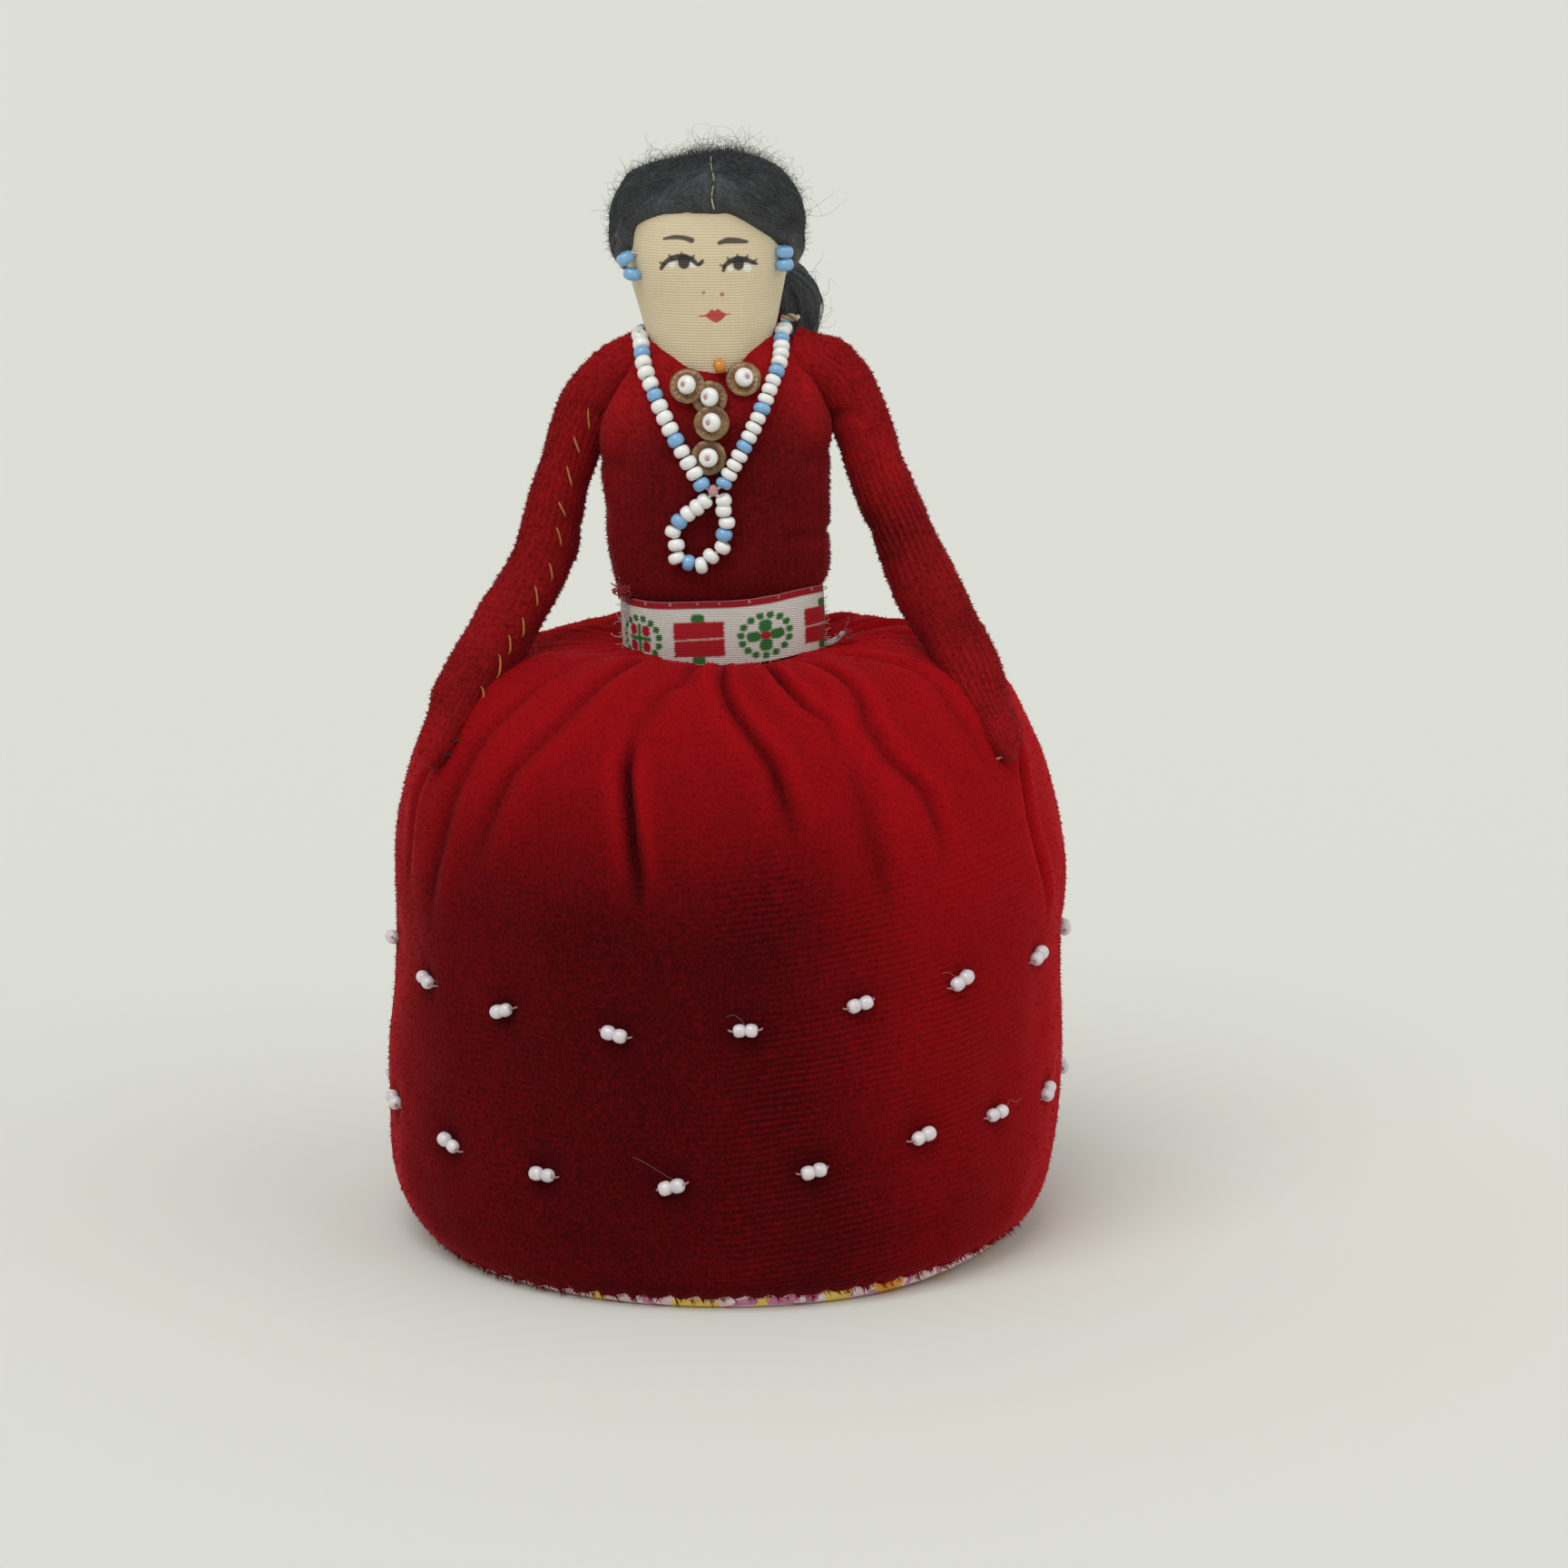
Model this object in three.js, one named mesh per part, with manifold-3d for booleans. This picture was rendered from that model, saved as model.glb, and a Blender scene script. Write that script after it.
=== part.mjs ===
// Stuffed velvet doll whose gathered skirt is a pincushion.
// Millimetres. +Z is up, the doll faces -Y, and the origin is the centre of its resting face.
// Right and left are the doll's own, so its right arm is on the -X side.
import * as THREE from "three";
import { mergeVertices } from "three/addons/utils/BufferGeometryUtils.js";
import Module from "manifold-3d";

const wasm = await Module();
wasm.setup();

// Cloth, thread and fits
const CLEARANCE = 0.3; // gap between pieces that lie against each other
const VELVET = 1.2; // velvet with its pile
const COTTON = 0.6; // plain cotton of the head and the bottom
const CARD = 1.2; // stiff card inside the bottom
const THREAD = 0.5; // diameter of sewing thread

// Cushion skirt
const SKIRT_WIDTH = 93;
const SKIRT_DEPTH = 87;
const SKIRT_TOP = 82; // height of the gathers round the waist
const SIDE_LOW = 12; // the side of the cushion is upright from here
const SIDE_HIGH = 41; // to here
const HEM_INSET = 5.5; // the hem lies this far inside the side
const CROWN_WIDTH = 45; // across the ring of the highest gathers
const CROWN_FULLNESS = 0.72; // share of the rise that the side keeps its width
const CROWN_FLATNESS = 0.6; // share of the width that the crown stays flat
const WAIST_DROP = 1.9; // from the gathers down to the waist edge
const GATHERS = 14;
const GATHER_DEPTH = 1.6;
const GATHER_FADE = 36; // how far down from the top the gathers run out
const BASE_RIM = 1.2; // cotton rim that shows under the hem

// Pearl rows
const PEARL_DIAMETER = 2.1;
const PEARL_LENGTH = 1.9;
const PEARL_PAIRS = 17;
const PEARL_PHASE = 3.3; // degrees from straight ahead to the first pair of the upper row
const UPPER_ROW = 40.2;
const LOWER_ROW = 19.8;

// Torso
const LEAN = 2.3; // degrees that the upper body leans to its right
const WAIST_WIDTH = 25.4;
const WAIST_DEPTH = 18;
const RIB_WIDTH = 29.4; // the bodice swells over the belt
const RIB_DEPTH = 20.6;
const RIB_HEIGHT = 95.5;
const CHEST_WIDTH = 31.2;
const CHEST_DEPTH = 21.4;
const CHEST_HEIGHT = 107;
const SHOULDER_WIDTH = 27;
const SHOULDER_DEPTH = 16.4;
const SHOULDER_HEIGHT = 118.6;
const NECK_WIDTH = 21;
const NECK_DEPTH = 11;
const TORSO_TOP = 124.2;
const TORSO_ROUNDNESS = 2.5; // exponent of its oval section

// Belt
const BELT_HEIGHT = 9;
const BELT_THICKNESS = 0.6;
const BELT_END = -18; // degrees from the doll's left to the lapped end
const BELT_LAP = 55; // degrees that the ends lap

// Arms: points down the middle of an arm as outward, forward and up
const ARMHOLE_POINT = [8.6, -0.4, 119.3];
const SHOULDER_POINT = [14.8, -0.2, 117.6];
const UPPER_ARM_POINT = [19.4, 0.2, 109.4];
const ELBOW_POINT = [24.2, 2.4, 96.6];
const FOREARM_POINT = [32.2, 9.6, 82.6];
const HAND_POINT = [39.4, 19.8, 69.4];
const ARM_WIDTH = 7.7;
const ARM_DEPTH = 6.8;
const ARM_TOP = 1.22; // size at the shoulder against the rest of the arm
const FOREARM_SHARE = 0.97; // size above the wrist against the rest of the arm
const WRIST_SHARE = 0.74;
const HAND_TIP = 1.9;
const STITCHES = 11; // whip stitches along a sleeve
const SEAM_WIDTH = 3.4;
const SEAM_START = 0.22; // share of the arm
const SEAM_END = 0.82;
const TACK_LENGTH = 3.6;

// Head
const HEAD_WIDTH = 21.8;
const HEAD_DEPTH = 18.4;
const CHEEK_HEIGHT = 136.5;
const JAW_WIDTH = 19;
const JAW_DEPTH = 16.6;
const JAW_HEIGHT = 128;
const THROAT_WIDTH = 15.4;
const THROAT_DEPTH = 14.6;
const THROAT_HEIGHT = 120.5;
const NECK_TUCK = 7; // neck below the throat, inside the torso
const HEAD_TOP = 147.4;
const HEAD_ROUNDNESS = 2.3;

// Hair
const HAIR = 2.3; // thickness of the wool
const HAIRLINE = 141.2; // height of the hair over the middle of the face
const NAPE = 128; // height of the hair edge behind
const BUN_ROOT = [4.5, 10, 134.5]; // left, back and up
const BUN_SHOULDER = [8.2, 15.6, 128];
const BUN_WAIST = [8.8, 16.4, 120];
const BUN_END = [8.4, 16, 107.5];
const BUN_WIDTH = 14;
const BUN_DEPTH = 9.6;
const BUN_TIE_PLACE = 0.62; // share of the bun's length down to the tie
const BUN_WAIST_SHARE = 0.62; // width at the tie against the full width
const TIE_YARN = 1.1;
const TIE_TURNS = 3;
const TIE_PITCH = 1.75;

// Beads and sequins
const BEAD_DIAMETER = 2.3;
const BEAD_LENGTH = 1.6;
const BEAD_HOLE = 0.9;
const BEAD_PITCH = 1.7;
const SEQUIN_DIAMETER = 4.8;
const SEQUIN_HOLE = 1;
const SEQUIN_CUP = 0.35;
const SEQUIN_THICKNESS = 0.25;
const COLLAR_BEAD_DIAMETER = 1.9;
const COLLAR_BEAD_LENGTH = 1.5;

// Places on the chest and the head as left of the middle, up
const SEQUIN_PLACES = {
  upper_right: [-4.4, 119.2],
  upper_left: [4, 119.6],
  upper_middle: [-0.5, 117.8],
  middle: [-0.1, 113.9],
  lower: [-0.5, 109.9],
};
const RAISED_SEQUINS = ["upper_right", "middle"]; // they lap over their neighbours
const COLLAR_BEAD_PLACE = [0.9, 122.4];
const NECKLACE_HEIGHT = 125.8; // beads round the neck
const NECKLACE_SLOPE = [9.1, 121]; // where a strand comes off the shoulder
const CROSSING = [-0.6, 105.6]; // where the strands meet
const CROSSING_WIDTH = 3.4;
const PENDANT_ROUTE = [
  [0, -1],
  [-2.3, -2.8],
  [-5, -4.7],
  [-5.7, -7.6],
  [-3.6, -10.2],
  [-0.9, -9.4],
  [1.2, -6.5],
  [1.1, -2.8],
]; // from the crossing
const EARRING_HEIGHT = 135.4;
const EARRING_FORWARD = 5.6;

// Values that follow from the sizes
const HEM_HEIGHT = BASE_RIM + CLEARANCE;
const WAIST_EDGE = SKIRT_TOP - WAIST_DROP;
const TORSO_BOTTOM = WAIST_EDGE - VELVET - CLEARANCE;
const BELT_BOTTOM = WAIST_EDGE + THREAD + 2 * CLEARANCE;
const CARD_BOTTOM = COTTON + CLEARANCE;
const WAIST_GAP = 2 * CLEARANCE; // the torso leans, so its waist has twice the usual room
const THREAD_LIFT = CLEARANCE + THREAD / 2;
const BEAD_LIFT = CLEARANCE + BEAD_DIAMETER / 2;
const BELT_ROOM = 2 * (BELT_THICKNESS + CLEARANCE); // the lapped belt stands out this far at the waist
const LAYER = SEQUIN_THICKNESS + SEQUIN_CUP + CLEARANCE;

const LEAN_MATRIX = new THREE.Matrix4()
  .makeTranslation(0, 0, WAIST_EDGE)
  .multiply(new THREE.Matrix4().makeRotationY(-THREE.MathUtils.degToRad(LEAN)))
  .multiply(new THREE.Matrix4().makeTranslation(0, 0, -WAIST_EDGE));

const FINISHES = {
  velvet: { color: 0x8c0a12, roughness: 0.9, metalness: 0 },
  stuffing: { color: 0xe6dfd0, roughness: 0.95, metalness: 0 },
  head_cotton: { color: 0xd8b48c, roughness: 0.9, metalness: 0 },
  base_print: { color: 0xe0808a, roughness: 0.85, metalness: 0 },
  card: { color: 0xb89b70, roughness: 0.9, metalness: 0 },
  red_thread: { color: 0x9c1018, roughness: 0.8, metalness: 0 },
  orange_thread: { color: 0xe06a20, roughness: 0.7, metalness: 0 },
  dark_thread: { color: 0x241a1c, roughness: 0.8, metalness: 0 },
  pale_yarn: { color: 0xd8cc9a, roughness: 0.85, metalness: 0 },
  ribbon: { color: 0xe9e4da, roughness: 0.5, metalness: 0 },
  wool: { color: 0x1c1a1c, roughness: 0.95, metalness: 0 },
  pearl: { color: 0xf0ece6, roughness: 0.2, metalness: 0 },
  glass_bead: { color: 0xf2f2f0, roughness: 0.15, metalness: 0 },
  blue_bead: { color: 0x6fb0dc, roughness: 0.15, metalness: 0 },
  orange_bead: { color: 0xe04a18, roughness: 0.2, metalness: 0 },
  sequin: { color: 0xa9835c, roughness: 0.25, metalness: 0 },
};

// Geometry helpers

// A closed geometry as a solid, turned the right way out.
function solid(geometry) {
  const bare = new THREE.BufferGeometry();
  bare.setAttribute("position", geometry.getAttribute("position"));
  bare.setIndex(geometry.index);
  const merged = mergeVertices(bare, 1e-4);
  const corners = [];
  for (let i = 0; i < merged.index.count; i += 3) {
    const [a, b, c] = merged.index.array.slice(i, i + 3);
    if (a !== b && b !== c && c !== a) {
      corners.push(a, b, c);
    }
  }
  const make = (order) =>
    new wasm.Manifold(
      new wasm.Mesh({
        numProp: 3,
        vertProperties: new Float32Array(merged.getAttribute("position").array),
        triVerts: new Uint32Array(order),
      }),
    );
  const made = make(corners);
  return made.volume() < 0 ? make(corners.reverse()) : made;
}

// A solid of the upper body, leaned as it stands on the skirt.
function leaned(body) {
  return body.transform(LEAN_MATRIX.toArray());
}

function joined(bodies) {
  return bodies.reduce((whole, body) => whole.add(body));
}

// Rings of points, joined row by row into a closed surface: a tube of rings, or a body with two flat ends.
function ringSolid(rings, isTube) {
  const count = rings[0].length;
  const points = rings.flat();
  const faces = [];
  const rowPairs = isTube ? rings.length : rings.length - 1;
  for (let row = 0; row < rowPairs; row++) {
    const here = row * count;
    const above = ((row + 1) % rings.length) * count;
    for (let i = 0; i < count; i++) {
      const next = (i + 1) % count;
      faces.push(here + i, here + next, above + next, here + i, above + next, above + i);
    }
  }
  if (!isTube) {
    for (const ring of [0, rings.length - 1]) {
      const middle = rings[ring].reduce((sum, p) => sum.add(p), new THREE.Vector3()).divideScalar(count);
      points.push(middle);
      for (let i = 0; i < count; i++) {
        const edge = [ring * count + i, ring * count + ((i + 1) % count)];
        faces.push(points.length - 1, ...(ring ? edge : edge.reverse()));
      }
    }
  }
  const geometry = new THREE.BufferGeometry().setFromPoints(points);
  geometry.setIndex(faces);
  return solid(geometry);
}

// A point of an oval with the given half sizes; a larger roundness makes it squarer.
function ovalPoint(halfWidth, halfDepth, angle, roundness) {
  const bend = (value) => Math.sign(value) * Math.abs(value) ** (2 / roundness);
  return [halfWidth * bend(Math.cos(angle)), halfDepth * bend(Math.sin(angle))];
}

function anglesRound(count) {
  return Array.from({ length: count }, (_, i) => (i / count) * 2 * Math.PI);
}

// The point of a rising curve at a height.
function pointAtHeight(curve, height) {
  let [from, to] = [0, 1];
  for (let i = 0; i < 30; i++) {
    const middle = (from + to) / 2;
    if (curve.getPoint(middle).z < height) {
      from = middle;
    } else {
      to = middle;
    }
  }
  return curve.getPoint((from + to) / 2);
}

// A stuffed form that swells and tapers between oval sections of half width, half depth and height.
class StuffedForm {
  constructor(sections, roundness, columns, rows) {
    this.curve = new THREE.CatmullRomCurve3(sections.map((s) => new THREE.Vector3(...s)));
    this.roundness = roundness;
    this.columns = columns;
    this.rows = rows;
    this.low = sections[0][2];
    this.high = sections.at(-1)[2];
  }

  // Half width, half depth and height of the section at a height.
  sectionAt(height) {
    return pointAtHeight(this.curve, height);
  }

  // The form grown by a distance on every side.
  body(grow) {
    const middle = (this.low + this.high) / 2;
    const stretch = 1 + (2 * grow) / (this.high - this.low);
    const rings = Array.from({ length: this.rows + 1 }, (_, row) => {
      const section = this.curve.getPoint(row / this.rows);
      return anglesRound(this.columns).map((angle) => {
        const [x, y] = ovalPoint(section.x + grow, section.y + grow, angle, this.roundness);
        return new THREE.Vector3(x, y, middle + (section.z - middle) * stretch);
      });
    });
    return ringSolid(rings, false);
  }

  // The point of the front at a place left of the middle and up, lifted off the surface.
  front(left, height, lift) {
    const section = this.sectionAt(height);
    const share = Math.min(1, Math.abs(left) / (section.x + lift)) ** this.roundness;
    return new THREE.Vector3(left, -(section.y + lift) * (1 - share) ** (1 / this.roundness), height);
  }

  // The direction that the front faces there.
  frontNormal(left, height) {
    const step = 0.2;
    const across = this.front(left + step, height, 0).sub(this.front(left - step, height, 0));
    const up = this.front(left, height + step, 0).sub(this.front(left, height - step, 0));
    return across.cross(up).normalize();
  }

  // A point round the form at a height, lifted off the surface; the angle runs from the left to the back.
  around(angle, height, lift) {
    const section = this.sectionAt(height);
    const [x, y] = ovalPoint(section.x + lift, section.y + lift, angle, this.roundness);
    return new THREE.Vector3(x, y, height);
  }
}

// A stuffed limb along a bent middle line, with sections of half width, half depth and place along it.
class StuffedLimb {
  constructor(route, sections, columns, rows) {
    this.route = new THREE.CatmullRomCurve3(route);
    this.sections = new THREE.CatmullRomCurve3(sections.map((s) => new THREE.Vector3(...s)));
    this.columns = columns;
    this.rows = rows;
  }

  // The surface point at a place along the limb; angle 0 is its side and a quarter turn is its back.
  point(place, angle, grow) {
    const middle = this.route.getPointAt(place);
    const along = this.route.getTangentAt(place);
    const side = new THREE.Vector3().crossVectors(new THREE.Vector3(0, 1, 0), along).normalize();
    const back = new THREE.Vector3().crossVectors(along, side);
    const section = this.sectionAt(place);
    return middle
      .addScaledVector(side, (section.x + grow) * Math.cos(angle))
      .addScaledVector(back, (section.y + grow) * Math.sin(angle));
  }

  // Half width, half depth and place of the section at a place along the limb.
  sectionAt(place) {
    return pointAtHeight(this.sections, place);
  }

  // The limb grown on every side.
  // A shrunk one stands out at the start and stops where it would get too thin.
  body(grow) {
    const places = Array.from({ length: this.rows + 1 }, (_, row) => row / this.rows);
    const rings = places
      .filter((place) => this.sectionAt(place).y + grow >= 2 * CLEARANCE)
      .map((place) => anglesRound(this.columns).map((angle) => this.point(place, angle, grow)));
    const start = this.route.getTangentAt(0);
    rings[0].forEach((p) => p.addScaledVector(start, Math.min(0, grow)));
    return ringSolid(rings, false);
  }
}

// A round thread along a curve.
function threadAlong(curve, diameter, steps, sides) {
  if (curve.closed) {
    return solid(new THREE.TubeGeometry(curve, steps, diameter / 2, sides, true));
  }
  const section = new THREE.Shape().absarc(0, 0, diameter / 2, 0, 2 * Math.PI, false);
  return solid(new THREE.ExtrudeGeometry(section, { steps, extrudePath: curve, curveSegments: sides / 2 }));
}

// A bead as a solid of revolution about Y, with a hole if one is given.
function beadGeometry(diameter, length, hole, segments) {
  const radius = diameter / 2;
  const start = Math.asin(Math.min(1, hole / diameter));
  const bands = 4;
  const outline = Array.from({ length: bands + 1 }, (_, i) => {
    const angle = start + (i / bands) * (Math.PI - 2 * start);
    return new THREE.Vector2(radius * Math.sin(angle), (-length / 2) * Math.cos(angle));
  });
  if (hole > 0) {
    outline.push(outline[0].clone());
  } else {
    outline[0].x = 0;
    outline[bands].x = 0;
  }
  return new THREE.LatheGeometry(outline, segments);
}

// A geometry about Y, moved to a place with its axis along a direction.
function placed(geometry, place, direction) {
  const turn = new THREE.Quaternion().setFromUnitVectors(new THREE.Vector3(0, 1, 0), direction);
  const matrix = new THREE.Matrix4().compose(place, turn, new THREE.Vector3(1, 1, 1));
  return solid(geometry.clone().applyMatrix4(matrix));
}

// Beads strung on a thread, as one body that swells at each bead.
// A spot has the middle of a ring, the direction of the thread there and the radius.
function strungBody(spots, sides, isTube) {
  const upright = new THREE.Vector3(0, 0, 1);
  const rings = spots.map(({ middle, along, radius }) => {
    const side = new THREE.Vector3().crossVectors(along, upright);
    side.addScaledVector(new THREE.Vector3(0, -1, 0), Math.abs(along.z)).projectOnPlane(along).normalize();
    const other = new THREE.Vector3().crossVectors(along, side);
    return anglesRound(sides).map((angle) =>
      middle
        .clone()
        .addScaledVector(side, radius * Math.cos(angle))
        .addScaledVector(other, radius * Math.sin(angle)),
    );
  });
  return ringSolid(rings, isTube);
}

// Where a bead of a length begins, is full and narrows again, and the share of its radius there.
function beadProfile(length) {
  return [
    [-length / 2, 0],
    [-length / 4, 1],
    [length / 4, 1],
  ];
}

// Beads along a curve, with bare thread left free at both ends.
function strungBeads(curve, bare) {
  const length = curve.getLength();
  const count = Math.floor((length - 2 * bare) / BEAD_PITCH);
  const first = (length - (count - 1) * BEAD_PITCH) / 2;
  const spotAt = (distance, radius) => ({
    middle: curve.getPointAt(distance / length),
    along: curve.getTangentAt(distance / length),
    radius,
  });
  const spots = [spotAt(0, THREAD / 2)];
  for (let i = 0; i < count; i++) {
    for (const [offset, share] of beadProfile(BEAD_LENGTH)) {
      const radius = THREE.MathUtils.lerp(THREAD / 2, BEAD_DIAMETER / 2, share);
      spots.push(spotAt(first + i * BEAD_PITCH + offset, radius));
    }
  }
  spots.push(spotAt(first + (count - 1) * BEAD_PITCH + BEAD_LENGTH / 2, THREAD / 2));
  if (!curve.closed) {
    spots.push(spotAt(length, THREAD / 2));
  }
  return strungBody(spots, 6, Boolean(curve.closed));
}

// The least gap between the turns of a wound yarn, measured on points.
function leastGap(points, diameter, perTurn) {
  let least = Infinity;
  points.forEach((p, i) => {
    points.slice(i + Math.floor(perTurn / 2)).forEach((q) => {
      least = Math.min(least, p.distanceTo(q) - diameter);
    });
  });
  return least;
}

function halfSpace(direction, distance) {
  const size = 400;
  const box = new THREE.BoxGeometry(size, size, size);
  const matrix = new THREE.Matrix4().makeTranslation(
    ...direction.clone().multiplyScalar(distance + size / 2).toArray(),
  );
  const turn = new THREE.Quaternion().setFromUnitVectors(new THREE.Vector3(0, 0, 1), direction);
  return solid(box.applyMatrix4(matrix.multiply(new THREE.Matrix4().makeRotationFromQuaternion(turn))));
}

// The named groups and pieces

const doll = new THREE.Group();
doll.name = "pincushion_doll";
const upperBody = new THREE.Group();
upperBody.name = "upper_body";
LEAN_MATRIX.decompose(upperBody.position, upperBody.quaternion, upperBody.scale);
doll.add(upperBody);

function addPiece(group, name, body, finish) {
  const mesh = body.getMesh();
  const geometry = new THREE.BufferGeometry();
  geometry.setAttribute("position", new THREE.BufferAttribute(mesh.vertProperties, 3));
  geometry.setIndex(new THREE.BufferAttribute(mesh.triVerts, 1));
  geometry.computeVertexNormals();
  const piece = new THREE.Mesh(geometry, new THREE.MeshStandardMaterial(FINISHES[finish]));
  piece.name = name;
  group.add(piece);
}

// Cushion skirt
const SIDE_X = SKIRT_WIDTH / 2;
const WAIST_X = WAIST_WIDTH / 2 + WAIST_GAP;
const WAIST_Y = WAIST_DEPTH / 2 + WAIST_GAP;
const DEPTH_SHARE = (SKIRT_DEPTH / 2 - WAIST_Y) / (SIDE_X - WAIST_X);

// Half section of the skirt seen from the front, from the hem to the waist edge.
function skirtOutline() {
  const rise = SKIRT_TOP - SIDE_HIGH;
  const crown = CROWN_WIDTH / 2;
  const outline = new THREE.Path();
  outline.moveTo(SIDE_X - HEM_INSET, HEM_HEIGHT);
  outline.quadraticCurveTo(SIDE_X, HEM_HEIGHT + SIDE_LOW / 4, SIDE_X, SIDE_LOW);
  outline.lineTo(SIDE_X, SIDE_HIGH);
  const fullHeight = SIDE_HIGH + rise * CROWN_FULLNESS;
  const flatX = THREE.MathUtils.lerp(crown, SIDE_X, CROWN_FLATNESS);
  outline.bezierCurveTo(SIDE_X, fullHeight, flatX, SKIRT_TOP, crown, SKIRT_TOP);
  const innerX = THREE.MathUtils.lerp(WAIST_X, crown, CROWN_FLATNESS);
  outline.quadraticCurveTo(innerX, SKIRT_TOP, WAIST_X, WAIST_EDGE);
  return outline;
}

// How far the gathers stand up at a point of the outline.
function gatherHeight(x, z) {
  const down = THREE.MathUtils.smoothstep(z, SKIRT_TOP - GATHER_FADE, SKIRT_TOP - GATHER_FADE / 5);
  const inward = THREE.MathUtils.smoothstep(x, WAIST_X + BELT_ROOM, CROWN_WIDTH / 2 + BELT_ROOM);
  return GATHER_DEPTH * down * inward;
}

// Rings of the skirt surface, grown by a distance, with every third column of points a fold.
function skirtRings(divisions, grow, foldShare, columns = 3 * GATHERS) {
  const points = skirtOutline().getPoints(divisions);
  return points.map((point, i) => {
    const before = points[Math.max(0, i - 1)];
    const after = points[Math.min(points.length - 1, i + 1)];
    const along = after.clone().sub(before).normalize();
    const fold = foldShare * gatherHeight(point.x, point.y);
    const outward = THREE.MathUtils.smoothstep(point.x, WAIST_X, CROWN_WIDTH / 2);
    const roundness = THREE.MathUtils.lerp(TORSO_ROUNDNESS, 2, outward);
    return anglesRound(columns).map((angle, column) => {
      const lift = grow + (column % 3 ? 0 : fold);
      const halfWidth = point.x + lift * along.y;
      const halfDepth = WAIST_Y + (point.x - WAIST_X) * DEPTH_SHARE + lift * along.y;
      const [x, y] = ovalPoint(halfWidth, halfDepth, angle, roundness);
      return new THREE.Vector3(x, y, point.y - lift * along.x);
    });
  });
}

// A point on the side of the skirt; the angle runs from straight ahead to the doll's left.
function skirtSide(angle, height, lift) {
  const points = skirtOutline().getPoints(12);
  const above = points.findIndex((p) => p.y >= height);
  const [low, high] = [points[above - 1], points[above]];
  const x = THREE.MathUtils.lerp(low.x, high.x, (height - low.y) / (high.y - low.y));
  const y = WAIST_Y + (x - WAIST_X) * DEPTH_SHARE;
  return new THREE.Vector3((x + lift) * Math.sin(angle), -(y + lift) * Math.cos(angle), height);
}

function skirtFilling() {
  const floor = CARD_BOTTOM + CARD + CLEARANCE;
  // The leaning torso's edge drops by the tilt.
  const tilt = (WAIST_WIDTH / 2) * Math.sin(THREE.MathUtils.degToRad(LEAN));
  const ceiling = TORSO_BOTTOM - CLEARANCE - tilt;
  const rings = skirtRings(4, -VELVET - CLEARANCE, 0, 28);
  rings[0].forEach((p) => p.setZ(floor));
  rings.at(-1).forEach((p) => p.setZ(ceiling));
  return ringSolid(rings, false);
}

// A round piece of the bottom from a half outline, made oval like the hem.
function baseSolid(outline) {
  const hem = SIDE_X - HEM_INSET;
  const geometry = new THREE.LatheGeometry(outline, 36);
  geometry.rotateX(Math.PI / 2);
  geometry.scale(1, (SKIRT_DEPTH / 2 - HEM_INSET) / hem, 1);
  return solid(geometry);
}

function basePanel() {
  const hem = SIDE_X - HEM_INSET;
  const turn = BASE_RIM;
  const outline = new THREE.Path();
  outline.moveTo(0, 0);
  outline.lineTo(hem - turn, 0);
  outline.quadraticCurveTo(hem, 0, hem, BASE_RIM);
  outline.lineTo(hem - COTTON, BASE_RIM);
  outline.quadraticCurveTo(hem - COTTON, COTTON, hem - COTTON - turn / 2, COTTON);
  outline.lineTo(0, COTTON);
  return baseSolid(outline.getPoints(3));
}

function baseCard() {
  const radius = SIDE_X - HEM_INSET - VELVET - COTTON - 2 * CLEARANCE;
  const corners = [
    [0, CARD_BOTTOM],
    [radius, CARD_BOTTOM],
    [radius, CARD_BOTTOM + CARD],
    [0, CARD_BOTTOM + CARD],
  ];
  return baseSolid(corners.map(([x, y]) => new THREE.Vector2(x, y)));
}

// An oval ring of thread with the given half sizes at a height.
function threadRing(halfWidth, halfDepth, height, roundness) {
  const points = anglesRound(36).map((angle) => {
    const [x, y] = ovalPoint(halfWidth, halfDepth, angle, roundness);
    return new THREE.Vector3(x, y, height);
  });
  return threadAlong(new THREE.CatmullRomCurve3(points, true), THREAD, 36, 4);
}

// Pairs of pearls on a thread that lies on the velvet between them.
function pearlRow(height, phase) {
  const step = (2 * Math.PI) / PEARL_PAIRS;
  const pearlRadius = PEARL_DIAMETER / 2;
  const spotAt = (angle, radius) => ({
    middle: skirtSide(angle, height, CLEARANCE + radius),
    along: new THREE.Vector3(Math.cos(angle), Math.sin(angle), 0),
    radius,
  });
  const spots = [];
  for (let pair = 0; pair < PEARL_PAIRS; pair++) {
    for (const place of [-PEARL_LENGTH / 2, PEARL_LENGTH / 2]) {
      for (const [offset, share] of beadProfile(PEARL_LENGTH)) {
        const angle = phase + pair * step + (place + offset) / SIDE_X;
        spots.push(spotAt(angle, THREE.MathUtils.lerp(THREAD / 2, pearlRadius, share)));
      }
    }
    const end = phase + pair * step + PEARL_LENGTH / SIDE_X;
    spots.push(spotAt(end, THREAD / 2));
    spots.push(spotAt(phase + (pair + 0.5) * step, THREAD / 2));
  }
  return strungBody(spots, 5, true);
}

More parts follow.
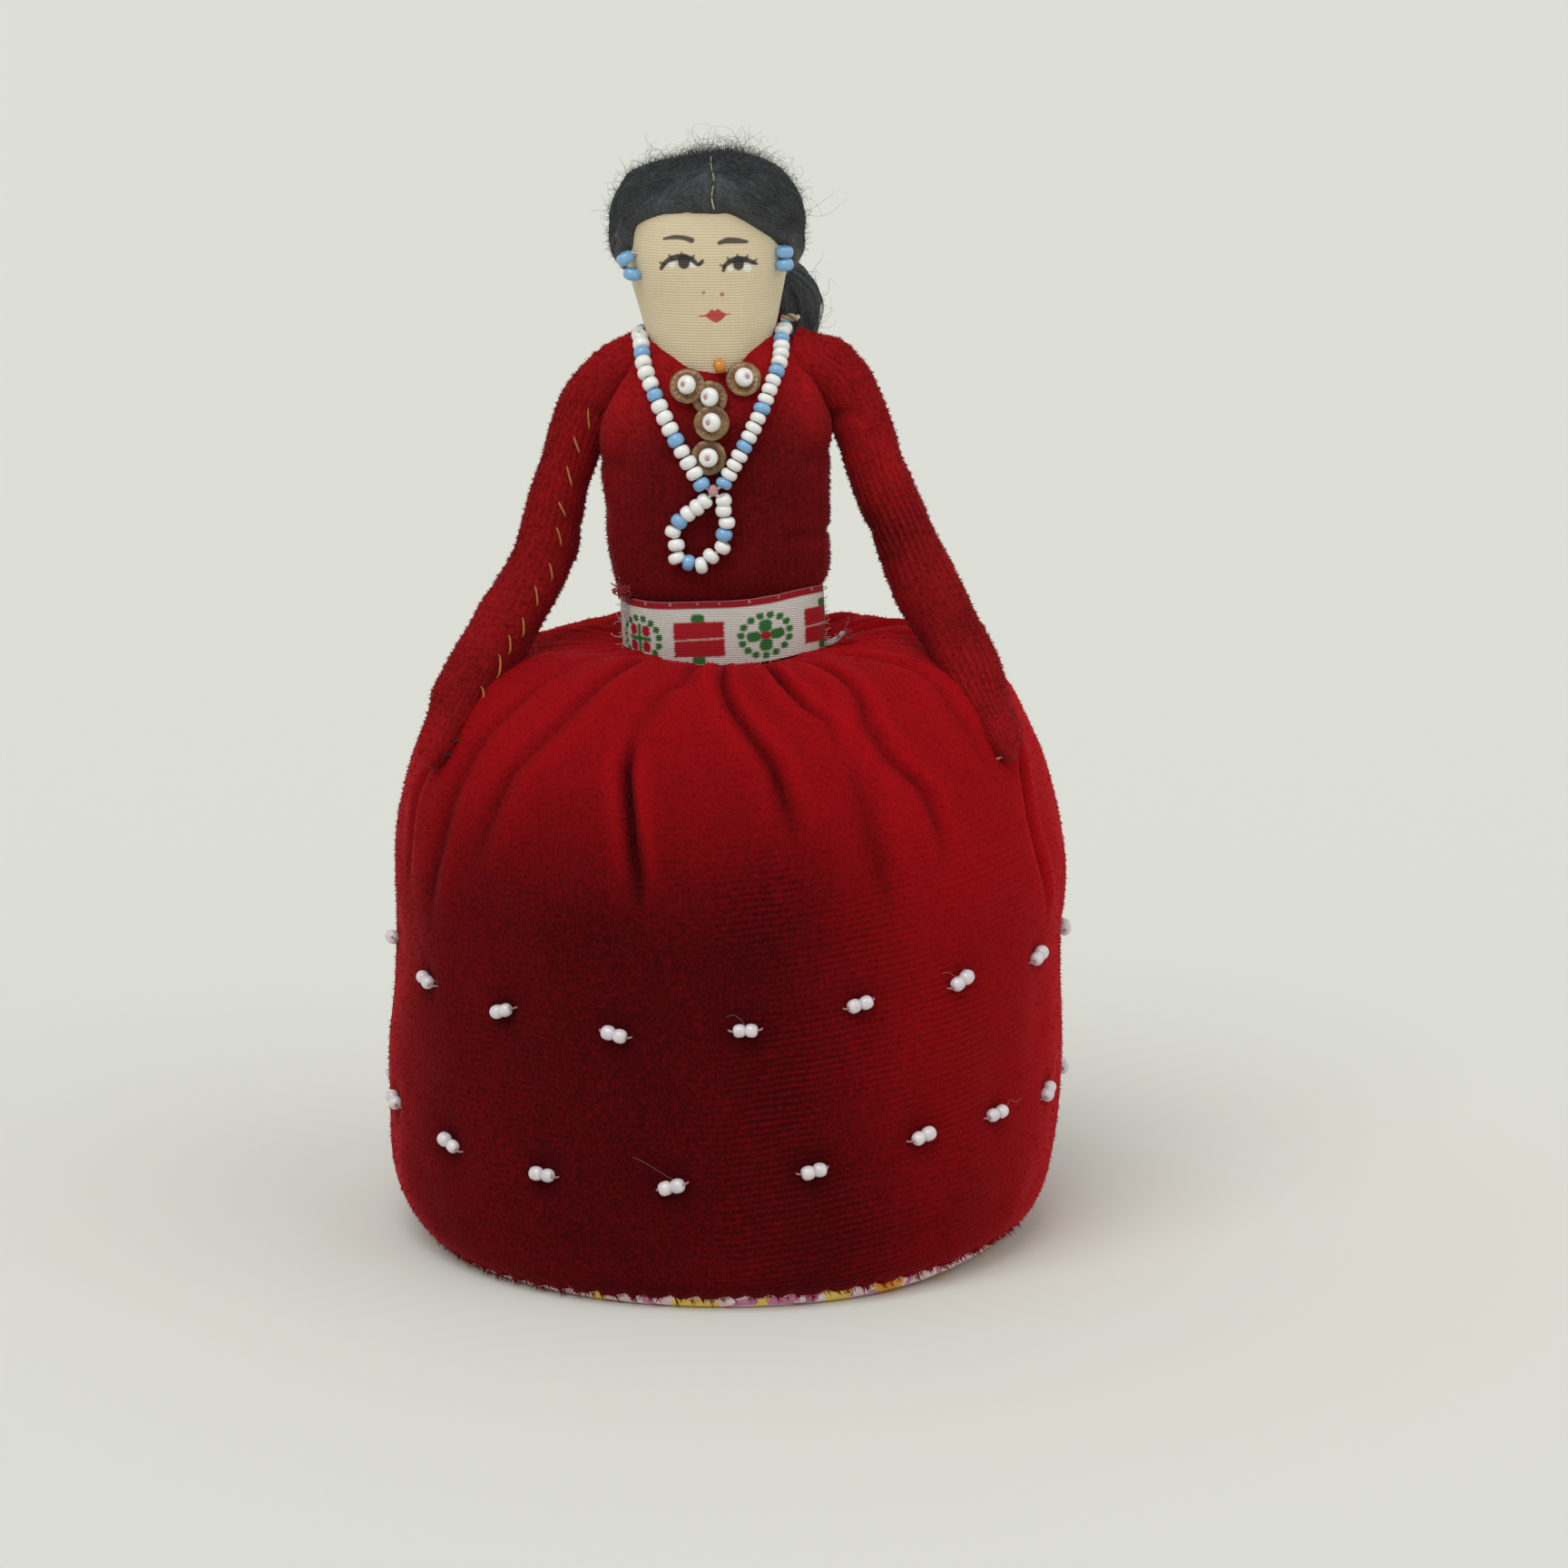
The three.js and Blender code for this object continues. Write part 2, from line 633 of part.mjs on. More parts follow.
const hemX = SIDE_X - HEM_INSET + CLEARANCE + THREAD / 2;
const hemY = SKIRT_DEPTH / 2 - HEM_INSET + CLEARANCE + THREAD / 2;
const phase = THREE.MathUtils.degToRad(PEARL_PHASE);
const skirtShell = ringSolid([...skirtRings(4, 0, 1), ...skirtRings(4, -VELVET, 0).reverse()], true);
addPiece(doll, "base_panel", basePanel(), "base_print");
addPiece(doll, "base_card", baseCard(), "card");
addPiece(doll, "skirt_filling", skirtFilling(), "stuffing");
addPiece(doll, "skirt_cover", skirtShell, "velvet");
addPiece(doll, "hem_thread", threadRing(hemX, hemY, BASE_RIM / 2, 2), "red_thread");
addPiece(
  doll,
  "waist_thread",
  threadRing(WAIST_X + THREAD / 2, WAIST_Y + THREAD / 2, WAIST_EDGE + THREAD_LIFT, TORSO_ROUNDNESS),
  "red_thread",
);
addPiece(doll, "upper_pearl_row", pearlRow(UPPER_ROW, phase), "pearl");
addPiece(doll, "lower_pearl_row", pearlRow(LOWER_ROW, phase + Math.PI / PEARL_PAIRS), "pearl");

// Torso, head and arms
const torso = new StuffedForm(
  [
    [WAIST_WIDTH / 2, WAIST_DEPTH / 2, TORSO_BOTTOM - 2 * VELVET],
    [WAIST_WIDTH / 2, WAIST_DEPTH / 2, BELT_BOTTOM + BELT_HEIGHT],
    [RIB_WIDTH / 2, RIB_DEPTH / 2, RIB_HEIGHT],
    [CHEST_WIDTH / 2, CHEST_DEPTH / 2, CHEST_HEIGHT],
    [SHOULDER_WIDTH / 2, SHOULDER_DEPTH / 2, SHOULDER_HEIGHT],
    [NECK_WIDTH / 2, NECK_DEPTH / 2, TORSO_TOP],
  ],
  TORSO_ROUNDNESS,
  18,
  10,
);
const head = new StuffedForm(
  [
    [THROAT_WIDTH / 2, THROAT_DEPTH / 2, THROAT_HEIGHT - NECK_TUCK - 2 * COTTON],
    [THROAT_WIDTH / 2, THROAT_DEPTH / 2, THROAT_HEIGHT],
    [JAW_WIDTH / 2, JAW_DEPTH / 2, JAW_HEIGHT],
    [HEAD_WIDTH / 2, HEAD_DEPTH / 2, CHEEK_HEIGHT],
    [HEAD_WIDTH * 0.45, HEAD_DEPTH * 0.45, THREE.MathUtils.lerp(CHEEK_HEIGHT, HEAD_TOP, 0.6)],
    [HEAD_WIDTH * 0.28, HEAD_DEPTH * 0.28, THREE.MathUtils.lerp(CHEEK_HEIGHT, HEAD_TOP, 0.92)],
    [HEAD_WIDTH * 0.08, HEAD_DEPTH * 0.08, HEAD_TOP],
  ],
  HEAD_ROUNDNESS,
  18,
  11,
);

function makeArm(side) {
  const upperPoints = [ARMHOLE_POINT, SHOULDER_POINT, UPPER_ARM_POINT];
  const lowerPoints = [ELBOW_POINT, FOREARM_POINT, HAND_POINT];
  const route = [...upperPoints, ...lowerPoints].map(
    ([outward, forward, up]) => new THREE.Vector3(side * outward, -forward, up),
  );
  const width = ARM_WIDTH / 2;
  const depth = ARM_DEPTH / 2;
  const sections = [
    [width * ARM_TOP, depth * ARM_TOP, 0],
    [width, depth, 0.3],
    [width, depth, 0.55],
    [width * FOREARM_SHARE, depth * FOREARM_SHARE, 0.78],
    [width * WRIST_SHARE, depth * WRIST_SHARE, 0.91],
    [HAND_TIP / 2, HAND_TIP / 2, 1],
  ];
  return new StuffedLimb(route, sections, 10, 12);
}

const torsoRoom = torso.body(CLEARANCE);
const headRoom = head.body(CLEARANCE);
const shoulderRoom = leaned(torsoRoom);
const skirtRoom = ringSolid(skirtRings(4, CLEARANCE, 1), false);
const torsoFloor = halfSpace(new THREE.Vector3(0, 0, -1), -TORSO_BOTTOM);
const neckFloor = halfSpace(new THREE.Vector3(0, 0, -1), NECK_TUCK - THROAT_HEIGHT);
const sewnBodice = torso
  .body(0)
  .subtract(torso.body(-VELVET))
  .subtract(headRoom)
  .subtract(torsoFloor);
const front = halfSpace(new THREE.Vector3(0, -1, 0), CLEARANCE / 2);
const back = halfSpace(new THREE.Vector3(0, 1, 0), CLEARANCE / 2);
const torsoCore = torso.body(-VELVET - CLEARANCE).subtract(headRoom).subtract(torsoFloor);
addPiece(upperBody, "torso_filling", torsoCore, "stuffing");
addPiece(upperBody, "bodice_front", sewnBodice.intersect(front), "velvet");
addPiece(upperBody, "bodice_back", sewnBodice.intersect(back), "velvet");
addPiece(upperBody, "head_filling", head.body(-COTTON - CLEARANCE).subtract(neckFloor), "stuffing");
const headShell = head.body(0).subtract(head.body(-COTTON)).subtract(neckFloor);
addPiece(upperBody, "head_cover", headShell, "head_cotton");

// The ribbon round the waist, whose outer end laps over its inner end.
function beltRibbon() {
  const start = THREE.MathUtils.degToRad(BELT_END - BELT_LAP);
  const sweep = 2 * Math.PI + THREE.MathUtils.degToRad(BELT_LAP);
  const steps = 52;
  const edge = (lift) =>
    Array.from({ length: steps + 1 }, (_, i) => {
      const angle = start + (sweep * i) / steps;
      const spiral = ((BELT_THICKNESS + CLEARANCE) * sweep * i) / steps / (2 * Math.PI);
      const grow = WAIST_GAP + spiral + lift;
      const [halfWidth, halfDepth] = [WAIST_WIDTH / 2 + grow, WAIST_DEPTH / 2 + grow];
      return new THREE.Vector2(...ovalPoint(halfWidth, halfDepth, angle, TORSO_ROUNDNESS));
    });
  const outline = new THREE.Shape([...edge(0), ...edge(BELT_THICKNESS).reverse()]);
  const strip = new THREE.ExtrudeGeometry(outline, { depth: BELT_HEIGHT, bevelEnabled: false });
  return solid(strip.translate(0, 0, BELT_BOTTOM));
}

addPiece(upperBody, "belt_ribbon", beltRibbon(), "ribbon");

// Whip stitches as one thread that crosses a seam to and fro along an arm.
function sleeveThread(arm, middle) {
  const points = [];
  for (let i = 0; i <= 2 * STITCHES; i++) {
    const place = THREE.MathUtils.lerp(SEAM_START, SEAM_END, i / (2 * STITCHES));
    const swing = ((i % 2 ? 1 : -1) * SEAM_WIDTH) / 2 / (ARM_WIDTH / 2);
    points.push(arm.point(place, middle + swing / 2, THREAD_LIFT * 1.3));
  }
  return threadAlong(new THREE.CatmullRomCurve3(points), THREAD, 4 * STITCHES, 4);
}

// A stitch from the front of the hand to the skirt beside it.
function handTack(arm, side) {
  const [outward, forward, up] = HAND_POINT;
  const angle = side * (Math.atan2(outward / SKIRT_WIDTH, forward / SKIRT_DEPTH) - TACK_LENGTH / SIDE_X);
  const lift = 2 * THREAD_LIFT + gatherHeight(SIDE_X, up);
  const hand = arm.point(0.95, -Math.PI / 2, THREAD_LIFT);
  const skirt = skirtSide(angle, up - TACK_LENGTH / 3, lift);
  const middle = skirtSide(angle + (side * TACK_LENGTH) / 3 / SIDE_X, up + TACK_LENGTH / 4, lift + THREAD);
  return threadAlong(new THREE.CatmullRomCurve3([hand, middle, skirt]), THREAD, 5, 4);
}

for (const [name, side, seamAngle, seamFinish] of [
  ["right", -1, -Math.PI / 2, "orange_thread"],
  ["left", 1, Math.PI * 0.7, "red_thread"],
]) {
  const arm = makeArm(side);
  const sleeve = arm.body(0).subtract(arm.body(-VELVET));
  addPiece(doll, name + "_sleeve", sleeve.subtract(shoulderRoom).subtract(skirtRoom), "velvet");
  const core = arm.body(-VELVET - CLEARANCE);
  addPiece(doll, name + "_arm_filling", core.subtract(shoulderRoom).subtract(skirtRoom), "stuffing");
  addPiece(doll, name + "_sleeve_thread", sleeveThread(arm, seamAngle), seamFinish);
  addPiece(doll, name + "_hand_tack", handTack(arm, side), "dark_thread");
}

// Hair
const hairSlope = new THREE.Vector3(0, HAIRLINE - NAPE, HEAD_DEPTH + 2 * HAIR).normalize();
const hairEdge = new THREE.Vector3(0, -HEAD_DEPTH / 2 - HAIR, HAIRLINE).dot(hairSlope);
const combedHair = head.body(HAIR).subtract(headRoom).intersect(halfSpace(hairSlope, hairEdge));
const partingHalf = THREAD / 2 + CLEARANCE;
for (const [name, side] of [["right", -1], ["left", 1]]) {
  const half = halfSpace(new THREE.Vector3(side, 0, 0), partingHalf);
  addPiece(upperBody, name + "_hair", combedHair.intersect(half), "wool");
}

// The thread that lies in the parting, from the hairline to the top.
function partingThread() {
  const points = Array.from({ length: 7 }, (_, i) => {
    const height = THREE.MathUtils.lerp(HAIRLINE, HEAD_TOP - CLEARANCE, i / 6);
    return head.front(0, height, 0).addScaledVector(head.frontNormal(0, height), THREAD_LIFT * 1.5);
  });
  return threadAlong(new THREE.CatmullRomCurve3(points), THREAD, 9, 5);
}

addPiece(upperBody, "parting_thread", partingThread(), "pale_yarn");

const toPoint = ([x, y, z]) => new THREE.Vector3(x, y, z);
const bun = new StuffedLimb(
  [BUN_ROOT, BUN_SHOULDER, BUN_WAIST, BUN_END].map(toPoint),
  [
    [BUN_WIDTH * 0.25, BUN_DEPTH * 0.25, 0],
    [BUN_WIDTH / 2, BUN_DEPTH / 2, BUN_TIE_PLACE / 2],
    [(BUN_WIDTH / 2) * BUN_WAIST_SHARE, (BUN_DEPTH / 2) * BUN_WAIST_SHARE, BUN_TIE_PLACE],
    [BUN_WIDTH / 2, BUN_DEPTH / 2, (1 + BUN_TIE_PLACE) / 2],
    [BUN_WIDTH * 0.25, BUN_DEPTH * 0.25, 1],
  ],
  14,
  12,
);
const hairRoom = head.body(HAIR + CLEARANCE);
addPiece(upperBody, "hair_bun", bun.body(0).subtract(hairRoom).subtract(torsoRoom), "wool");

// Yarn wound round the narrow part of the bun.
function bunTie() {
  const perTurn = 24;
  const count = TIE_TURNS * perTurn;
  const length = bun.route.getLength();
  const points = Array.from({ length: count + 1 }, (_, i) => {
    const place = BUN_TIE_PLACE + ((i / count - 0.5) * TIE_TURNS * TIE_PITCH) / length;
    return bun.point(place, (i / perTurn) * 2 * Math.PI, 2 * CLEARANCE + TIE_YARN / 2);
  });
  console.log("bun_tie least gap between turns", leastGap(points, TIE_YARN, perTurn).toFixed(2), "mm");
  return threadAlong(new THREE.CatmullRomCurve3(points), TIE_YARN, count, 6);
}

addPiece(upperBody, "bun_tie", bunTie(), "pale_yarn");

// Sequins, each held by a bead
function sequinGeometry() {
  const radius = SEQUIN_DIAMETER / 2;
  const hole = SEQUIN_HOLE / 2;
  const outline = [
    [hole, 0],
    [radius / 2, 0],
    [radius, SEQUIN_CUP],
    [radius, SEQUIN_CUP + SEQUIN_THICKNESS],
    [radius / 2, SEQUIN_THICKNESS],
    [hole, SEQUIN_THICKNESS],
    [hole, 0],
  ];
  return new THREE.LatheGeometry(
    outline.map(([x, y]) => new THREE.Vector2(x, y)),
    12,
  );
}

const holedBead = beadGeometry(BEAD_DIAMETER, BEAD_LENGTH, BEAD_HOLE, 8);
for (const [name, [left, up]] of Object.entries(SEQUIN_PLACES)) {
  const normal = torso.frontNormal(left, up);
  const lift = CLEARANCE + (RAISED_SEQUINS.includes(name) ? LAYER : 0);
  const place = torso.front(left, up, 0).addScaledVector(normal, lift);
  addPiece(upperBody, "sequin_" + name, placed(sequinGeometry(), place, normal), "sequin");
  const beadLift = SEQUIN_THICKNESS + CLEARANCE + BEAD_LENGTH / 2;
  const beadPlace = place.clone().addScaledVector(normal, beadLift);
  addPiece(upperBody, "sequin_bead_" + name, placed(holedBead, beadPlace, normal), "glass_bead");
}
const collarNormal = head.frontNormal(...COLLAR_BEAD_PLACE);
const collarPlace = head
  .front(...COLLAR_BEAD_PLACE, 0)
  .addScaledVector(collarNormal, CLEARANCE + COLLAR_BEAD_DIAMETER / 2);
const collarBead = beadGeometry(COLLAR_BEAD_DIAMETER, COLLAR_BEAD_LENGTH, BEAD_HOLE, 8);
addPiece(upperBody, "collar_bead", placed(collarBead, collarPlace, collarNormal), "orange_bead");

// Earrings: two beads on a thread that is sewn to the side of the head
for (const [name, side] of [["right", -1], ["left", 1]]) {
  const section = head.sectionAt(EARRING_HEIGHT);
  const share = Math.abs(EARRING_FORWARD / section.y) ** HEAD_ROUNDNESS;
  const skin = section.x * (1 - share) ** (1 / HEAD_ROUNDNESS);
  const hang = skin + CLEARANCE + BEAD_DIAMETER / 2;
  const at = (out, drop) => new THREE.Vector3(side * out, -EARRING_FORWARD, EARRING_HEIGHT - drop);
  const points = [
    at(skin + 2 * CLEARANCE, -BEAD_LENGTH * 0.8),
    at(hang, -BEAD_LENGTH / 2 - CLEARANCE),
    at(hang, 0),
    at(hang, BEAD_PITCH),
    at(hang, BEAD_PITCH + BEAD_LENGTH / 2 + CLEARANCE),
  ];
  const earThread = threadAlong(new THREE.CatmullRomCurve3(points), BEAD_HOLE - 2 * CLEARANCE, 10, 5);
  addPiece(upperBody, name + "_earring_thread", earThread, "pale_yarn");
  const upright = new THREE.Vector3(0, 0, 1);
  for (const [bead, drop] of [["upper", 0], ["lower", BEAD_PITCH]]) {
    const body = placed(holedBead, at(hang, drop), upright);
    addPiece(upperBody, name + "_earring_" + bead + "_bead", body, "blue_bead");
  }
}

// Necklace: a collar of beads behind the neck, two strands on the chest and the loop under their crossing
const COLLAR_FRONT = THREE.MathUtils.degToRad(-16);
const collarRoute = Array.from({ length: 13 }, (_, i) => {
  const angle = THREE.MathUtils.lerp(COLLAR_FRONT, Math.PI - COLLAR_FRONT, i / 12);
  return head.around(angle, NECKLACE_HEIGHT, BEAD_LIFT + CLEARANCE);
});
const collarStrand = strungBeads(new THREE.CatmullRomCurve3(collarRoute), BEAD_LENGTH / 4);
addPiece(upperBody, "necklace_collar", collarStrand, "glass_bead");

function chestRoute(side) {
  const start = head.around(COLLAR_FRONT, NECKLACE_HEIGHT, BEAD_LIFT + CLEARANCE);
  start.x *= side;
  const ahead = new THREE.Vector3(0, -0.7, -0.7).multiplyScalar(1.5 * CLEARANCE);
  const [slopeLeft, slopeUp] = NECKLACE_SLOPE;
  const [crossLeft, crossUp] = CROSSING;
  const points = [start.add(ahead)];
  for (let i = 0; i <= 6; i++) {
    const left = THREE.MathUtils.lerp(side * slopeLeft, crossLeft + (side * CROSSING_WIDTH) / 2, i / 6);
    points.push(torso.front(left, THREE.MathUtils.lerp(slopeUp, crossUp, i / 6), BEAD_LIFT));
  }
  return new THREE.CatmullRomCurve3(points);
}

const chestStrands = [-1, 1].map((side) => chestRoute(side));
const knotEnds = chestStrands.map((curve) => curve.getPoint(1));
const knot = threadAlong(new THREE.CatmullRomCurve3(knotEnds), THREAD, 3, 5);
addPiece(
  upperBody,
  "necklace_front",
  joined([...chestStrands.map((curve) => strungBeads(curve, BEAD_LENGTH / 4)), knot]),
  "glass_bead",
);

const pendantRoute = PENDANT_ROUTE.map(([left, up]) =>
  torso.front(CROSSING[0] + left, CROSSING[1] + up, BEAD_LIFT),
);
const pendant = strungBeads(new THREE.CatmullRomCurve3(pendantRoute, true), BEAD_LENGTH / 2);
addPiece(upperBody, "pendant_loop", pendant, "glass_bead");

export default doll;
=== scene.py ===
"""Looks of a stuffed velvet doll whose gathered skirt is a pincushion.

Sizes are in millimetres in the doll's own frame: the doll faces -Y, +Z is up and the origin is the
centre of its resting face. Right and left are the doll's own, so its right arm is on the -X side.
Meshes are written in metres.
"""
import logging
import math
from dataclasses import dataclass, field, replace
from enum import Enum
from typing import Callable, Sequence

import bpy
import numpy as np
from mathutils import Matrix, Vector


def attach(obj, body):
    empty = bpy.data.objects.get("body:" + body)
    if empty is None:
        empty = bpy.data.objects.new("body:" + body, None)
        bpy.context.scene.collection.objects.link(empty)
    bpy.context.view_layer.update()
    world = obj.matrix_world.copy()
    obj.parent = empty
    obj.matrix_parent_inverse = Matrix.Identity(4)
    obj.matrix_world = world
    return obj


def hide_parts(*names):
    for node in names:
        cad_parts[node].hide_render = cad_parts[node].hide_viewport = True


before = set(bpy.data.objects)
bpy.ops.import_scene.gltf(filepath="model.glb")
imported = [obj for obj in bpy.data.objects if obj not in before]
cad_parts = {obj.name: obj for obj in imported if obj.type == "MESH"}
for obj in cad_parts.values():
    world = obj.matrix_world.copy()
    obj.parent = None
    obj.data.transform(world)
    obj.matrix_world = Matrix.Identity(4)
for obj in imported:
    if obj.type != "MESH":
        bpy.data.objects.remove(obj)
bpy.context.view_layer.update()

MM = 0.001
Array = np.ndarray
Rng = np.random.Generator
Socket = bpy.types.NodeSocket
Node = bpy.types.Node
NodeTree = bpy.types.NodeTree
Pair = tuple[float, float]
Triple = tuple[float, float, float]
Colour = Triple
Mesh = tuple[Array, list[Array]]
log = logging.getLogger("pincushion_doll")

# Velvet
PILE_ROW = 0.95

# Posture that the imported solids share
LEAN = math.radians(2.3)
WAIST_EDGE = 80.1


class Side(Enum):
    """The doll's own right and left, as the sign of X."""

    RIGHT = -1
    LEFT = 1

    @property
    def word(self) -> str:
        """The side's name as the nodes have it."""
        return self.name.lower()


# Numbers and curves


def smoothstep(low: float, high: float, value: Array) -> Array:
    """Rises smoothly from 0 at low to 1 at high; low may lie above high."""
    share = np.clip((np.asarray(value, float) - low) / (high - low), 0, 1)
    return share * share * (3 - 2 * share)


def bump(distance: Array, width: float | Array) -> Array:
    """A smooth hill of height 1 round distance 0."""
    return np.exp(-((distance / width) ** 2))


def signed(degrees: Array) -> Array:
    """Angles brought between -180 and 180 degrees."""
    return (degrees + 180) % 360 - 180


def once_round(count: int) -> Array:
    """Angles that go once round in even steps."""
    return np.linspace(0, 2 * math.pi, count, endpoint=False)


def step_lengths(line: Array) -> Array:
    """Lengths of the steps between a line's points."""
    return np.linalg.norm(np.diff(line, axis=0), axis=1)


def distances(line: Array) -> Array:
    """How far each point of a line lies along it."""
    return np.concatenate([[0], np.cumsum(step_lengths(line))])


def between(table: Array, known: Array, places: Array) -> Array:
    """Rows of a table at places, between the places that are known."""
    return np.stack([np.interp(places, known, column) for column in table.T], axis=-1)


def resample(line: Array, count: int) -> Array:
    """A polyline with a number of points at even distances along it.

    Args:
        line: The polyline's points.
        count: How many points the result has.

    Returns:
        The new points.
    """
    places = distances(line)
    return between(line, places, np.linspace(0, places[-1], count))


def smooth_path(points: Sequence[Sequence[float]], count: int, closed: bool = False) -> Array:
    """A smooth curve through points.

    Args:
        points: The points, of any number of coordinates.
        count: How many points the result has, at even distances.
        closed: Whether the curve comes back to its first point.

    Returns:
        The points of the curve; a closed one ends where it starts.
    """
    knots = np.asarray(points, float)
    if closed:
        knots = np.vstack([knots[-1], knots, knots[0], knots[1]])
    else:
        knots = np.vstack([2 * knots[0] - knots[1], knots, 2 * knots[-1] - knots[-2]])
    share = np.linspace(0, 1, 24, endpoint=False)[:, None]
    spans = []
    for before, here, after, beyond in zip(knots, knots[1:], knots[2:], knots[3:]):
        steps = (here - before, after - here, beyond - after)
        gaps = [max(np.linalg.norm(step), 1e-6) ** 0.5 for step in steps]
        lead = steps[0] / gaps[0] - (after - before) / (gaps[0] + gaps[1]) + steps[1] / gaps[1]
        trail = steps[1] / gaps[1] - (beyond - here) / (gaps[1] + gaps[2]) + steps[2] / gaps[2]
        lead, trail = lead * gaps[1], trail * gaps[1]
        bend = 3 * steps[1] - 2 * lead - trail
        twist = lead + trail - 2 * steps[1]
        spans.append(here + lead * share + bend * share**2 + twist * share**3)
    spans.append(knots[-2][None])
    return resample(np.concatenate(spans), count)


def bezier(points: Sequence[Sequence[float]], count: int = 60) -> Array:
    """The points of a Bezier curve with the given control points.

    Args:
        points: The control points.
        count: How many points the result has.

    Returns:
        The curve's points.
    """
    controls = np.asarray(points, float)
    degree = len(controls) - 1
    share = np.linspace(0, 1, count)[:, None]
    weights = [math.comb(degree, i) * share**i * (1 - share) ** (degree - i) for i in range(degree + 1)]
    return sum(weight * control for weight, control in zip(weights, controls))


def unit(vectors: Array) -> Array:
    """Vectors of length 1 with the same directions."""
    return vectors / np.maximum(np.linalg.norm(vectors, axis=-1, keepdims=True), 1e-9)


def lumps(points: Array, size: float, seed: int, waves: int = 14) -> Array:
    """Soft irregular hills between about -1 and 1.

    Args:
        points: Points in space, with three coordinates on the last axis.
        size: Usual width of a hill.
        seed: Chooses the hills.
        waves: How many waves are added up.

    Returns:
        One value for each point.
    """
    rng = np.random.default_rng(seed)
    directions = unit(rng.normal(size=(waves, 3))) * rng.uniform(0.6, 1.5, (waves, 1)) * math.pi / size
    phases = rng.uniform(0, 2 * math.pi, waves)
    return np.sin(points @ directions.T + phases).sum(axis=-1) / math.sqrt(waves)


def leaned(points: Array) -> Array:
    """Points of the upper body, leaned as it stands on the skirt.

    Args:
        points: Points, with three coordinates on the last axis.

    Returns:
        The leaned points.
    """
    x, y, z = np.moveaxis(np.asarray(points, float), -1, 0)
    up = z - WAIST_EDGE
    cos, sin = math.cos(LEAN), math.sin(LEAN)
    return np.stack([x * cos - up * sin, y, x * sin + up * cos + WAIST_EDGE], axis=-1)


def leaning(mesh: Mesh) -> Mesh:
    """A mesh of the upper body, leaned with it."""
    points, faces = mesh
    return leaned(points), faces


def oval(half_width: Array, half_depth: Array, angle: Array, roundness: float) -> tuple[Array, Array]:
    """X and Y of an oval; a larger roundness makes it squarer.

    Args:
        half_width: Half its size along X.
        half_depth: Half its size along Y.
        angle: Angles from +X, in radians.
        roundness: 2 for an ellipse, more for a squarer form.

    Returns:
        X and Y at each angle.
    """
    cos, sin = np.cos(angle), np.sin(angle)
    power = 2 / roundness
    x = half_width * np.sign(cos) * np.abs(cos) ** power
    y = half_depth * np.sign(sin) * np.abs(sin) ** power
    return x, y


# Meshes


def ring_faces(rows: int, columns: int, tube: bool) -> Array:
    """Four-cornered faces between rows of points that go round.

    Args:
        rows: Number of rings.
        columns: Points of a ring.
        tube: Whether the last ring joins the first.

    Returns:
        The corners of each face.
    """
    row = np.arange(rows if tube else rows - 1)[:, None]
    column = np.arange(columns)[None, :]
    above = (row + 1) % rows
    beside = (column + 1) % columns
    here, there = row * columns, above * columns
    corners = [here + column, here + beside, there + beside, there + column]
    return np.stack(np.broadcast_arrays(*corners), axis=-1).reshape(-1, 4)


def loft(rings: Array, tube: bool = False) -> Mesh:
    """A closed skin over rings of points, with flat ends unless it is a tube of rings.

    Args:
        rings: Rows of points that go round.
        tube: Whether the last ring joins the first.

    Returns:
        The mesh.
    """
    rows, columns = rings.shape[:2]
    faces = [ring_faces(rows, columns, tube)]
    if not tube:
        start = np.arange(columns)[::-1]
        faces.append(np.stack([start, np.arange(columns) + (rows - 1) * columns]))
    return rings.reshape(-1, 3), faces


def strands(paths: Array, radii: Array | float, sides: int) -> Mesh:
    """Round strands along paths, closed at both ends.

    Args:
        paths: Points of each path, as strand, point and coordinate.
        radii: Radius everywhere, or for each point of a path, or for each strand and point.
        sides: Sides of a strand's section.

    Returns:
        The mesh of all the strands.
    """
    count, steps = paths.shape[:2]
    along = unit(np.gradient(paths, axis=1))
    whole = np.abs(paths[:, -1] - paths[:, 0])
    reference = np.eye(3)[np.argmin(whole, axis=1)][:, None, :]
    side = unit(np.cross(along, reference))
    other = np.cross(along, side)
    angles = once_round(sides)
    spread = side[:, :, None, :] * np.cos(angles)[:, None] + other[:, :, None, :] * np.sin(angles)[:, None]
    size = np.broadcast_to(np.asarray(radii, float), (count, steps))
    points = paths[:, :, None, :] + spread * size[:, :, None, None]
    first = np.arange(count)[:, None, None] * steps * sides
    walls = (first + ring_faces(steps, sides, False)[None]).reshape(-1, 4)
    start = np.arange(sides)[::-1]
    ends = [first[:, 0] + start, first[:, 0] + start[::-1] + (steps - 1) * sides]
    return points.reshape(-1, 3), [walls, np.concatenate(ends)]


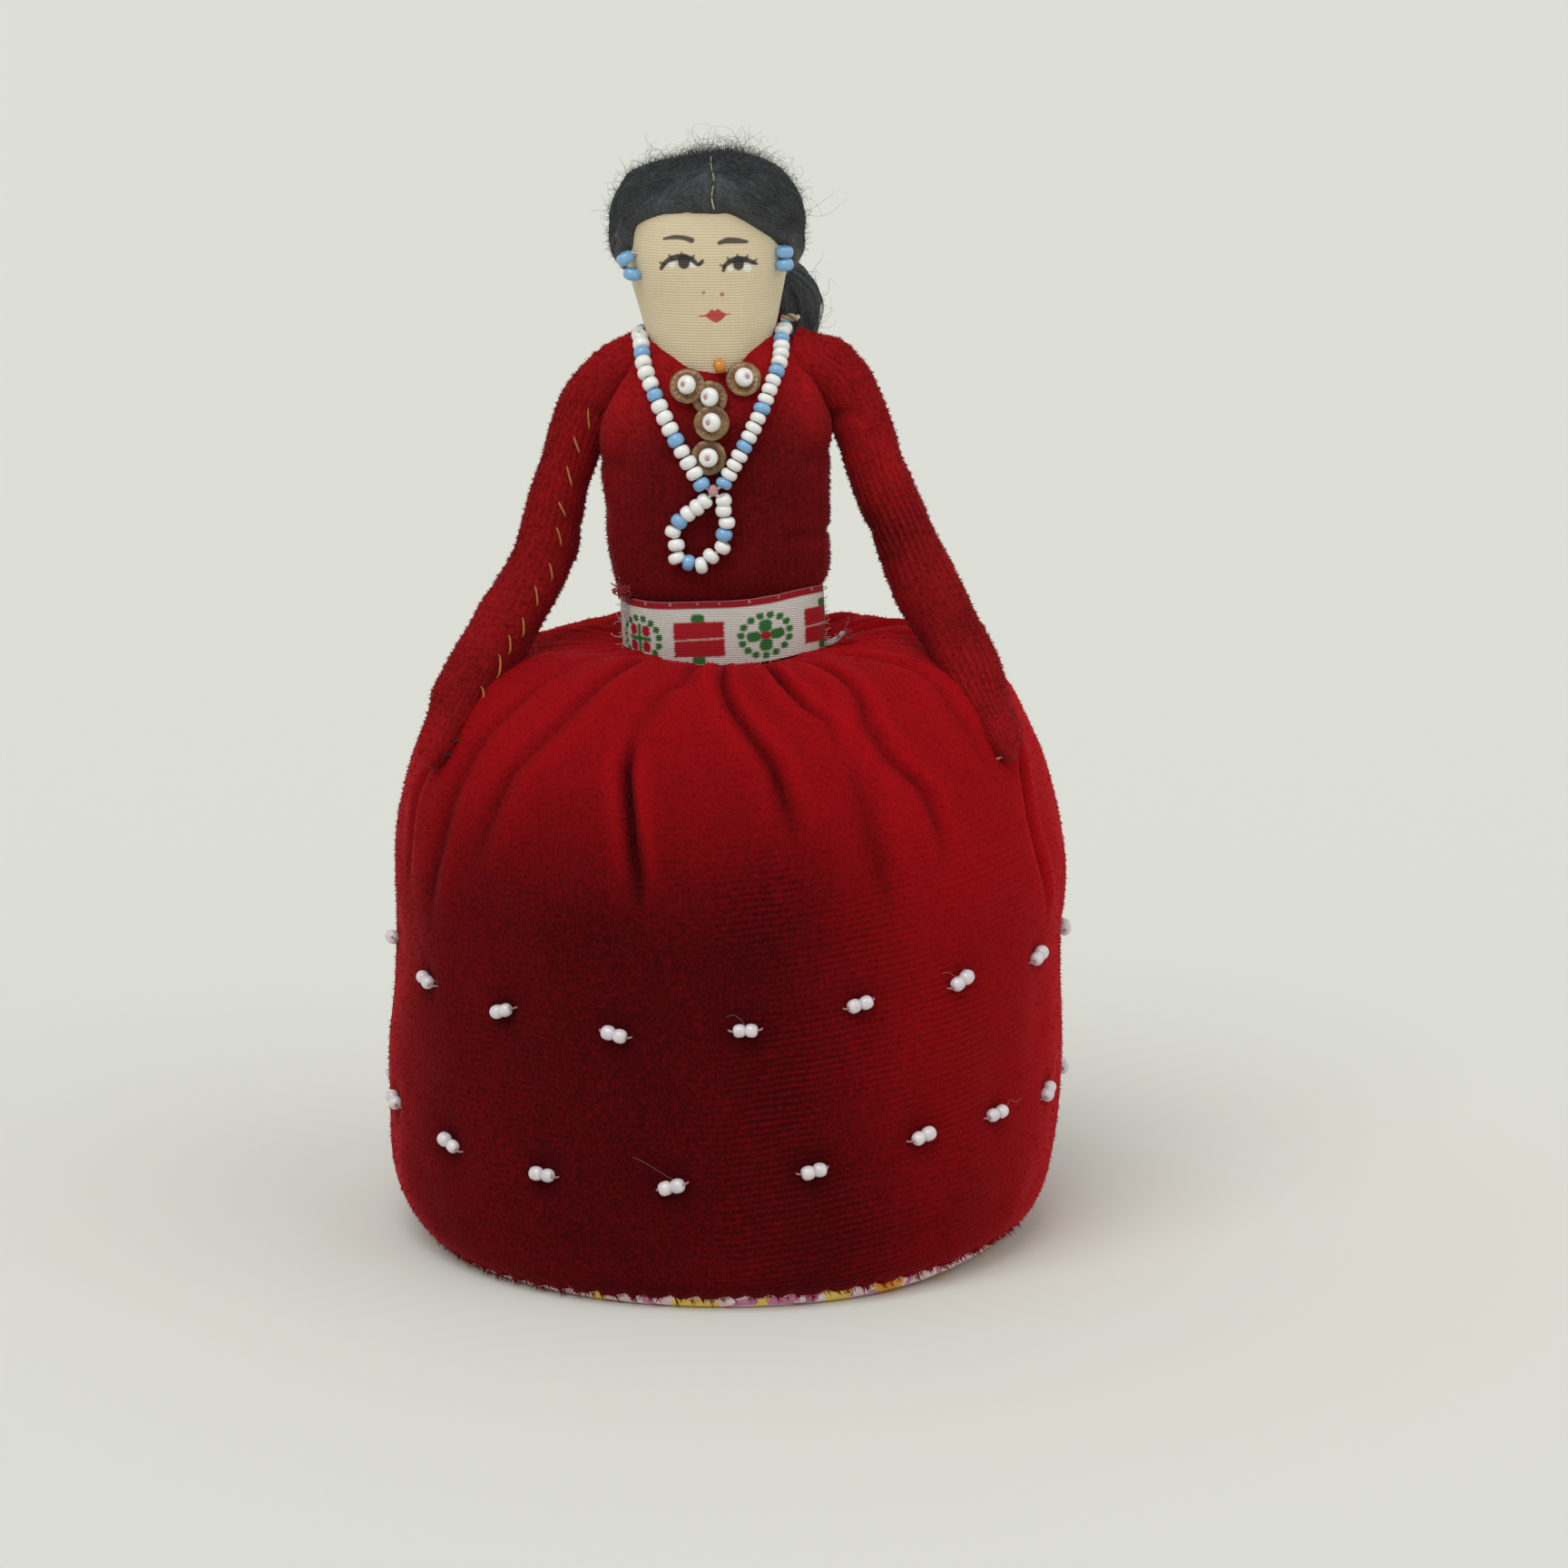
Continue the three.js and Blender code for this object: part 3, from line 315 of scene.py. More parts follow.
def on_surface(grid: Array, values: Array, count: int, rng: Rng) -> tuple[Array, Array, Array]:
    """Random places on a grid of points, spread evenly by area.

    Args:
        grid: Rows and columns of points; the columns go round.
        values: A number for each point of the grid.
        count: How many places.
        rng: Chooses the places.

    Returns:
        The places, the directions that the surface faces there, and the numbers there.
    """
    round_grid = np.concatenate([grid, grid[:, :1]], axis=1)
    across = round_grid[:-1, 1:] - round_grid[:-1, :-1]
    up = round_grid[1:, :-1] - round_grid[:-1, :-1]
    normal = np.cross(across, up).reshape(-1, 3)
    area = np.linalg.norm(normal, axis=1)
    cells = rng.choice(len(area), size=count, p=area / area.sum())
    share = rng.uniform(size=(2, count, 1))
    corner = round_grid[:-1, :-1].reshape(-1, 3)[cells]
    places = corner + across.reshape(-1, 3)[cells] * share[0] + up.reshape(-1, 3)[cells] * share[1]
    return places, unit(normal[cells]), values[:-1].reshape(-1)[cells]


def spikes(places: Array, directions: Array, lengths: Array, width: float) -> Mesh:
    """Short tapered fibres that stand on a surface, each a closed three-sided spike.

    Args:
        places: Where each fibre stands.
        directions: Where each one points.
        lengths: How long each one is.
        width: Radius of every foot.

    Returns:
        The mesh of all the fibres.
    """
    count = len(places)
    reference = np.where(np.abs(directions[:, 2:]) < 0.9, [[0.0, 0.0, 1.0]], [[1.0, 0.0, 0.0]])
    side = unit(np.cross(directions, reference))
    other = np.cross(directions, side)
    foot = places - directions * width
    corners = [
        foot + width * (side * math.cos(angle) + other * math.sin(angle))
        for angle in (0, 2 * math.pi / 3, 4 * math.pi / 3)
    ]
    tip = places + directions * lengths[:, None]
    points = np.stack([*corners, tip], axis=1).reshape(-1, 3)
    shape = np.array([[0, 1, 3], [1, 2, 3], [2, 0, 3], [2, 1, 0]])
    return points, [(np.arange(count)[:, None, None] * 4 + shape).reshape(-1, 3)]


class Draft:
    """A mesh that is gathered part by part and then made into one piece of the doll."""

    def __init__(self) -> None:
        """Starts with nothing."""
        self.points: list[Array] = []
        self.faces: list[Array] = []
        self.values: dict[str, list[Array]] = {}
        self.count = 0

    def add(self, mesh: Mesh, **values: Array) -> "Draft":
        """Adds a closed mesh.

        Args:
            mesh: Its points and faces.
            values: A number or a colour with alpha for each of its points, by name.

        Returns:
            The draft itself.
        """
        points, faces = mesh
        self.points.append(points)
        self.faces += [face + self.count for face in faces]
        self.count += len(points)
        for name, value in values.items():
            self.values.setdefault(name, []).append(value)
        return self

    def facing_out(self, points: Array) -> list[Array]:
        """The faces, turned if they enclose the inside of the mesh the wrong way round.

        Args:
            points: All the points of the mesh.

        Returns:
            The faces to use.
        """
        volume = 0.0
        for face in self.faces:
            a = points[face[:, 0]]
            for i in range(1, face.shape[1] - 1):
                volume += np.einsum("ij,ij->", a, np.cross(points[face[:, i]], points[face[:, i + 1]]))
        return self.faces if volume >= 0 else [face[:, ::-1] for face in self.faces]

    def piece(self, name: str, finish: "Finish", body: str, *nodes: str) -> bpy.types.Object:
        """Makes the piece, dresses it and lets it ride on a body.

        Args:
            name: The piece's name.
            finish: What its surface is.
            body: The body that it moves with.
            nodes: The solids that it stands for.

        Returns:
            The new object.
        """
        points = np.concatenate(self.points)
        faces = self.facing_out(points)
        mesh = bpy.data.meshes.new(name)
        mesh.vertices.add(len(points))
        mesh.vertices.foreach_set("co", (points * MM).astype(np.float32).ravel())
        sizes = np.concatenate([np.full(len(face), face.shape[1]) for face in faces])
        corners = np.concatenate([face.ravel() for face in faces]).astype(np.int32)
        mesh.loops.add(len(corners))
        mesh.polygons.add(len(sizes))
        mesh.polygons.foreach_set("loop_start", np.concatenate([[0], np.cumsum(sizes)[:-1]]).astype(np.int32))
        mesh.polygons.foreach_set("vertices", corners)
        mesh.polygons.foreach_set("use_smooth", np.ones(len(sizes), bool))
        mesh.update(calc_edges=True)
        for key, parts in self.values.items():
            value = np.concatenate(parts).astype(np.float32)
            kind, held = ("FLOAT", "value") if value.ndim == 1 else ("FLOAT_COLOR", "color")
            mesh.attributes.new(key, kind, "POINT").data.foreach_set(held, value.ravel())
        mesh.validate()
        made = bpy.data.objects.new(name, mesh)
        bpy.context.scene.collection.objects.link(made)
        mesh.materials.append(finish.material())
        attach(made, body)
        if nodes:
            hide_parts(*nodes)
        log.info("%s: %d faces on %s", name, len(sizes), body)
        return made


def thread_piece(
    name: str,
    paths: list[Array],
    radii: Array | float,
    sides: int,
    finish: "Finish",
    body: str,
    *nodes: str,
) -> None:
    """Makes one piece of round strands along paths of the same number of points."""
    Draft().add(strands(np.array(paths), radii, sides)).piece(name, finish, body, *nodes)


# Shader nodes


class Bench:
    """Short ways to place and join the nodes of one tree."""

    def __init__(self, tree: NodeTree) -> None:
        """Works on a tree."""
        self.tree = tree

    def set(self, socket: Socket, value: object) -> None:
        """Links a socket to a socket, or gives it a plain value.

        Args:
            socket: The socket to fill.
            value: A socket, a number or a colour.
        """
        if isinstance(value, Socket):
            self.tree.links.new(value, socket)
        elif isinstance(value, tuple) and len(value) == 3 and socket.type == "RGBA":
            socket.default_value = (*value, 1.0)
        else:
            socket.default_value = value

    def node(self, kind: str, inputs: dict[str, object] | None = None, **settings: object) -> Node:
        """A node with some of its inputs and settings given.

        Args:
            kind: The node's type.
            inputs: Values or sockets for its inputs, by name.
            settings: Its settings, by name.

        Returns:
            The node.
        """
        made = self.tree.nodes.new(kind)
        for key, value in settings.items():
            setattr(made, key, value)
        for key, value in (inputs or {}).items():
            self.set(made.inputs[key], value)
        return made

    def math(self, operation: str, *values: object) -> Socket:
        """The result of a sum on numbers or sockets.

        Args:
            operation: The kind of sum.
            values: Numbers or sockets.

        Returns:
            The result's socket.
        """
        made = self.node("ShaderNodeMath", operation=operation)
        for socket, value in zip(made.inputs, values):
            self.set(socket, value)
        return made.outputs[0]

    def mix(self, factor: object, first: object, second: object, how: str = "MIX") -> Socket:
        """A mixture of two colours.

        Args:
            factor: Share of the second colour.
            first: The first colour.
            second: The second colour.
            how: The way of mixing.

        Returns:
            The mixture's socket.
        """
        made = self.node("ShaderNodeMix", data_type="RGBA", blend_type=how)
        colours = [socket for socket in made.inputs if socket.type == "RGBA"]
        self.set(made.inputs["Factor"], factor)
        self.set(colours[0], first)
        self.set(colours[1], second)
        return next(socket for socket in made.outputs if socket.type == "RGBA")

    def shaded(self, colour: Socket, shade: Socket) -> Socket:
        """A colour made darker or lighter by a number."""
        grey = self.node("ShaderNodeCombineColor", {"Red": shade, "Green": shade, "Blue": shade})
        return self.mix(1.0, colour, grey.outputs["Color"], "MULTIPLY")

    def noise(self, scale: float, detail: float = 2.0, vector: object = None) -> Socket:
        """Noise with a number of grains to the metre.

        Args:
            scale: Grains to the metre.
            detail: How many finer layers there are.
            vector: Where to look it up, if not at the place on the doll.

        Returns:
            The noise's socket.
        """
        made = self.node("ShaderNodeTexNoise", {"Scale": scale, "Detail": detail})
        self.set(made.inputs["Vector"], vector or self.place())
        return made.outputs["Fac"]

    def place(self) -> Socket:
        """Where a point lies on the doll at rest."""
        return self.node("ShaderNodeTexCoord").outputs["Object"]

    def attribute(self, name: str) -> Node:
        """A value that the mesh holds."""
        return self.node("ShaderNodeAttribute", attribute_name=name)

    def stretched(self, scale: Triple) -> Socket:
        """The place with its axes scaled."""
        return self.node("ShaderNodeMapping", {"Vector": self.place(), "Scale": scale}).outputs["Vector"]

    def level(
        self, value: object, low: float, high: float, to_low: float = 0.0, to_high: float = 1.0
    ) -> Socket:
        """A value moved from one range to another and kept in it.

        Args:
            value: The value to move.
            low: Start of the range that it comes from.
            high: End of that range.
            to_low: Start of the range that it goes to.
            to_high: End of that range.

        Returns:
            The result's socket.
        """
        names = ("Value", "From Min", "From Max", "To Min", "To Max")
        made = self.node("ShaderNodeMapRange", dict(zip(names, (value, low, high, to_low, to_high))))
        return made.outputs["Result"]

    def stops(self, factor: object, stops: Sequence[tuple[float, Colour]], sharp: bool = False) -> Socket:
        """A colour from a row of coloured stops.

        Args:
            factor: Where to look on the row.
            stops: Place and colour of each stop.
            sharp: Whether the colours change at once.

        Returns:
            The colour's socket.
        """
        made = self.node("ShaderNodeValToRGB", {"Fac": factor})
        ramp = made.color_ramp
        ramp.interpolation = "CONSTANT" if sharp else "LINEAR"
        while len(ramp.elements) < len(stops):
            ramp.elements.new(1.0)
        for element, (place, colour) in zip(ramp.elements, stops):
            element.position = place
            element.color = (*colour, 1.0)
        return made.outputs["Color"]


GroupMaker = Callable[[Bench, Node], dict[str, Socket]]


def shared_group(
    name: str, inputs: dict[str, object], outputs: dict[str, str], make: GroupMaker
) -> NodeTree:
    """A node group, built once.

    Args:
        name: The group's name.
        inputs: Default value of each input, a number or a colour.
        outputs: Kind of each output, as a socket type.
        make: Builds the inside from the bench and the input node, and returns the outputs' sockets.

    Returns:
        The group's tree.
    """
    found = bpy.data.node_groups.get(name)
    if found:
        return found
    tree = bpy.data.node_groups.new(name, "ShaderNodeTree")
    for key, value in inputs.items():
        kind = "NodeSocketColor" if isinstance(value, tuple) else "NodeSocketFloat"
        socket = tree.interface.new_socket(key, in_out="INPUT", socket_type=kind)
        socket.default_value = (*value, 1.0) if isinstance(value, tuple) else value
    for key, kind in outputs.items():
        tree.interface.new_socket(key, in_out="OUTPUT", socket_type=kind)
    bench = Bench(tree)
    given = bench.node("NodeGroupInput")
    result = bench.node("NodeGroupOutput")
    for key, socket in make(bench, given).items():
        bench.set(result.inputs[key], socket)
    return tree


TONE_AND_HEIGHT = {"Tone": "NodeSocketFloat", "Height": "NodeSocketFloat"}


def pile_group() -> NodeTree:
    """Cut pile with fine woven rows; Nap is how bright the pile is painted, for the lie of its nap and for
    painted light and shade.

    Returns:
        The group's tree.
    """

    def make(bench: Bench, given: Node) -> dict[str, Socket]:
        """Builds the pile's colour and height.

        Args:
            bench: Bench of the group's tree.
            given: The group's input node.

        Returns:
            The outputs' sockets.
        """
        wander = bench.math("MULTIPLY", bench.noise(140, 3), given.outputs["Wander"])
        row = bench.math("ADD", given.outputs["Row"], wander)
        wave = bench.math("SINE", bench.math("MULTIPLY", row, 2 * math.pi))
        patch = bench.level(bench.noise(55, 3), 0.35, 0.7)
        row_share = bench.math("MULTIPLY", bench.math("MULTIPLY", wave, patch), given.outputs["Row Depth"])
        grain = bench.math("SUBTRACT", bench.noise(2000, 2), 0.5)
        brushed = bench.math("SUBTRACT", bench.noise(75, 4), 0.5)
        # Nap carries painted light and shade: it chooses between the deep and the bright colour.
        bright = bench.math("MULTIPLY_ADD", brushed, given.outputs["Brushed"], given.outputs["Nap"])
        bright = bench.math("MULTIPLY_ADD", grain, 0.62, bright)
        bright = bench.math("MULTIPLY_ADD", row_share, 0.16, bright)
        colour = bench.mix(bench.level(bright, 0, 1), given.outputs["Deep"], given.outputs["Bright"])
        height = bench.math("MULTIPLY_ADD", row_share, 0.35, bench.math("MULTIPLY", grain, 0.9))
        return {"Colour": colour, "Height": height}

    inputs = {
        "Row": 0.0,
        "Row Depth": 1.0,
        "Wander": 0.9,
        "Nap": 0.4,
        "Brushed": 0.18,
        "Deep": (0.07, 0.0, 0.003),
        "Bright": (0.3, 0.0, 0.01),
    }
    return shared_group("pile", inputs, {"Colour": "NodeSocketColor", "Height": "NodeSocketFloat"}, make)


def weave_group() -> NodeTree:
    """Plain weave of crossing threads; Pitch is the threads to the metre.

    Returns:
        The group's tree.
    """

    def make(bench: Bench, given: Node) -> dict[str, Socket]:
        """Builds the crossing rows of threads.

        Args:
            bench: Bench of the group's tree.
            given: The group's input node.

        Returns:
            The outputs' sockets.
        """
        place = bench.node("ShaderNodeSeparateXYZ", {"Vector": bench.place()})
        drift = bench.math("MULTIPLY", bench.math("SUBTRACT", bench.noise(420, 2), 0.5), 0.00012)
        rows = []
        for axis, share in (("X", 0.35), ("Z", 1.0)):
            shifted = bench.math("ADD", place.outputs[axis], drift)
            threads = bench.math("MULTIPLY", shifted, given.outputs["Pitch"])
            turn = bench.math("MULTIPLY", threads, 2 * math.pi)
            rows.append(bench.math("MULTIPLY", bench.math("SINE", turn), share))
        uneven = bench.noise(1.0, 2, bench.stretched((260.0, 260.0, 2600.0)))
        height = bench.math("ADD", rows[0], rows[1])
        tone = bench.math("ADD", bench.math("MULTIPLY", height, 0.25), bench.math("SUBTRACT", uneven, 0.5))
        return {"Tone": tone, "Height": height}

    return shared_group("plain_weave", {"Pitch": 2600.0}, TONE_AND_HEIGHT, make)


def fibre_group() -> NodeTree:
    """Uneven fibres of wool, thread and yarn; Grain is the grains to the metre.

    Returns:
        The group's tree.
    """

    def make(bench: Bench, given: Node) -> dict[str, Socket]:
        """Builds the fine and the broad unevenness.

        Args:
            bench: Bench of the group's tree.
            given: The group's input node.

        Returns:
            The outputs' sockets.
        """
        fine = bench.noise(given.outputs["Grain"], 4)
        broad = bench.noise(bench.math("MULTIPLY", given.outputs["Grain"], 0.12), 2)
        tone = bench.math("ADD", bench.math("MULTIPLY", fine, 0.65), bench.math("MULTIPLY", broad, 0.35))
        return {"Tone": tone, "Height": fine}

    return shared_group("fibres", {"Grain": 3000.0}, TONE_AND_HEIGHT, make)


def mottle_group() -> NodeTree:
    """Small unevenness of glass and glaze.

    Returns:
        The group's tree.
    """

    def make(bench: Bench, given: Node) -> dict[str, Socket]:
        """Builds soft spots."""
        spots = bench.noise(given.outputs["Grain"], 3)
        return {"Tone": spots, "Height": bench.noise(bench.math("MULTIPLY", given.outputs["Grain"], 2.0), 1)}

    return shared_group("mottle", {"Grain": 900.0}, TONE_AND_HEIGHT, make)


# Finishes

made_materials: dict["Finish", bpy.types.Material] = {}


@dataclass(frozen=True)
class Finish:
    """What a surface is made of; its material is made once and shared."""

    slot: str

    def material(self) -> bpy.types.Material:
        """The material of this finish.

        Returns:
            The material, the same one each time.
        """
        if self not in made_materials:
            made = bpy.data.materials.new(self.slot)
            made.use_nodes = True
            self.dress(Bench(made.node_tree), made.node_tree.nodes["Principled BSDF"])
            made_materials[self] = made
        return made_materials[self]

    def dress(self, bench: Bench, shader: Node) -> None:
        """Sets the shader's sockets; each kind of finish has its own."""
        raise NotImplementedError

    def set_plain(self, shader: Node, **values: object) -> None:
        """Gives sockets of the shader plain values, by their names with underscores.

        Args:
            shader: The shader.
            values: The sockets' values.
        """
        for key, value in values.items():
            socket = shader.inputs[key.replace("_", " ")]
            socket.default_value = (*value, 1.0) if isinstance(value, tuple) else value

    def tone(self, bench: Bench, shader: Node, share: Socket, dark: Colour, pale: Colour) -> None:
        """Gives the surface a colour between a dark and a pale one."""
        bench.set(shader.inputs["Base Color"], bench.mix(share, dark, pale))

    def roughen(self, bench: Bench, shader: Node, height: Socket, depth: float, strength: float) -> None:
        """Gives the surface a relief of a depth in metres."""
        relief = bench.node("ShaderNodeBump", {"Height": height, "Distance": depth, "Strength": strength})
        bench.set(shader.inputs["Normal"], relief.outputs["Normal"])

    def group(self, bench: Bench, tree: NodeTree, **inputs: object) -> Node:
        """A shared group, placed with its own values.

        Args:
            bench: Bench of the material's tree.
            tree: The group's tree.
            inputs: Values or sockets for its inputs.

        Returns:
            The group's node.
        """
        made = bench.node("ShaderNodeGroup", node_tree=tree)
        for key, value in inputs.items():
            bench.set(made.inputs[key.replace("_", " ")], value)
        return made


@dataclass(frozen=True)
class Velvet(Finish):
    """Cut pile whose colour between deep and bright follows the mesh's nap with its painted light and shade,
    with a red sheen that brightens it at grazing angles.
    """

    slot: str = "velvet"
    deep: Colour = (0.046, 0.0012, 0.0022)
    bright: Colour = (0.37, 0.0036, 0.0066)
    row_depth: float = 0.75
    ribbed: bool = False
    tint: Colour = (1.0, 0.045, 0.07)

    def dress(self, bench: Bench, shader: Node) -> None:
        """Pile with rows, painted light and shade from the mesh, and a red sheen.

        Args:
            bench: Bench of the material's tree.
            shader: Its main shader.
        """
        depth = bench.attribute("rib").outputs["Fac"] if self.ribbed else self.row_depth
        # The mesh's painted light and shade sets the pile's colour.
        pile = self.group(
            bench,
            pile_group(),
            Row=bench.attribute("row").outputs["Fac"],
            Nap=bench.attribute("nap").outputs["Fac"],
            Row_Depth=depth,
            Deep=self.deep,
            Bright=self.bright,
        )
        bench.set(shader.inputs["Base Color"], pile.outputs["Colour"])
        self.set_plain(shader, Roughness=0.9, Specular_IOR_Level=0.05)
        self.set_plain(shader, Sheen_Weight=0.5, Sheen_Roughness=0.32, Sheen_Tint=self.tint)
        self.roughen(bench, shader, pile.outputs["Height"], 0.00016, 0.7)


@dataclass(frozen=True)
class Cotton(Finish):
    """Plain-woven cotton, with ink where the mesh says so."""

    slot: str = "head_cotton"
    pale: Colour = (0.82, 0.70, 0.485)
    dark: Colour = (0.57, 0.465, 0.295)

    def dress(self, bench: Bench, shader: Node) -> None:
        """Weave under drawn ink.

        Args:
            bench: Bench of the material's tree.
            shader: Its main shader.
        """
        weave = self.group(bench, weave_group(), Pitch=2700.0)
        share = bench.level(weave.outputs["Tone"], -1.8, 1.3)
        cloth = bench.mix(share, self.dark, self.pale)
        ink = bench.attribute("ink")
        taken = bench.level(weave.outputs["Tone"], -0.8, 0.1, 0.86, 1.0)
        cover = bench.math("MULTIPLY", ink.outputs["Alpha"], taken)
        bench.set(shader.inputs["Base Color"], bench.mix(cover, cloth, ink.outputs["Color"]))
        self.set_plain(shader, Roughness=0.88, Specular_IOR_Level=0.2, Sheen_Weight=0.12, Sheen_Roughness=0.5)
        self.roughen(bench, shader, weave.outputs["Height"], 0.00005, 0.5)


@dataclass(frozen=True)
class PrintedCotton(Finish):
    """Cotton with a printed pattern of swirls."""

    slot: str = "base_print"

    def dress(self, bench: Bench, shader: Node) -> None:
        """Thin winding lines on pink and white, with patches of yellow and orange.

        Args:
            bench: Bench of the material's tree.
            shader: Its main shader.
        """
        weave = self.group(bench, weave_group(), Pitch=2400.0)
        bands = bench.node(
            "ShaderNodeTexWave",
            {"Vector": bench.place(), "Scale": 120.0, "Distortion": 7.0, "Detail": 1.0, "Detail Scale": 1.1},
            wave_type="RINGS",
        )
        colours = ((0.0, (0.86, 0.62, 0.66)), (0.35, (0.89, 0.78, 0.76)), (0.88, (0.68, 0.24, 0.4)))
        printed = bench.stops(bands.outputs["Fac"], colours, sharp=True)
        for grain, level, colour in ((140.0, 0.56, (0.9, 0.66, 0.16)), (115.0, 0.59, (0.86, 0.38, 0.06))):
            patch = bench.level(bench.noise(grain, 1), level, level + 0.01)
            printed = bench.mix(patch, printed, colour)
        shade = bench.level(weave.outputs["Tone"], -0.7, 0.7, 0.82, 1.05)
        bench.set(shader.inputs["Base Color"], bench.shaded(printed, shade))
        self.set_plain(shader, Roughness=0.85, Specular_IOR_Level=0.2)
        self.roughen(bench, shader, weave.outputs["Height"], 0.00005, 0.5)


@dataclass(frozen=True)
class Ribbon(Finish):
    """Woven satin ribbon, whose figures are in the mesh's colours."""

    slot: str = "ribbon"

    def dress(self, bench: Bench, shader: Node) -> None:
        """Slanted satin floats over the woven figures.

        Args:
            bench: Bench of the material's tree.
            shader: Its main shader.
        """
        slant = bench.stretched((5200.0, 5200.0, 8200.0))
        weave = bench.noise(1.0, 1, slant)
        rows = self.group(bench, weave_group(), Pitch=3600.0)
        design = bench.attribute("design").outputs["Color"]
        shade = bench.level(weave, 0.3, 0.7, 0.86, 1.04)
        bench.set(shader.inputs["Base Color"], bench.shaded(design, shade))
        bench.set(shader.inputs["Roughness"], bench.level(weave, 0.3, 0.7, 0.5, 0.66))
        self.set_plain(shader, Specular_IOR_Level=0.2)
        self.roughen(bench, shader, rows.outputs["Height"], 0.00004, 0.6)


@dataclass(frozen=True)
class Fibre(Finish):
    """Wool, thread or yarn."""

    slot: str = "wool"
    dark: Colour = (0.015, 0.0156, 0.0176)
    pale: Colour = (0.084, 0.087, 0.094)
    grain: float = 3200.0
    roughness: float = 0.75
    sheen: float = 0.12

    def dress(self, bench: Bench, shader: Node) -> None:
        """Uneven fibres.

        Args:
            bench: Bench of the material's tree.
            shader: Its main shader.
        """
        fibres = self.group(bench, fibre_group(), Grain=self.grain)
        share = bench.level(fibres.outputs["Tone"], 0.3, 0.7)
        self.tone(bench, shader, share, self.dark, self.pale)
        self.set_plain(shader, Roughness=self.roughness, Specular_IOR_Level=0.25)
        self.set_plain(shader, Sheen_Weight=self.sheen, Sheen_Roughness=0.5)
        self.roughen(bench, shader, fibres.outputs["Height"], 0.00012, 0.5)


@dataclass(frozen=True)
class Glass(Finish):
    """Glossy bead of opaque glass, or a pearl."""

    slot: str = "white_bead"
    colour: Colour = (0.87, 0.87, 0.85)
    shade: Colour = (0.79, 0.79, 0.78)
    roughness: float = 0.16
    coat: float = 0.35

    def dress(self, bench: Bench, shader: Node) -> None:
        """Soft spots under a clear skin.

        Args:
            bench: Bench of the material's tree.
            shader: Its main shader.
        """
        mottle = self.group(bench, mottle_group(), Grain=700.0)
        share = bench.level(mottle.outputs["Tone"], 0.3, 0.7)
        self.tone(bench, shader, share, self.shade, self.colour)
        rough = bench.level(mottle.outputs["Tone"], 0.3, 0.7, self.roughness * 1.4, self.roughness * 0.8)
        bench.set(shader.inputs["Roughness"], rough)
        self.set_plain(shader, Coat_Weight=self.coat, Coat_Roughness=0.06)
        self.roughen(bench, shader, mottle.outputs["Height"], 0.00003, 0.3)


@dataclass(frozen=True)
class Sequin(Finish):
    """Thin translucent brown plastic; part of its gilt glint is a painted glint of pale gold patches in its
    colour.
    """

    slot: str = "sequin"
    dark: Colour = (0.32, 0.14, 0.045)
    pale: Colour = (0.78, 0.52, 0.19)

    def dress(self, bench: Bench, shader: Node) -> None:
        """Cloudy brown with pale gold patches, partly a painted glint, under a smooth skin.

        Args:
            bench: Bench of the material's tree.
            shader: Its main shader.
        """
        mottle = self.group(bench, mottle_group(), Grain=620.0)
        # Pale gold patches: partly the plastic's own colour, partly a painted glint.
        share = bench.level(mottle.outputs["Tone"], 0.38, 0.7)
        self.tone(bench, shader, share, self.dark, self.pale)
        bench.set(shader.inputs["Roughness"], bench.level(mottle.outputs["Height"], 0.3, 0.7, 0.16, 0.34))
        self.set_plain(shader, Coat_Weight=0.2, Coat_Roughness=0.1, Transmission_Weight=0.62)


@dataclass(frozen=True)
class Card(Finish):
    """Grey-brown board inside the bottom."""

    slot: str = "card"

    def dress(self, bench: Bench, shader: Node) -> None:
        """Pressed pulp.

        Args:
            bench: Bench of the material's tree.
            shader: Its main shader.
        """
        fibres = self.group(bench, fibre_group(), Grain=900.0)
        share = bench.level(fibres.outputs["Tone"], 0.3, 0.7)
        self.tone(bench, shader, share, (0.33, 0.24, 0.14), (0.5, 0.39, 0.25))
        self.set_plain(shader, Roughness=0.9)
        self.roughen(bench, shader, fibres.outputs["Height"], 0.00008, 0.4)


VELVET = Velvet(ribbed=True)
BODY_VELVET = Velvet(deep=(0.046, 0.0028, 0.0036), bright=(0.37, 0.0085, 0.011), tint=(1.0, 0.12, 0.14))
SLEEVE_VELVET = replace(BODY_VELVET, row_depth=1.4)
PLAIN_VELVET = replace(BODY_VELVET, row_depth=0.2)
BODY_PILE = replace(BODY_VELVET, row_depth=0.0)
VELVET_PILE = Velvet(row_depth=0.0)
COTTON = Cotton()
PRINT = PrintedCotton()
RIBBON = Ribbon()
WOOL = Fibre()
# The bun's wool: the hair's wool painted lighter, as painted light against the shade that falls on the bun
# behind the neck.
HANK_PAINTED_LIGHTER = Fibre("wool", (0.02, 0.021, 0.024), (0.13, 0.134, 0.142))
RED_THREAD = Fibre("red_thread", (0.24, 0.004, 0.012), (0.42, 0.012, 0.03), 5200.0)
HEM_THREAD = Fibre("red_thread", (0.6, 0.36, 0.38), (0.8, 0.62, 0.6), 5200.0)
ORANGE_THREAD = Fibre("orange_thread", (0.3, 0.085, 0.016), (0.54, 0.2, 0.045), 5200.0, 0.7)
DARK_THREAD = Fibre("dark_thread", (0.008, 0.006, 0.007), (0.03, 0.022, 0.024), 5200.0)
PALE_YARN = Fibre("pale_yarn", (0.3, 0.31, 0.18), (0.54, 0.55, 0.36), 4200.0)
CREAM_YARN = Fibre("pale_yarn", (0.6, 0.48, 0.32), (0.86, 0.75, 0.55), 4200.0)
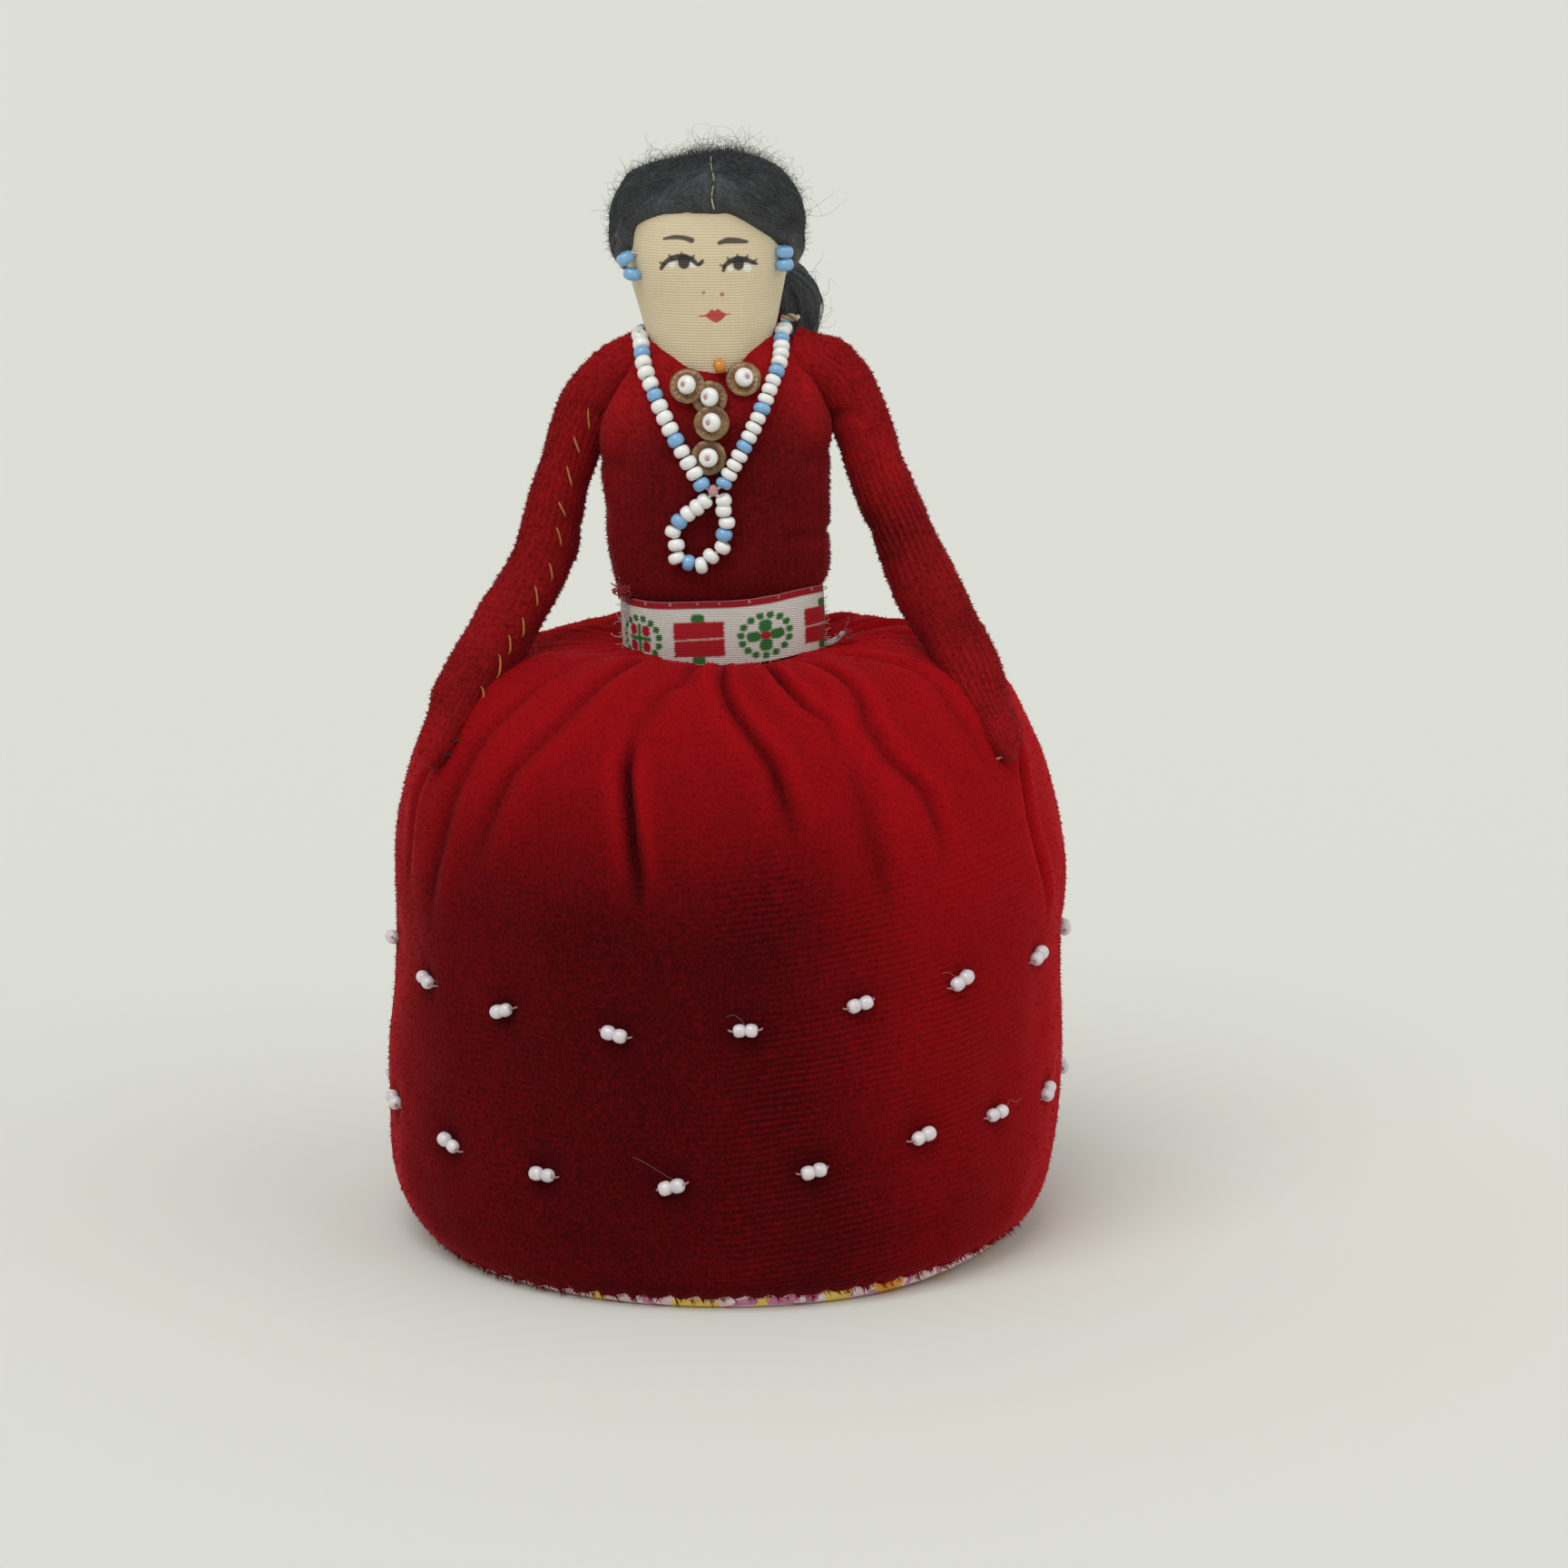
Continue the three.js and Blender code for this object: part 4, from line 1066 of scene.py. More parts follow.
STRING = Fibre("pale_yarn", (0.55, 0.5, 0.45), (0.75, 0.7, 0.64), 5200.0)
PINK_THREAD = Fibre("red_thread", (0.42, 0.2, 0.2), (0.66, 0.4, 0.38), 5200.0)
PEARL_THREAD = Fibre("red_thread", (0.3, 0.12, 0.13), (0.5, 0.26, 0.27), 5200.0)
FRAY = Fibre("ribbon", (0.42, 0.38, 0.34), (0.68, 0.64, 0.6), 4200.0)
TUFT = Fibre("red_thread", (0.18, 0.005, 0.012), (0.4, 0.03, 0.045), 4200.0)
WHITE_BEAD = Glass()
BLUE_BEAD = Glass("blue_bead", (0.22, 0.45, 0.72), (0.17, 0.38, 0.64))
ORANGE_BEAD = Glass("orange_bead", (0.68, 0.25, 0.012), (0.54, 0.15, 0.007))
PEARL = Glass("pearl", (0.74, 0.69, 0.71), (0.58, 0.53, 0.57), 0.2, 0.6)
SEQUIN = Sequin()
CARD = Card()


# Parts of the doll


@dataclass(frozen=True)
class Fold:
    """A sewn-in fold of the skirt: degrees from straight ahead at heights, from the waist down."""

    route: tuple[Pair, ...]
    depth: float
    width: float
    sharp: float = 0.3

    def relief(self, degrees: Array, radius: Array, height: Array) -> Array:
        """How far the fold moves the velvet outward there.

        Args:
            degrees: Angle of a point from straight ahead.
            radius: Its distance from the skirt's axis.
            height: Its height.

        Returns:
            The move for each point, inward in the crease and outward beside it.
        """
        angles, heights = np.array(self.route[::-1]).T
        line = np.interp(height, heights, angles)
        away = signed(degrees - line)
        distance = np.radians(away) * radius
        width = self.width * np.clip(radius / 40, 0.4, 1)
        reach = smoothstep(heights[0] - 5, heights[0] + 6, height)
        reach = reach * smoothstep(heights[-1] + 4, heights[-1] - 3, height)
        reach = reach * (0.25 + 0.75 * smoothstep(15, 25, radius))
        crease = -bump(distance, width) - self.sharp * bump(distance, 0.4 * width)
        beside = 0.6 * bump(distance - 1.9 * width, 1.25 * width)
        beside = beside + 0.45 * bump(distance + 2.1 * width, 1.5 * width)
        return self.depth * reach * (crease + beside)


@dataclass
class Skirt:
    """The gathered cushion skirt with its hem, its bottom and its rows of pearls."""

    half_width: float = 46.5
    half_depth: float = 43.5
    top: float = 82.6
    side_low: float = 12.0
    side_high: float = 41.0
    hem_inset: float = 5.5
    hem_height: float = 1.25
    front_room: float = 3.2
    crown: float = 22.5
    crown_fullness: float = 0.75
    crown_flatness: float = 0.65
    waist_x: float = 12.6
    waist_y: float = 8.9
    waist_height: float = 80.2
    columns: int = 780
    rows: int = 236
    row_pitch: float = 0.9
    pearl_radius: float = 0.95
    upper_pearls: tuple[Triple, ...] = (
        (-86.0, 41.6, 6.0),
        (-60.2, 40.1, -14.0),
        (-39.5, 38.5, 18.0),
        (-17.6, 38.0, -10.0),
        (3.7, 38.7, 3.0),
        (22.8, 41.3, 14.0),
        (42.1, 42.6, 24.0),
        (64.0, 42.8, 16.0),
        (87.0, 42.6, 4.0),
    )
    lower_pearls: tuple[Triple, ...] = (
        (-75.0, 20.5, -18.0),
        (-52.3, 18.8, -26.0),
        (-31.1, 17.3, -4.0),
        (-8.5, 17.6, 16.0),
        (14.6, 19.1, 8.0),
        (34.1, 22.4, 14.0),
        (51.5, 23.0, 8.0),
        (71.6, 22.3, 20.0),
        (92.0, 22.0, 4.0),
    )
    pairs: int = 17
    stitches: int = 74
    pile_fibres: int = 48000
    fray_fibres: int = 4200

    def outline(self, count: int) -> Array:
        """Radius and height of the half section from the hem to the waist, evenly spaced.

        Args:
            count: How many points it has.

        Returns:
            Radius and height of each point.
        """
        side = self.half_width
        hem = (side - self.hem_inset, self.hem_height)
        low = bezier([hem, (side, self.hem_height + 3), (side, self.side_low)])
        rise = self.top - self.side_high
        flat = self.crown + (side - self.crown) * self.crown_flatness
        full = self.side_high + rise * self.crown_fullness
        high = bezier([(side, self.side_high), (side, full), (flat, self.top), (self.crown, self.top)])
        inner = self.waist_x + (self.crown - self.waist_x) * self.crown_flatness
        lip = bezier([(self.crown, self.top), (inner, self.top), (self.waist_x, self.waist_height)])
        return resample(np.vstack([low, high, lip]), count)

    def folds(self) -> list[Fold]:
        """The folds: those of the front listed one by one, and like ones round the sides and the back.

        Returns:
            All the folds.
        """
        front = [
            Fold(((-18.2, 73.5), (-17.9, 71.4), (-16.0, 66.1), (-13.8, 57.5)), 0.95, 1.0, 0.8),
            Fold(((-10.0, 86), (-10.3, 82), (-15.0, 80.6), (-18.0, 76)), 0.32, 1.7),
            Fold(
                ((-1.0, 86), (-0.1, 82), (3.4, 78.6), (7.3, 74.7), (9.4, 72.1), (11.8, 65.5)),
                depth=0.66,
                width=1.25,
                sharp=0.6,
            ),
            Fold(((14.5, 86), (15.6, 82), (16.4, 81.3), (18.5, 79.2), (22.0, 77.4)), 0.85, 1.2, 0.5),
            Fold(
                ((33.0, 86), (31.7, 80.2), (30.4, 76.9), (32.5, 72.3), (38.0, 67.9), (40.3, 60.5)),
                depth=0.55,
                width=1.4,
                sharp=0.4,
            ),
            Fold(((57.0, 86), (56.4, 81.4), (53.1, 77.0), (54.4, 71.2)), 0.36, 1.7),
            Fold(((71.3, 72.8), (66.9, 67.2), (65.8, 61.4), (66.3, 56.7), (68.1, 49.9)), 0.6, 1.1, 0.5),
            Fold(((-29.0, 86), (-32.0, 79.6), (-37.0, 73.9), (-41.2, 70.0), (-45.6, 60.0)), 0.42, 1.7),
            Fold(((-48.0, 80), (-53.6, 71.5), (-55.8, 63.9), (-56.8, 57.7), (-58.3, 50.0)), 0.4, 1.6),
            Fold(((-67.0, 70), (-69.6, 64.8), (-69.4, 60.3), (-68.0, 54.0)), 0.35, 1.4),
            Fold(((24.5, 70), (26.1, 62.2), (28.5, 54.0)), 0.4, 2.0),
        ]
        rng = np.random.default_rng(21)
        for degrees in np.arange(92, 272, 15):
            start = degrees + rng.uniform(-4, 4)
            end = start + rng.uniform(-7, 7)
            low = rng.uniform(48, 72)
            route = ((start, 86.0), ((start + end) / 2, (82 + low) / 2), (end, low))
            front.append(Fold(route, rng.uniform(0.4, 0.9), rng.uniform(1.5, 2.2)))
        return front

    def pearl_places(self) -> list[Triple]:
        """Angle, height and tilt of every pair of pearls.

        Returns:
            The places, the upper row first.
        """
        places = []
        rng = np.random.default_rng(4)
        for seen, level in ((self.upper_pearls, 40.4), (self.lower_pearls, 20.2)):
            places += seen
            hidden = np.linspace(seen[-1][0], 360 + seen[0][0], self.pairs - len(seen) + 2)[1:-1]
            places += [(float(a), level + rng.uniform(-0.8, 0.8), rng.uniform(-20, 20)) for a in hidden]
        return places

    def build(self) -> None:
        """Makes every piece of the skirt."""
        self.build_cover()
        self.build_hem()
        self.build_bottom()
        self.build_pearls()

    def build_cover(self) -> None:
        """The velvet cover, stuffed and gathered, and its standing pile."""
        line = self.outline(self.rows)
        along = unit(np.gradient(line, axis=0))
        angles = once_round(self.columns)
        sin, cos = np.sin(angles), np.cos(angles)
        degrees = np.degrees(angles)[None, :]
        radius, height = line[:, :1], line[:, 1:]
        creases = sum(fold.relief(degrees, radius, height) for fold in self.folds())
        gathers = np.sin(27 * angles + 2.2 * np.sin(5 * angles) + 1.3 * np.sin(9 * angles))[None, :]
        creases = creases + 0.12 * gathers * smoothstep(32, 19, radius) * smoothstep(72, 80, height)
        for place, level, _ in self.pearl_places():
            away = np.radians(signed(degrees - place)) * radius
            creases = creases - 0.45 * bump(np.hypot(away, height - level), 2.6)
        ratio = (self.half_depth - self.waist_y) / (self.half_width - self.waist_x)
        depth = self.waist_y + (radius - self.waist_x) * ratio
        flat = np.stack(np.broadcast_arrays(radius * sin, -depth * cos, height), axis=-1)
        edge = smoothstep(1.5, 9, height) * smoothstep(15, 19, radius)
        relief = creases + edge * (0.42 * lumps(flat, 17, 3) + 0.16 * lumps(flat, 6, 8))
        around = signed(degrees)
        relief = relief + self.sides(around, height)
        out_r, out_z = along[:, 1:], -along[:, :1]
        raised = 1.5 * smoothstep(20, 13, radius) * smoothstep(18, 55, np.abs(around))
        forward = self.front_room * smoothstep(9, 1.6, height) * np.clip(cos, 0, 1)
        grid = np.stack(
            np.broadcast_arrays(
                (radius + relief * out_r) * sin,
                -(depth + relief * out_r) * cos - forward,
                height + relief * out_z + raised + self.hem_lift(degrees, height),
            ),
            axis=-1,
        )
        self.grid = grid
        place = distances(line)[:, None] / self.row_pitch
        # Painted light and shade of the pile, held in the mesh and in its standing fibres.
        nap = self.nap(degrees, height, creases)
        under = grid[:1] * [0.97, 0.97, 1.0] - [0, 0, 0.15]
        inside = grid[-1:] * [0.8, 0.75, 1.0] - [0, 0, 1.5]
        skin = np.concatenate([under, grid, inside])
        slope = np.radians(np.clip(around, 0, 90) * smoothstep(175, 95, around)) * radius
        values = {"row": place - 0.11 * slope / self.row_pitch, "nap": nap, "rib": self.ribs(degrees, height)}
        for key, value in values.items():
            spread = np.broadcast_to(value, grid.shape[:2])
            values[key] = np.concatenate([spread[:1], spread, spread[-1:]]).ravel()
        draft = Draft().add(loft(skin), **values)
        cover = draft.piece("skirt_cover_velvet", VELVET, "doll", "skirt_cover", "skirt_filling")
        stand_pile("skirt_pile", VELVET_PILE, grid, nap, self.pile_fibres, (0.2, 0.55), 31)

    def sides(self, around: Array, height: Array) -> Array:
        """How the stuffing swells and sinks at the two sides."""
        left = bump(around - 88, 36) * (1.1 * bump(height - 54, 9) - 1.3 * bump(height - 9, 7))
        return left - 1.7 * bump(around + 88, 36) * bump(height - 43, 13)

    def stitch_angles(self) -> Array:
        """Angles of the stitches that hold the hem."""
        rng = np.random.default_rng(14)
        return np.linspace(0, 360, self.stitches, endpoint=False) + rng.normal(0, 0.7, self.stitches)

    def curled_up(self, degrees: Array) -> Array:
        """How far the bottom curls off the floor at the doll's left."""
        return bump(signed(degrees) - 58, 22)

    def hem_lift(self, degrees: Array, height: Array) -> Array:
        """How the hem rises at the left, hangs at the right and is drawn up at each stitch.

        Args:
            degrees: Angles from straight ahead.
            height: Heights above the floor.

        Returns:
            The move upward of each point.
        """
        low = self.curled_up(degrees) - 0.85 * bump(signed(degrees) + 46, 32)
        notches = sum(bump(signed(degrees - at), 0.8) for at in self.stitch_angles())
        return low * smoothstep(11, 1.6, height) + 0.5 * notches * smoothstep(4, 1.5, height)

    def nap(self, degrees: Array, height: Array, creases: Array) -> Array:
        """How bright the pile is painted, partly for the lie of its nap: painted light over the crown,
        painted sheen at the sides, painted shade low down in front.

        Args:
            degrees: Angles from straight ahead.
            height: Heights above the floor.
            creases: Relief of the folds; the pile is painted darker in the creases as painted shade and
                lighter on the ridges as painted light.

        Returns:
            A share from 0 to 1 for each point.
        """
        around = signed(degrees)
        # Painted shade low down in front, lighter toward the sides as painted sheen.
        low = 0.06 + 0.34 * smoothstep(10, 40, around) + 0.2 * smoothstep(36, 64, around)
        low = low + 0.42 * smoothstep(56, 82, around)
        low = low + 0.1 * smoothstep(-16, -50, around) + 0.26 * smoothstep(-50, -84, around)
        behind = smoothstep(95, 160, np.abs(around))
        low = low + (0.34 - low) * behind
        left = smoothstep(6, 24, around) * smoothstep(80, 45, around)
        low = low + left * (0.15 * bump(height - 50, 24) - 0.1 * smoothstep(24, 8, height))
        low = low + 0.1 * bump(height - 60, 9) * bump(around - 48, 16)
        # Painted light over the top of the crown.
        crown = smoothstep(47, 80, height) * (1 - 0.3 * smoothstep(20, 45, around) * (1 - behind))
        # Painted shade in the creases and painted light on the ridges.
        return np.clip(low + (0.6 - 0.55 * low) * crown + 0.42 * np.clip(creases, -1.4, 0.8), 0, 1)

    def ribs(self, degrees: Array, height: Array) -> Array:
        """How plainly the woven rows show: most on the left half, below the gathers, where the light grazes;
        the rows are real weave, and their colour contrast there is painted light and shade.

        Args:
            degrees: Angles from straight ahead.
            height: Heights above the floor.

        Returns:
            A share for each point.
        """
        around = signed(degrees)
        seen = smoothstep(-14, 16, around) * smoothstep(120, 80, around) * smoothstep(76, 60, height)
        # Row contrast painted strongest where the light grazes.
        return 0.25 + 0.6 * seen + 0.2 * smoothstep(95, 130, np.abs(around))

    def point(self, degrees: float, height: float) -> tuple[Array, Array]:
        """A place on the side of the skirt and the direction that it faces.

        Args:
            degrees: Angle from straight ahead.
            height: Height above the floor.

        Returns:
            The place and the direction.
        """
        column = degrees / 360 * self.columns
        near = int(round(column)) % self.columns
        line = self.grid[:, near]
        row = int(np.argmin(np.abs(line[: self.rows * 3 // 4, 2] - height)))
        across = self.grid[row, (near + 1) % self.columns] - self.grid[row, near - 1]
        up = self.grid[row + 1, near] - self.grid[row - 1, near]
        return line[row], unit(np.cross(across, up))

    def build_hem(self) -> None:
        """The cut velvet edge with its frayed pile, and the stitches that hold it."""
        rng = np.random.default_rng(9)
        count = self.fray_fibres
        picks = rng.integers(0, self.columns, count)
        edge = self.grid[rng.integers(0, 3, count), picks]
        outward = unit(edge * [1, 1, 0])
        lean = rng.normal(0, 0.35, (count, 3))
        aside = np.cross([0.0, 0.0, 1.0], outward) * 0.5
        directions = unit(outward * rng.uniform(0.1, 0.7, (count, 1)) + aside + [0, 0, -0.75] + lean)
        clump = 0.5 + 0.5 * np.sin(picks * 1.29 + 2 * np.sin(picks * 0.26))
        room = np.maximum(edge[:, 2] - 0.1, 0.1) / np.maximum(-directions[:, 2], 0.1)
        lengths = np.minimum(rng.uniform(0.4, 1.5, count) * clump, room)
        bright, rows = np.full(count * 4, 0.55), np.zeros(count * 4)
        fray = Draft().add(spikes(edge, directions, lengths, 0.13), nap=bright, row=rows)
        fray.piece("hem_fray", VELVET_PILE, "doll")
        paths = []
        for angle in self.stitch_angles():
            column = int(round(angle / 360 * self.columns))
            steps = ((0, 0), (1, 1), (2, 3))
            over = [self.grid[row, (column - back) % self.columns] for row, back in steps]
            outward = unit(over[0] * [1, 1, 0])
            foot = over[0] - outward * 0.25 - [0, 0, 0.4]
            ends = [foot, over[0] + outward * 0.1, over[1] + outward * 0.16, over[2] + outward * 0.1]
            ends.append(over[2] - outward * rng.uniform(0.2, 0.4))
            paths.append(smooth_path(ends, 9))
        radii = 0.12 * np.sin(np.linspace(0.5, 2.6, 9))
        thread_piece("hem_stitches", paths, radii, 6, HEM_THREAD, "doll", "hem_thread")

    def build_bottom(self) -> None:
        """The printed cotton bottom, turned up at its rim."""
        angles = once_round(240)
        rim = self.half_width - self.hem_inset
        section = [(0.5, 0.0), (rim - 2, 0.0), (rim - 0.3, 0.12), (rim + 0.35, 0.7)]
        section += [(rim + 0.5, 1.7), (rim, 2.6)]
        inner = [(rim - 0.6, 2.5), (rim - 0.9, 1.0), (rim - 3, 0.6), (0.5, 0.6)]
        line = np.vstack([smooth_path(section, 40), smooth_path(inner, 16)])
        ratio = (self.half_depth - self.hem_inset) / rim
        wave = 1 + 0.004 * np.sin(23 * angles + np.sin(7 * angles)) * smoothstep(0.6, 2.2, line[:, 1:])
        tucked = 0.035 * bump(np.degrees(angles) - 82, 26)
        radius = line[:, :1] * (wave - tucked)
        edge = smoothstep(rim - 9, rim - 1, radius)
        heights = np.maximum(line[:, 1:], 0) + edge * self.curled_up(np.degrees(angles))
        forward = edge * self.front_room * np.clip(np.cos(angles), 0, 1)
        x, y = radius * np.sin(angles), -radius * ratio * np.cos(angles) - forward
        rings = np.stack([x, y, heights], axis=-1)
        Draft().add(loft(rings)).piece("base_cotton", PRINT, "doll", "base_panel")

    def build_pearls(self) -> None:
        """Pairs of pearls, the bits of thread that hold them and a few loose fibres."""
        rng = np.random.default_rng(12)
        rows = {"upper": Draft(), "lower": Draft()}
        ties, wisps = [], []
        for place, level, tilt in self.pearl_places():
            skin, normal = self.point(place % 360, level)
            across = unit(np.cross([0, 0, 1], normal))
            up = np.cross(normal, across)
            turn = math.radians(tilt)
            line = across * math.cos(turn) + up * math.sin(turn)
            row = rows["upper" if level > 30 else "lower"]
            for sign in (-1, 1):
                size = self.pearl_radius * rng.uniform(0.93, 1.06)
                raised = rng.uniform(0.75, 1.15)
                centre = skin + normal * (size * raised) + line * sign * size * 0.86
                axis = unit(line + rng.normal(0, 0.1, 3))
                row.add(bead(centre, axis, size, size * 0.96, 0.12, 24))
            foot = skin - normal * 0.3
            ends = [foot - line * 2.3, skin - line * 1.9 + normal * 0.9, skin + normal * 1.1]
            ends += [skin + line * 1.9 + normal * 0.9, foot + line * 2.3]
            ties.append(smooth_path(ends, 13))
            if rng.uniform() < 0.5:
                sway = unit(line * rng.choice([-1, 1]) + up * rng.uniform(-0.3, 0.9))
                length = rng.uniform(3, 8)
                curve = [skin + normal * 0.4 + line * 1.6 + sway * length * s for s in np.linspace(0, 1, 5)]
                curve = [p + normal * rng.uniform(0.1, 0.9) + up * rng.normal(0, 0.5) for p in curve]
                wisps.append(smooth_path(curve, 13))
        for name, row in rows.items():
            row.piece(f"{name}_pearls", PEARL, "doll", f"{name}_pearl_row")
        thread = Draft().add(strands(np.array(ties), 0.14, 5)).add(strands(np.array(wisps), 0.022, 3))
        thread.piece("pearl_threads", PEARL_THREAD, "doll")


def stand_pile(
    name: str, finish: Velvet, grid: Array, nap: Array, count: int, lengths: Pair, seed: int
) -> None:
    """Short fibres of velvet all over a surface, in rows, lying a little downward.

    Args:
        name: The piece's name.
        finish: The velvet's finish.
        grid: Rows and columns of points of the surface.
        nap: How bright the pile is painted at each point, with its painted light and shade.
        count: How many fibres.
        lengths: Shortest and longest fibre.
        seed: Chooses the places.
    """
    rng = np.random.default_rng(seed)
    places, normals, bright = on_surface(grid, np.broadcast_to(nap, grid.shape[:2]), count, rng)
    centre = grid.reshape(-1, 3).mean(axis=0)
    if np.mean(np.einsum("ij,ij->i", places - centre, normals)) < 0:
        normals = -normals
    directions = unit(normals + [0, 0, -0.25] + rng.normal(0, 0.3, (count, 3)))
    rows = np.sin(places[:, 2] * 2 * math.pi / PILE_ROW + 0.9 * lumps(places, 6, seed))
    tall = rng.uniform(*lengths, count) * (0.72 + 0.28 * rows)
    # Each fibre takes the painted light and shade of the surface where it stands.
    shade = bright + 0.05 * rng.normal(size=count)
    shades = np.clip(np.stack([shade, shade, shade, shade + 0.1], axis=1), 0, 1)
    draft = Draft().add(spikes(places, directions, tall, 0.07), nap=shades.ravel(), row=np.zeros(count * 4))
    draft.piece(name, finish, "doll")


def bead(
    centre: Array, axis: Array, radius: float, half_length: float, hole: float, segments: int
) -> Mesh:
    """A rounded bead with a hole along its axis.

    Args:
        centre: Its middle.
        axis: The direction of its hole.
        radius: Its outer radius.
        half_length: Half its length along the hole.
        hole: The hole's radius.
        segments: Steps round it.

    Returns:
        The bead's mesh.
    """
    swing = np.linspace(-math.pi / 2, math.pi / 2, 11)
    across = hole + (radius - hole) * np.cos(swing) ** 0.72
    along = half_length * np.sign(swing) * np.abs(np.sin(swing)) ** 0.9
    reference = np.array([0.0, 0.0, 1.0]) if abs(axis[2]) < 0.9 else np.array([1.0, 0.0, 0.0])
    side = unit(np.cross(axis, reference))
    other = np.cross(axis, side)
    turn = once_round(segments)[:, None, None]
    rings = centre + across[:, None] * (side * np.cos(turn) + other * np.sin(turn)) + along[:, None] * axis
    return loft(rings, tube=True)


def facing(grid: Array, wraps: bool) -> Array:
    """The directions that a grid of points faces; its columns may go all the way round."""
    across = np.roll(grid, -1, 1) - np.roll(grid, 1, 1) if wraps else np.gradient(grid, axis=1)
    return unit(np.cross(across, np.gradient(grid, axis=0)))


def facing_away(grid: Array) -> Array:
    """The directions that a limb's grid faces, away from its middle line.

    Args:
        grid: Rows of points round the limb.

    Returns:
        A unit vector for each point.
    """
    outward = facing(grid, True)
    inward = np.einsum("ijk,ijk->", outward, grid - grid.mean(axis=1, keepdims=True)) < 0
    return -outward if inward else outward


def section_sizes(sections: tuple[Triple, ...], places: Array) -> tuple[Array, Array]:
    """Half width and half depth at places between sections."""
    width, depth, known = smooth_path(sections, 400).T
    return np.interp(places, known, width), np.interp(places, known, depth)


@dataclass(frozen=True)
class StuffedForm:
    """A stuffed form that swells and tapers between oval sections of half width, half depth and height."""

    sections: tuple[Triple, ...]
    roundness: float

    def size(self, height: Array) -> tuple[Array, Array]:
        """Half width and half depth at heights."""
        return section_sizes(self.sections, height)

    def front(self, left: Array, height: Array, lift: float = 0.0) -> Array:
        """Points of the front at places left of the middle and up, lifted off the surface.

        Args:
            left: Places left of the middle.
            height: Heights above the floor.
            lift: Distance off the surface.

        Returns:
            The points.
        """
        left, height = np.broadcast_arrays(np.asarray(left, float), np.asarray(height, float))
        width, depth = self.size(height)
        share = np.clip(np.abs(left) / (width + lift), 0, 1) ** self.roundness
        return np.stack([left, -(depth + lift) * (1 - share) ** (1 / self.roundness), height], axis=-1)

    def front_facing(self, left: float, height: float) -> Array:
        """The direction that the front faces there.

        Args:
            left: Place left of the middle.
            height: Height above the floor.

        Returns:
            A unit vector.
        """
        step = 0.2
        across = self.front(left + step, height) - self.front(left - step, height)
        up = self.front(left, height + step) - self.front(left, height - step)
        return unit(np.cross(across, up))

    def around(self, angle: Array, height: Array, lift: float = 0.0) -> Array:
        """Points round the form; the angle runs from the left to the back.

        Args:
            angle: Angles, in radians.
            height: Heights above the floor.
            lift: Distance off the surface.

        Returns:
            The points.
        """
        width, depth = self.size(height)
        x, y = oval(width + lift, depth + lift, angle, self.roundness)
        return np.stack(np.broadcast_arrays(x, y, height), axis=-1)

    def grid(self, angles: Array, heights: Array) -> Array:
        """Rows of points at heights, with columns at angles."""
        return self.around(np.asarray(angles)[None, :], np.asarray(heights)[:, None])

    def heights(self, low: float, high: float, count: int) -> Array:
        """Heights whose steps along the surface are even."""
        line = smooth_path(self.sections, 400)
        return resample(line[(line[:, 2] >= low) & (line[:, 2] <= high)], count)[:, 2]


TORSO = StuffedForm(
    (
        (12.7, 9.0, 76.2),
        (12.9, 9.1, 88.4),
        (14.3, 9.9, 91.0),
        (15.0, 10.25, 94.5),
        (15.15, 10.5, 101.0),
        (15.4, 10.7, 107.5),
        (15.5, 9.8, 113.0),
        (13.5, 8.2, 118.6),
        (10.5, 5.5, 124.2),
    ),
    2.5,
)
HEAD = StuffedForm(
    (
        (7.7, 7.3, 112.3),
        (7.7, 7.3, 120.5),
        (9.5, 8.3, 128.0),
        (10.9, 9.2, 136.5),
        (9.81, 8.28, 143.04),
        (6.1, 5.15, 146.5),
        (1.74, 1.47, 147.4),
    ),
    2.3,
)
FRONT_ANGLES = np.linspace(-math.pi, 0, 121)
BACK_ANGLES = np.linspace(0, math.pi, 121)


@dataclass(frozen=True)
class Limb:
    """A stuffed limb along a bent middle line, with sections of half width, half depth and place along it."""

    route: tuple[Triple, ...]
    sections: tuple[Triple, ...]

    def spine(self, places: Array) -> tuple[Array, Array, Array, Array]:
        """Middle, direction, side and back of the limb at places along it.

        Args:
            places: Shares of the limb's length.

        Returns:
            Points and unit vectors, one of each for a place.
        """
        line = smooth_path(self.route, 401)
        known = np.linspace(0, 1, 401)
        middle = between(line, known, places)
        along = unit(between(np.gradient(line, axis=0), known, places))
        side = unit(np.cross([0.0, 1.0, 0.0], along))
        return middle, along, side, np.cross(along, side)

    def size(self, places: Array) -> tuple[Array, Array]:
        """Half width and half depth at places along the limb."""
        return section_sizes(self.sections, places)

    def point(self, place: Array, angle: Array, lift: Array | float = 0.0) -> Array:
        """Surface points at places along the limb and angles round it; a quarter turn is its back.

        Args:
            place: Shares of the limb's length.
            angle: Angles, in radians.
            lift: Distance off the surface.

        Returns:
            The points.
        """
        place, angle, lift = np.broadcast_arrays(*(np.asarray(v, float) for v in (place, angle, lift)))
        middle, _, side, back = self.spine(place)
        width, depth = self.size(place)
        out = (width + lift)[..., None] * np.cos(angle)[..., None] * side
        return middle + out + (depth + lift)[..., None] * np.sin(angle)[..., None] * back


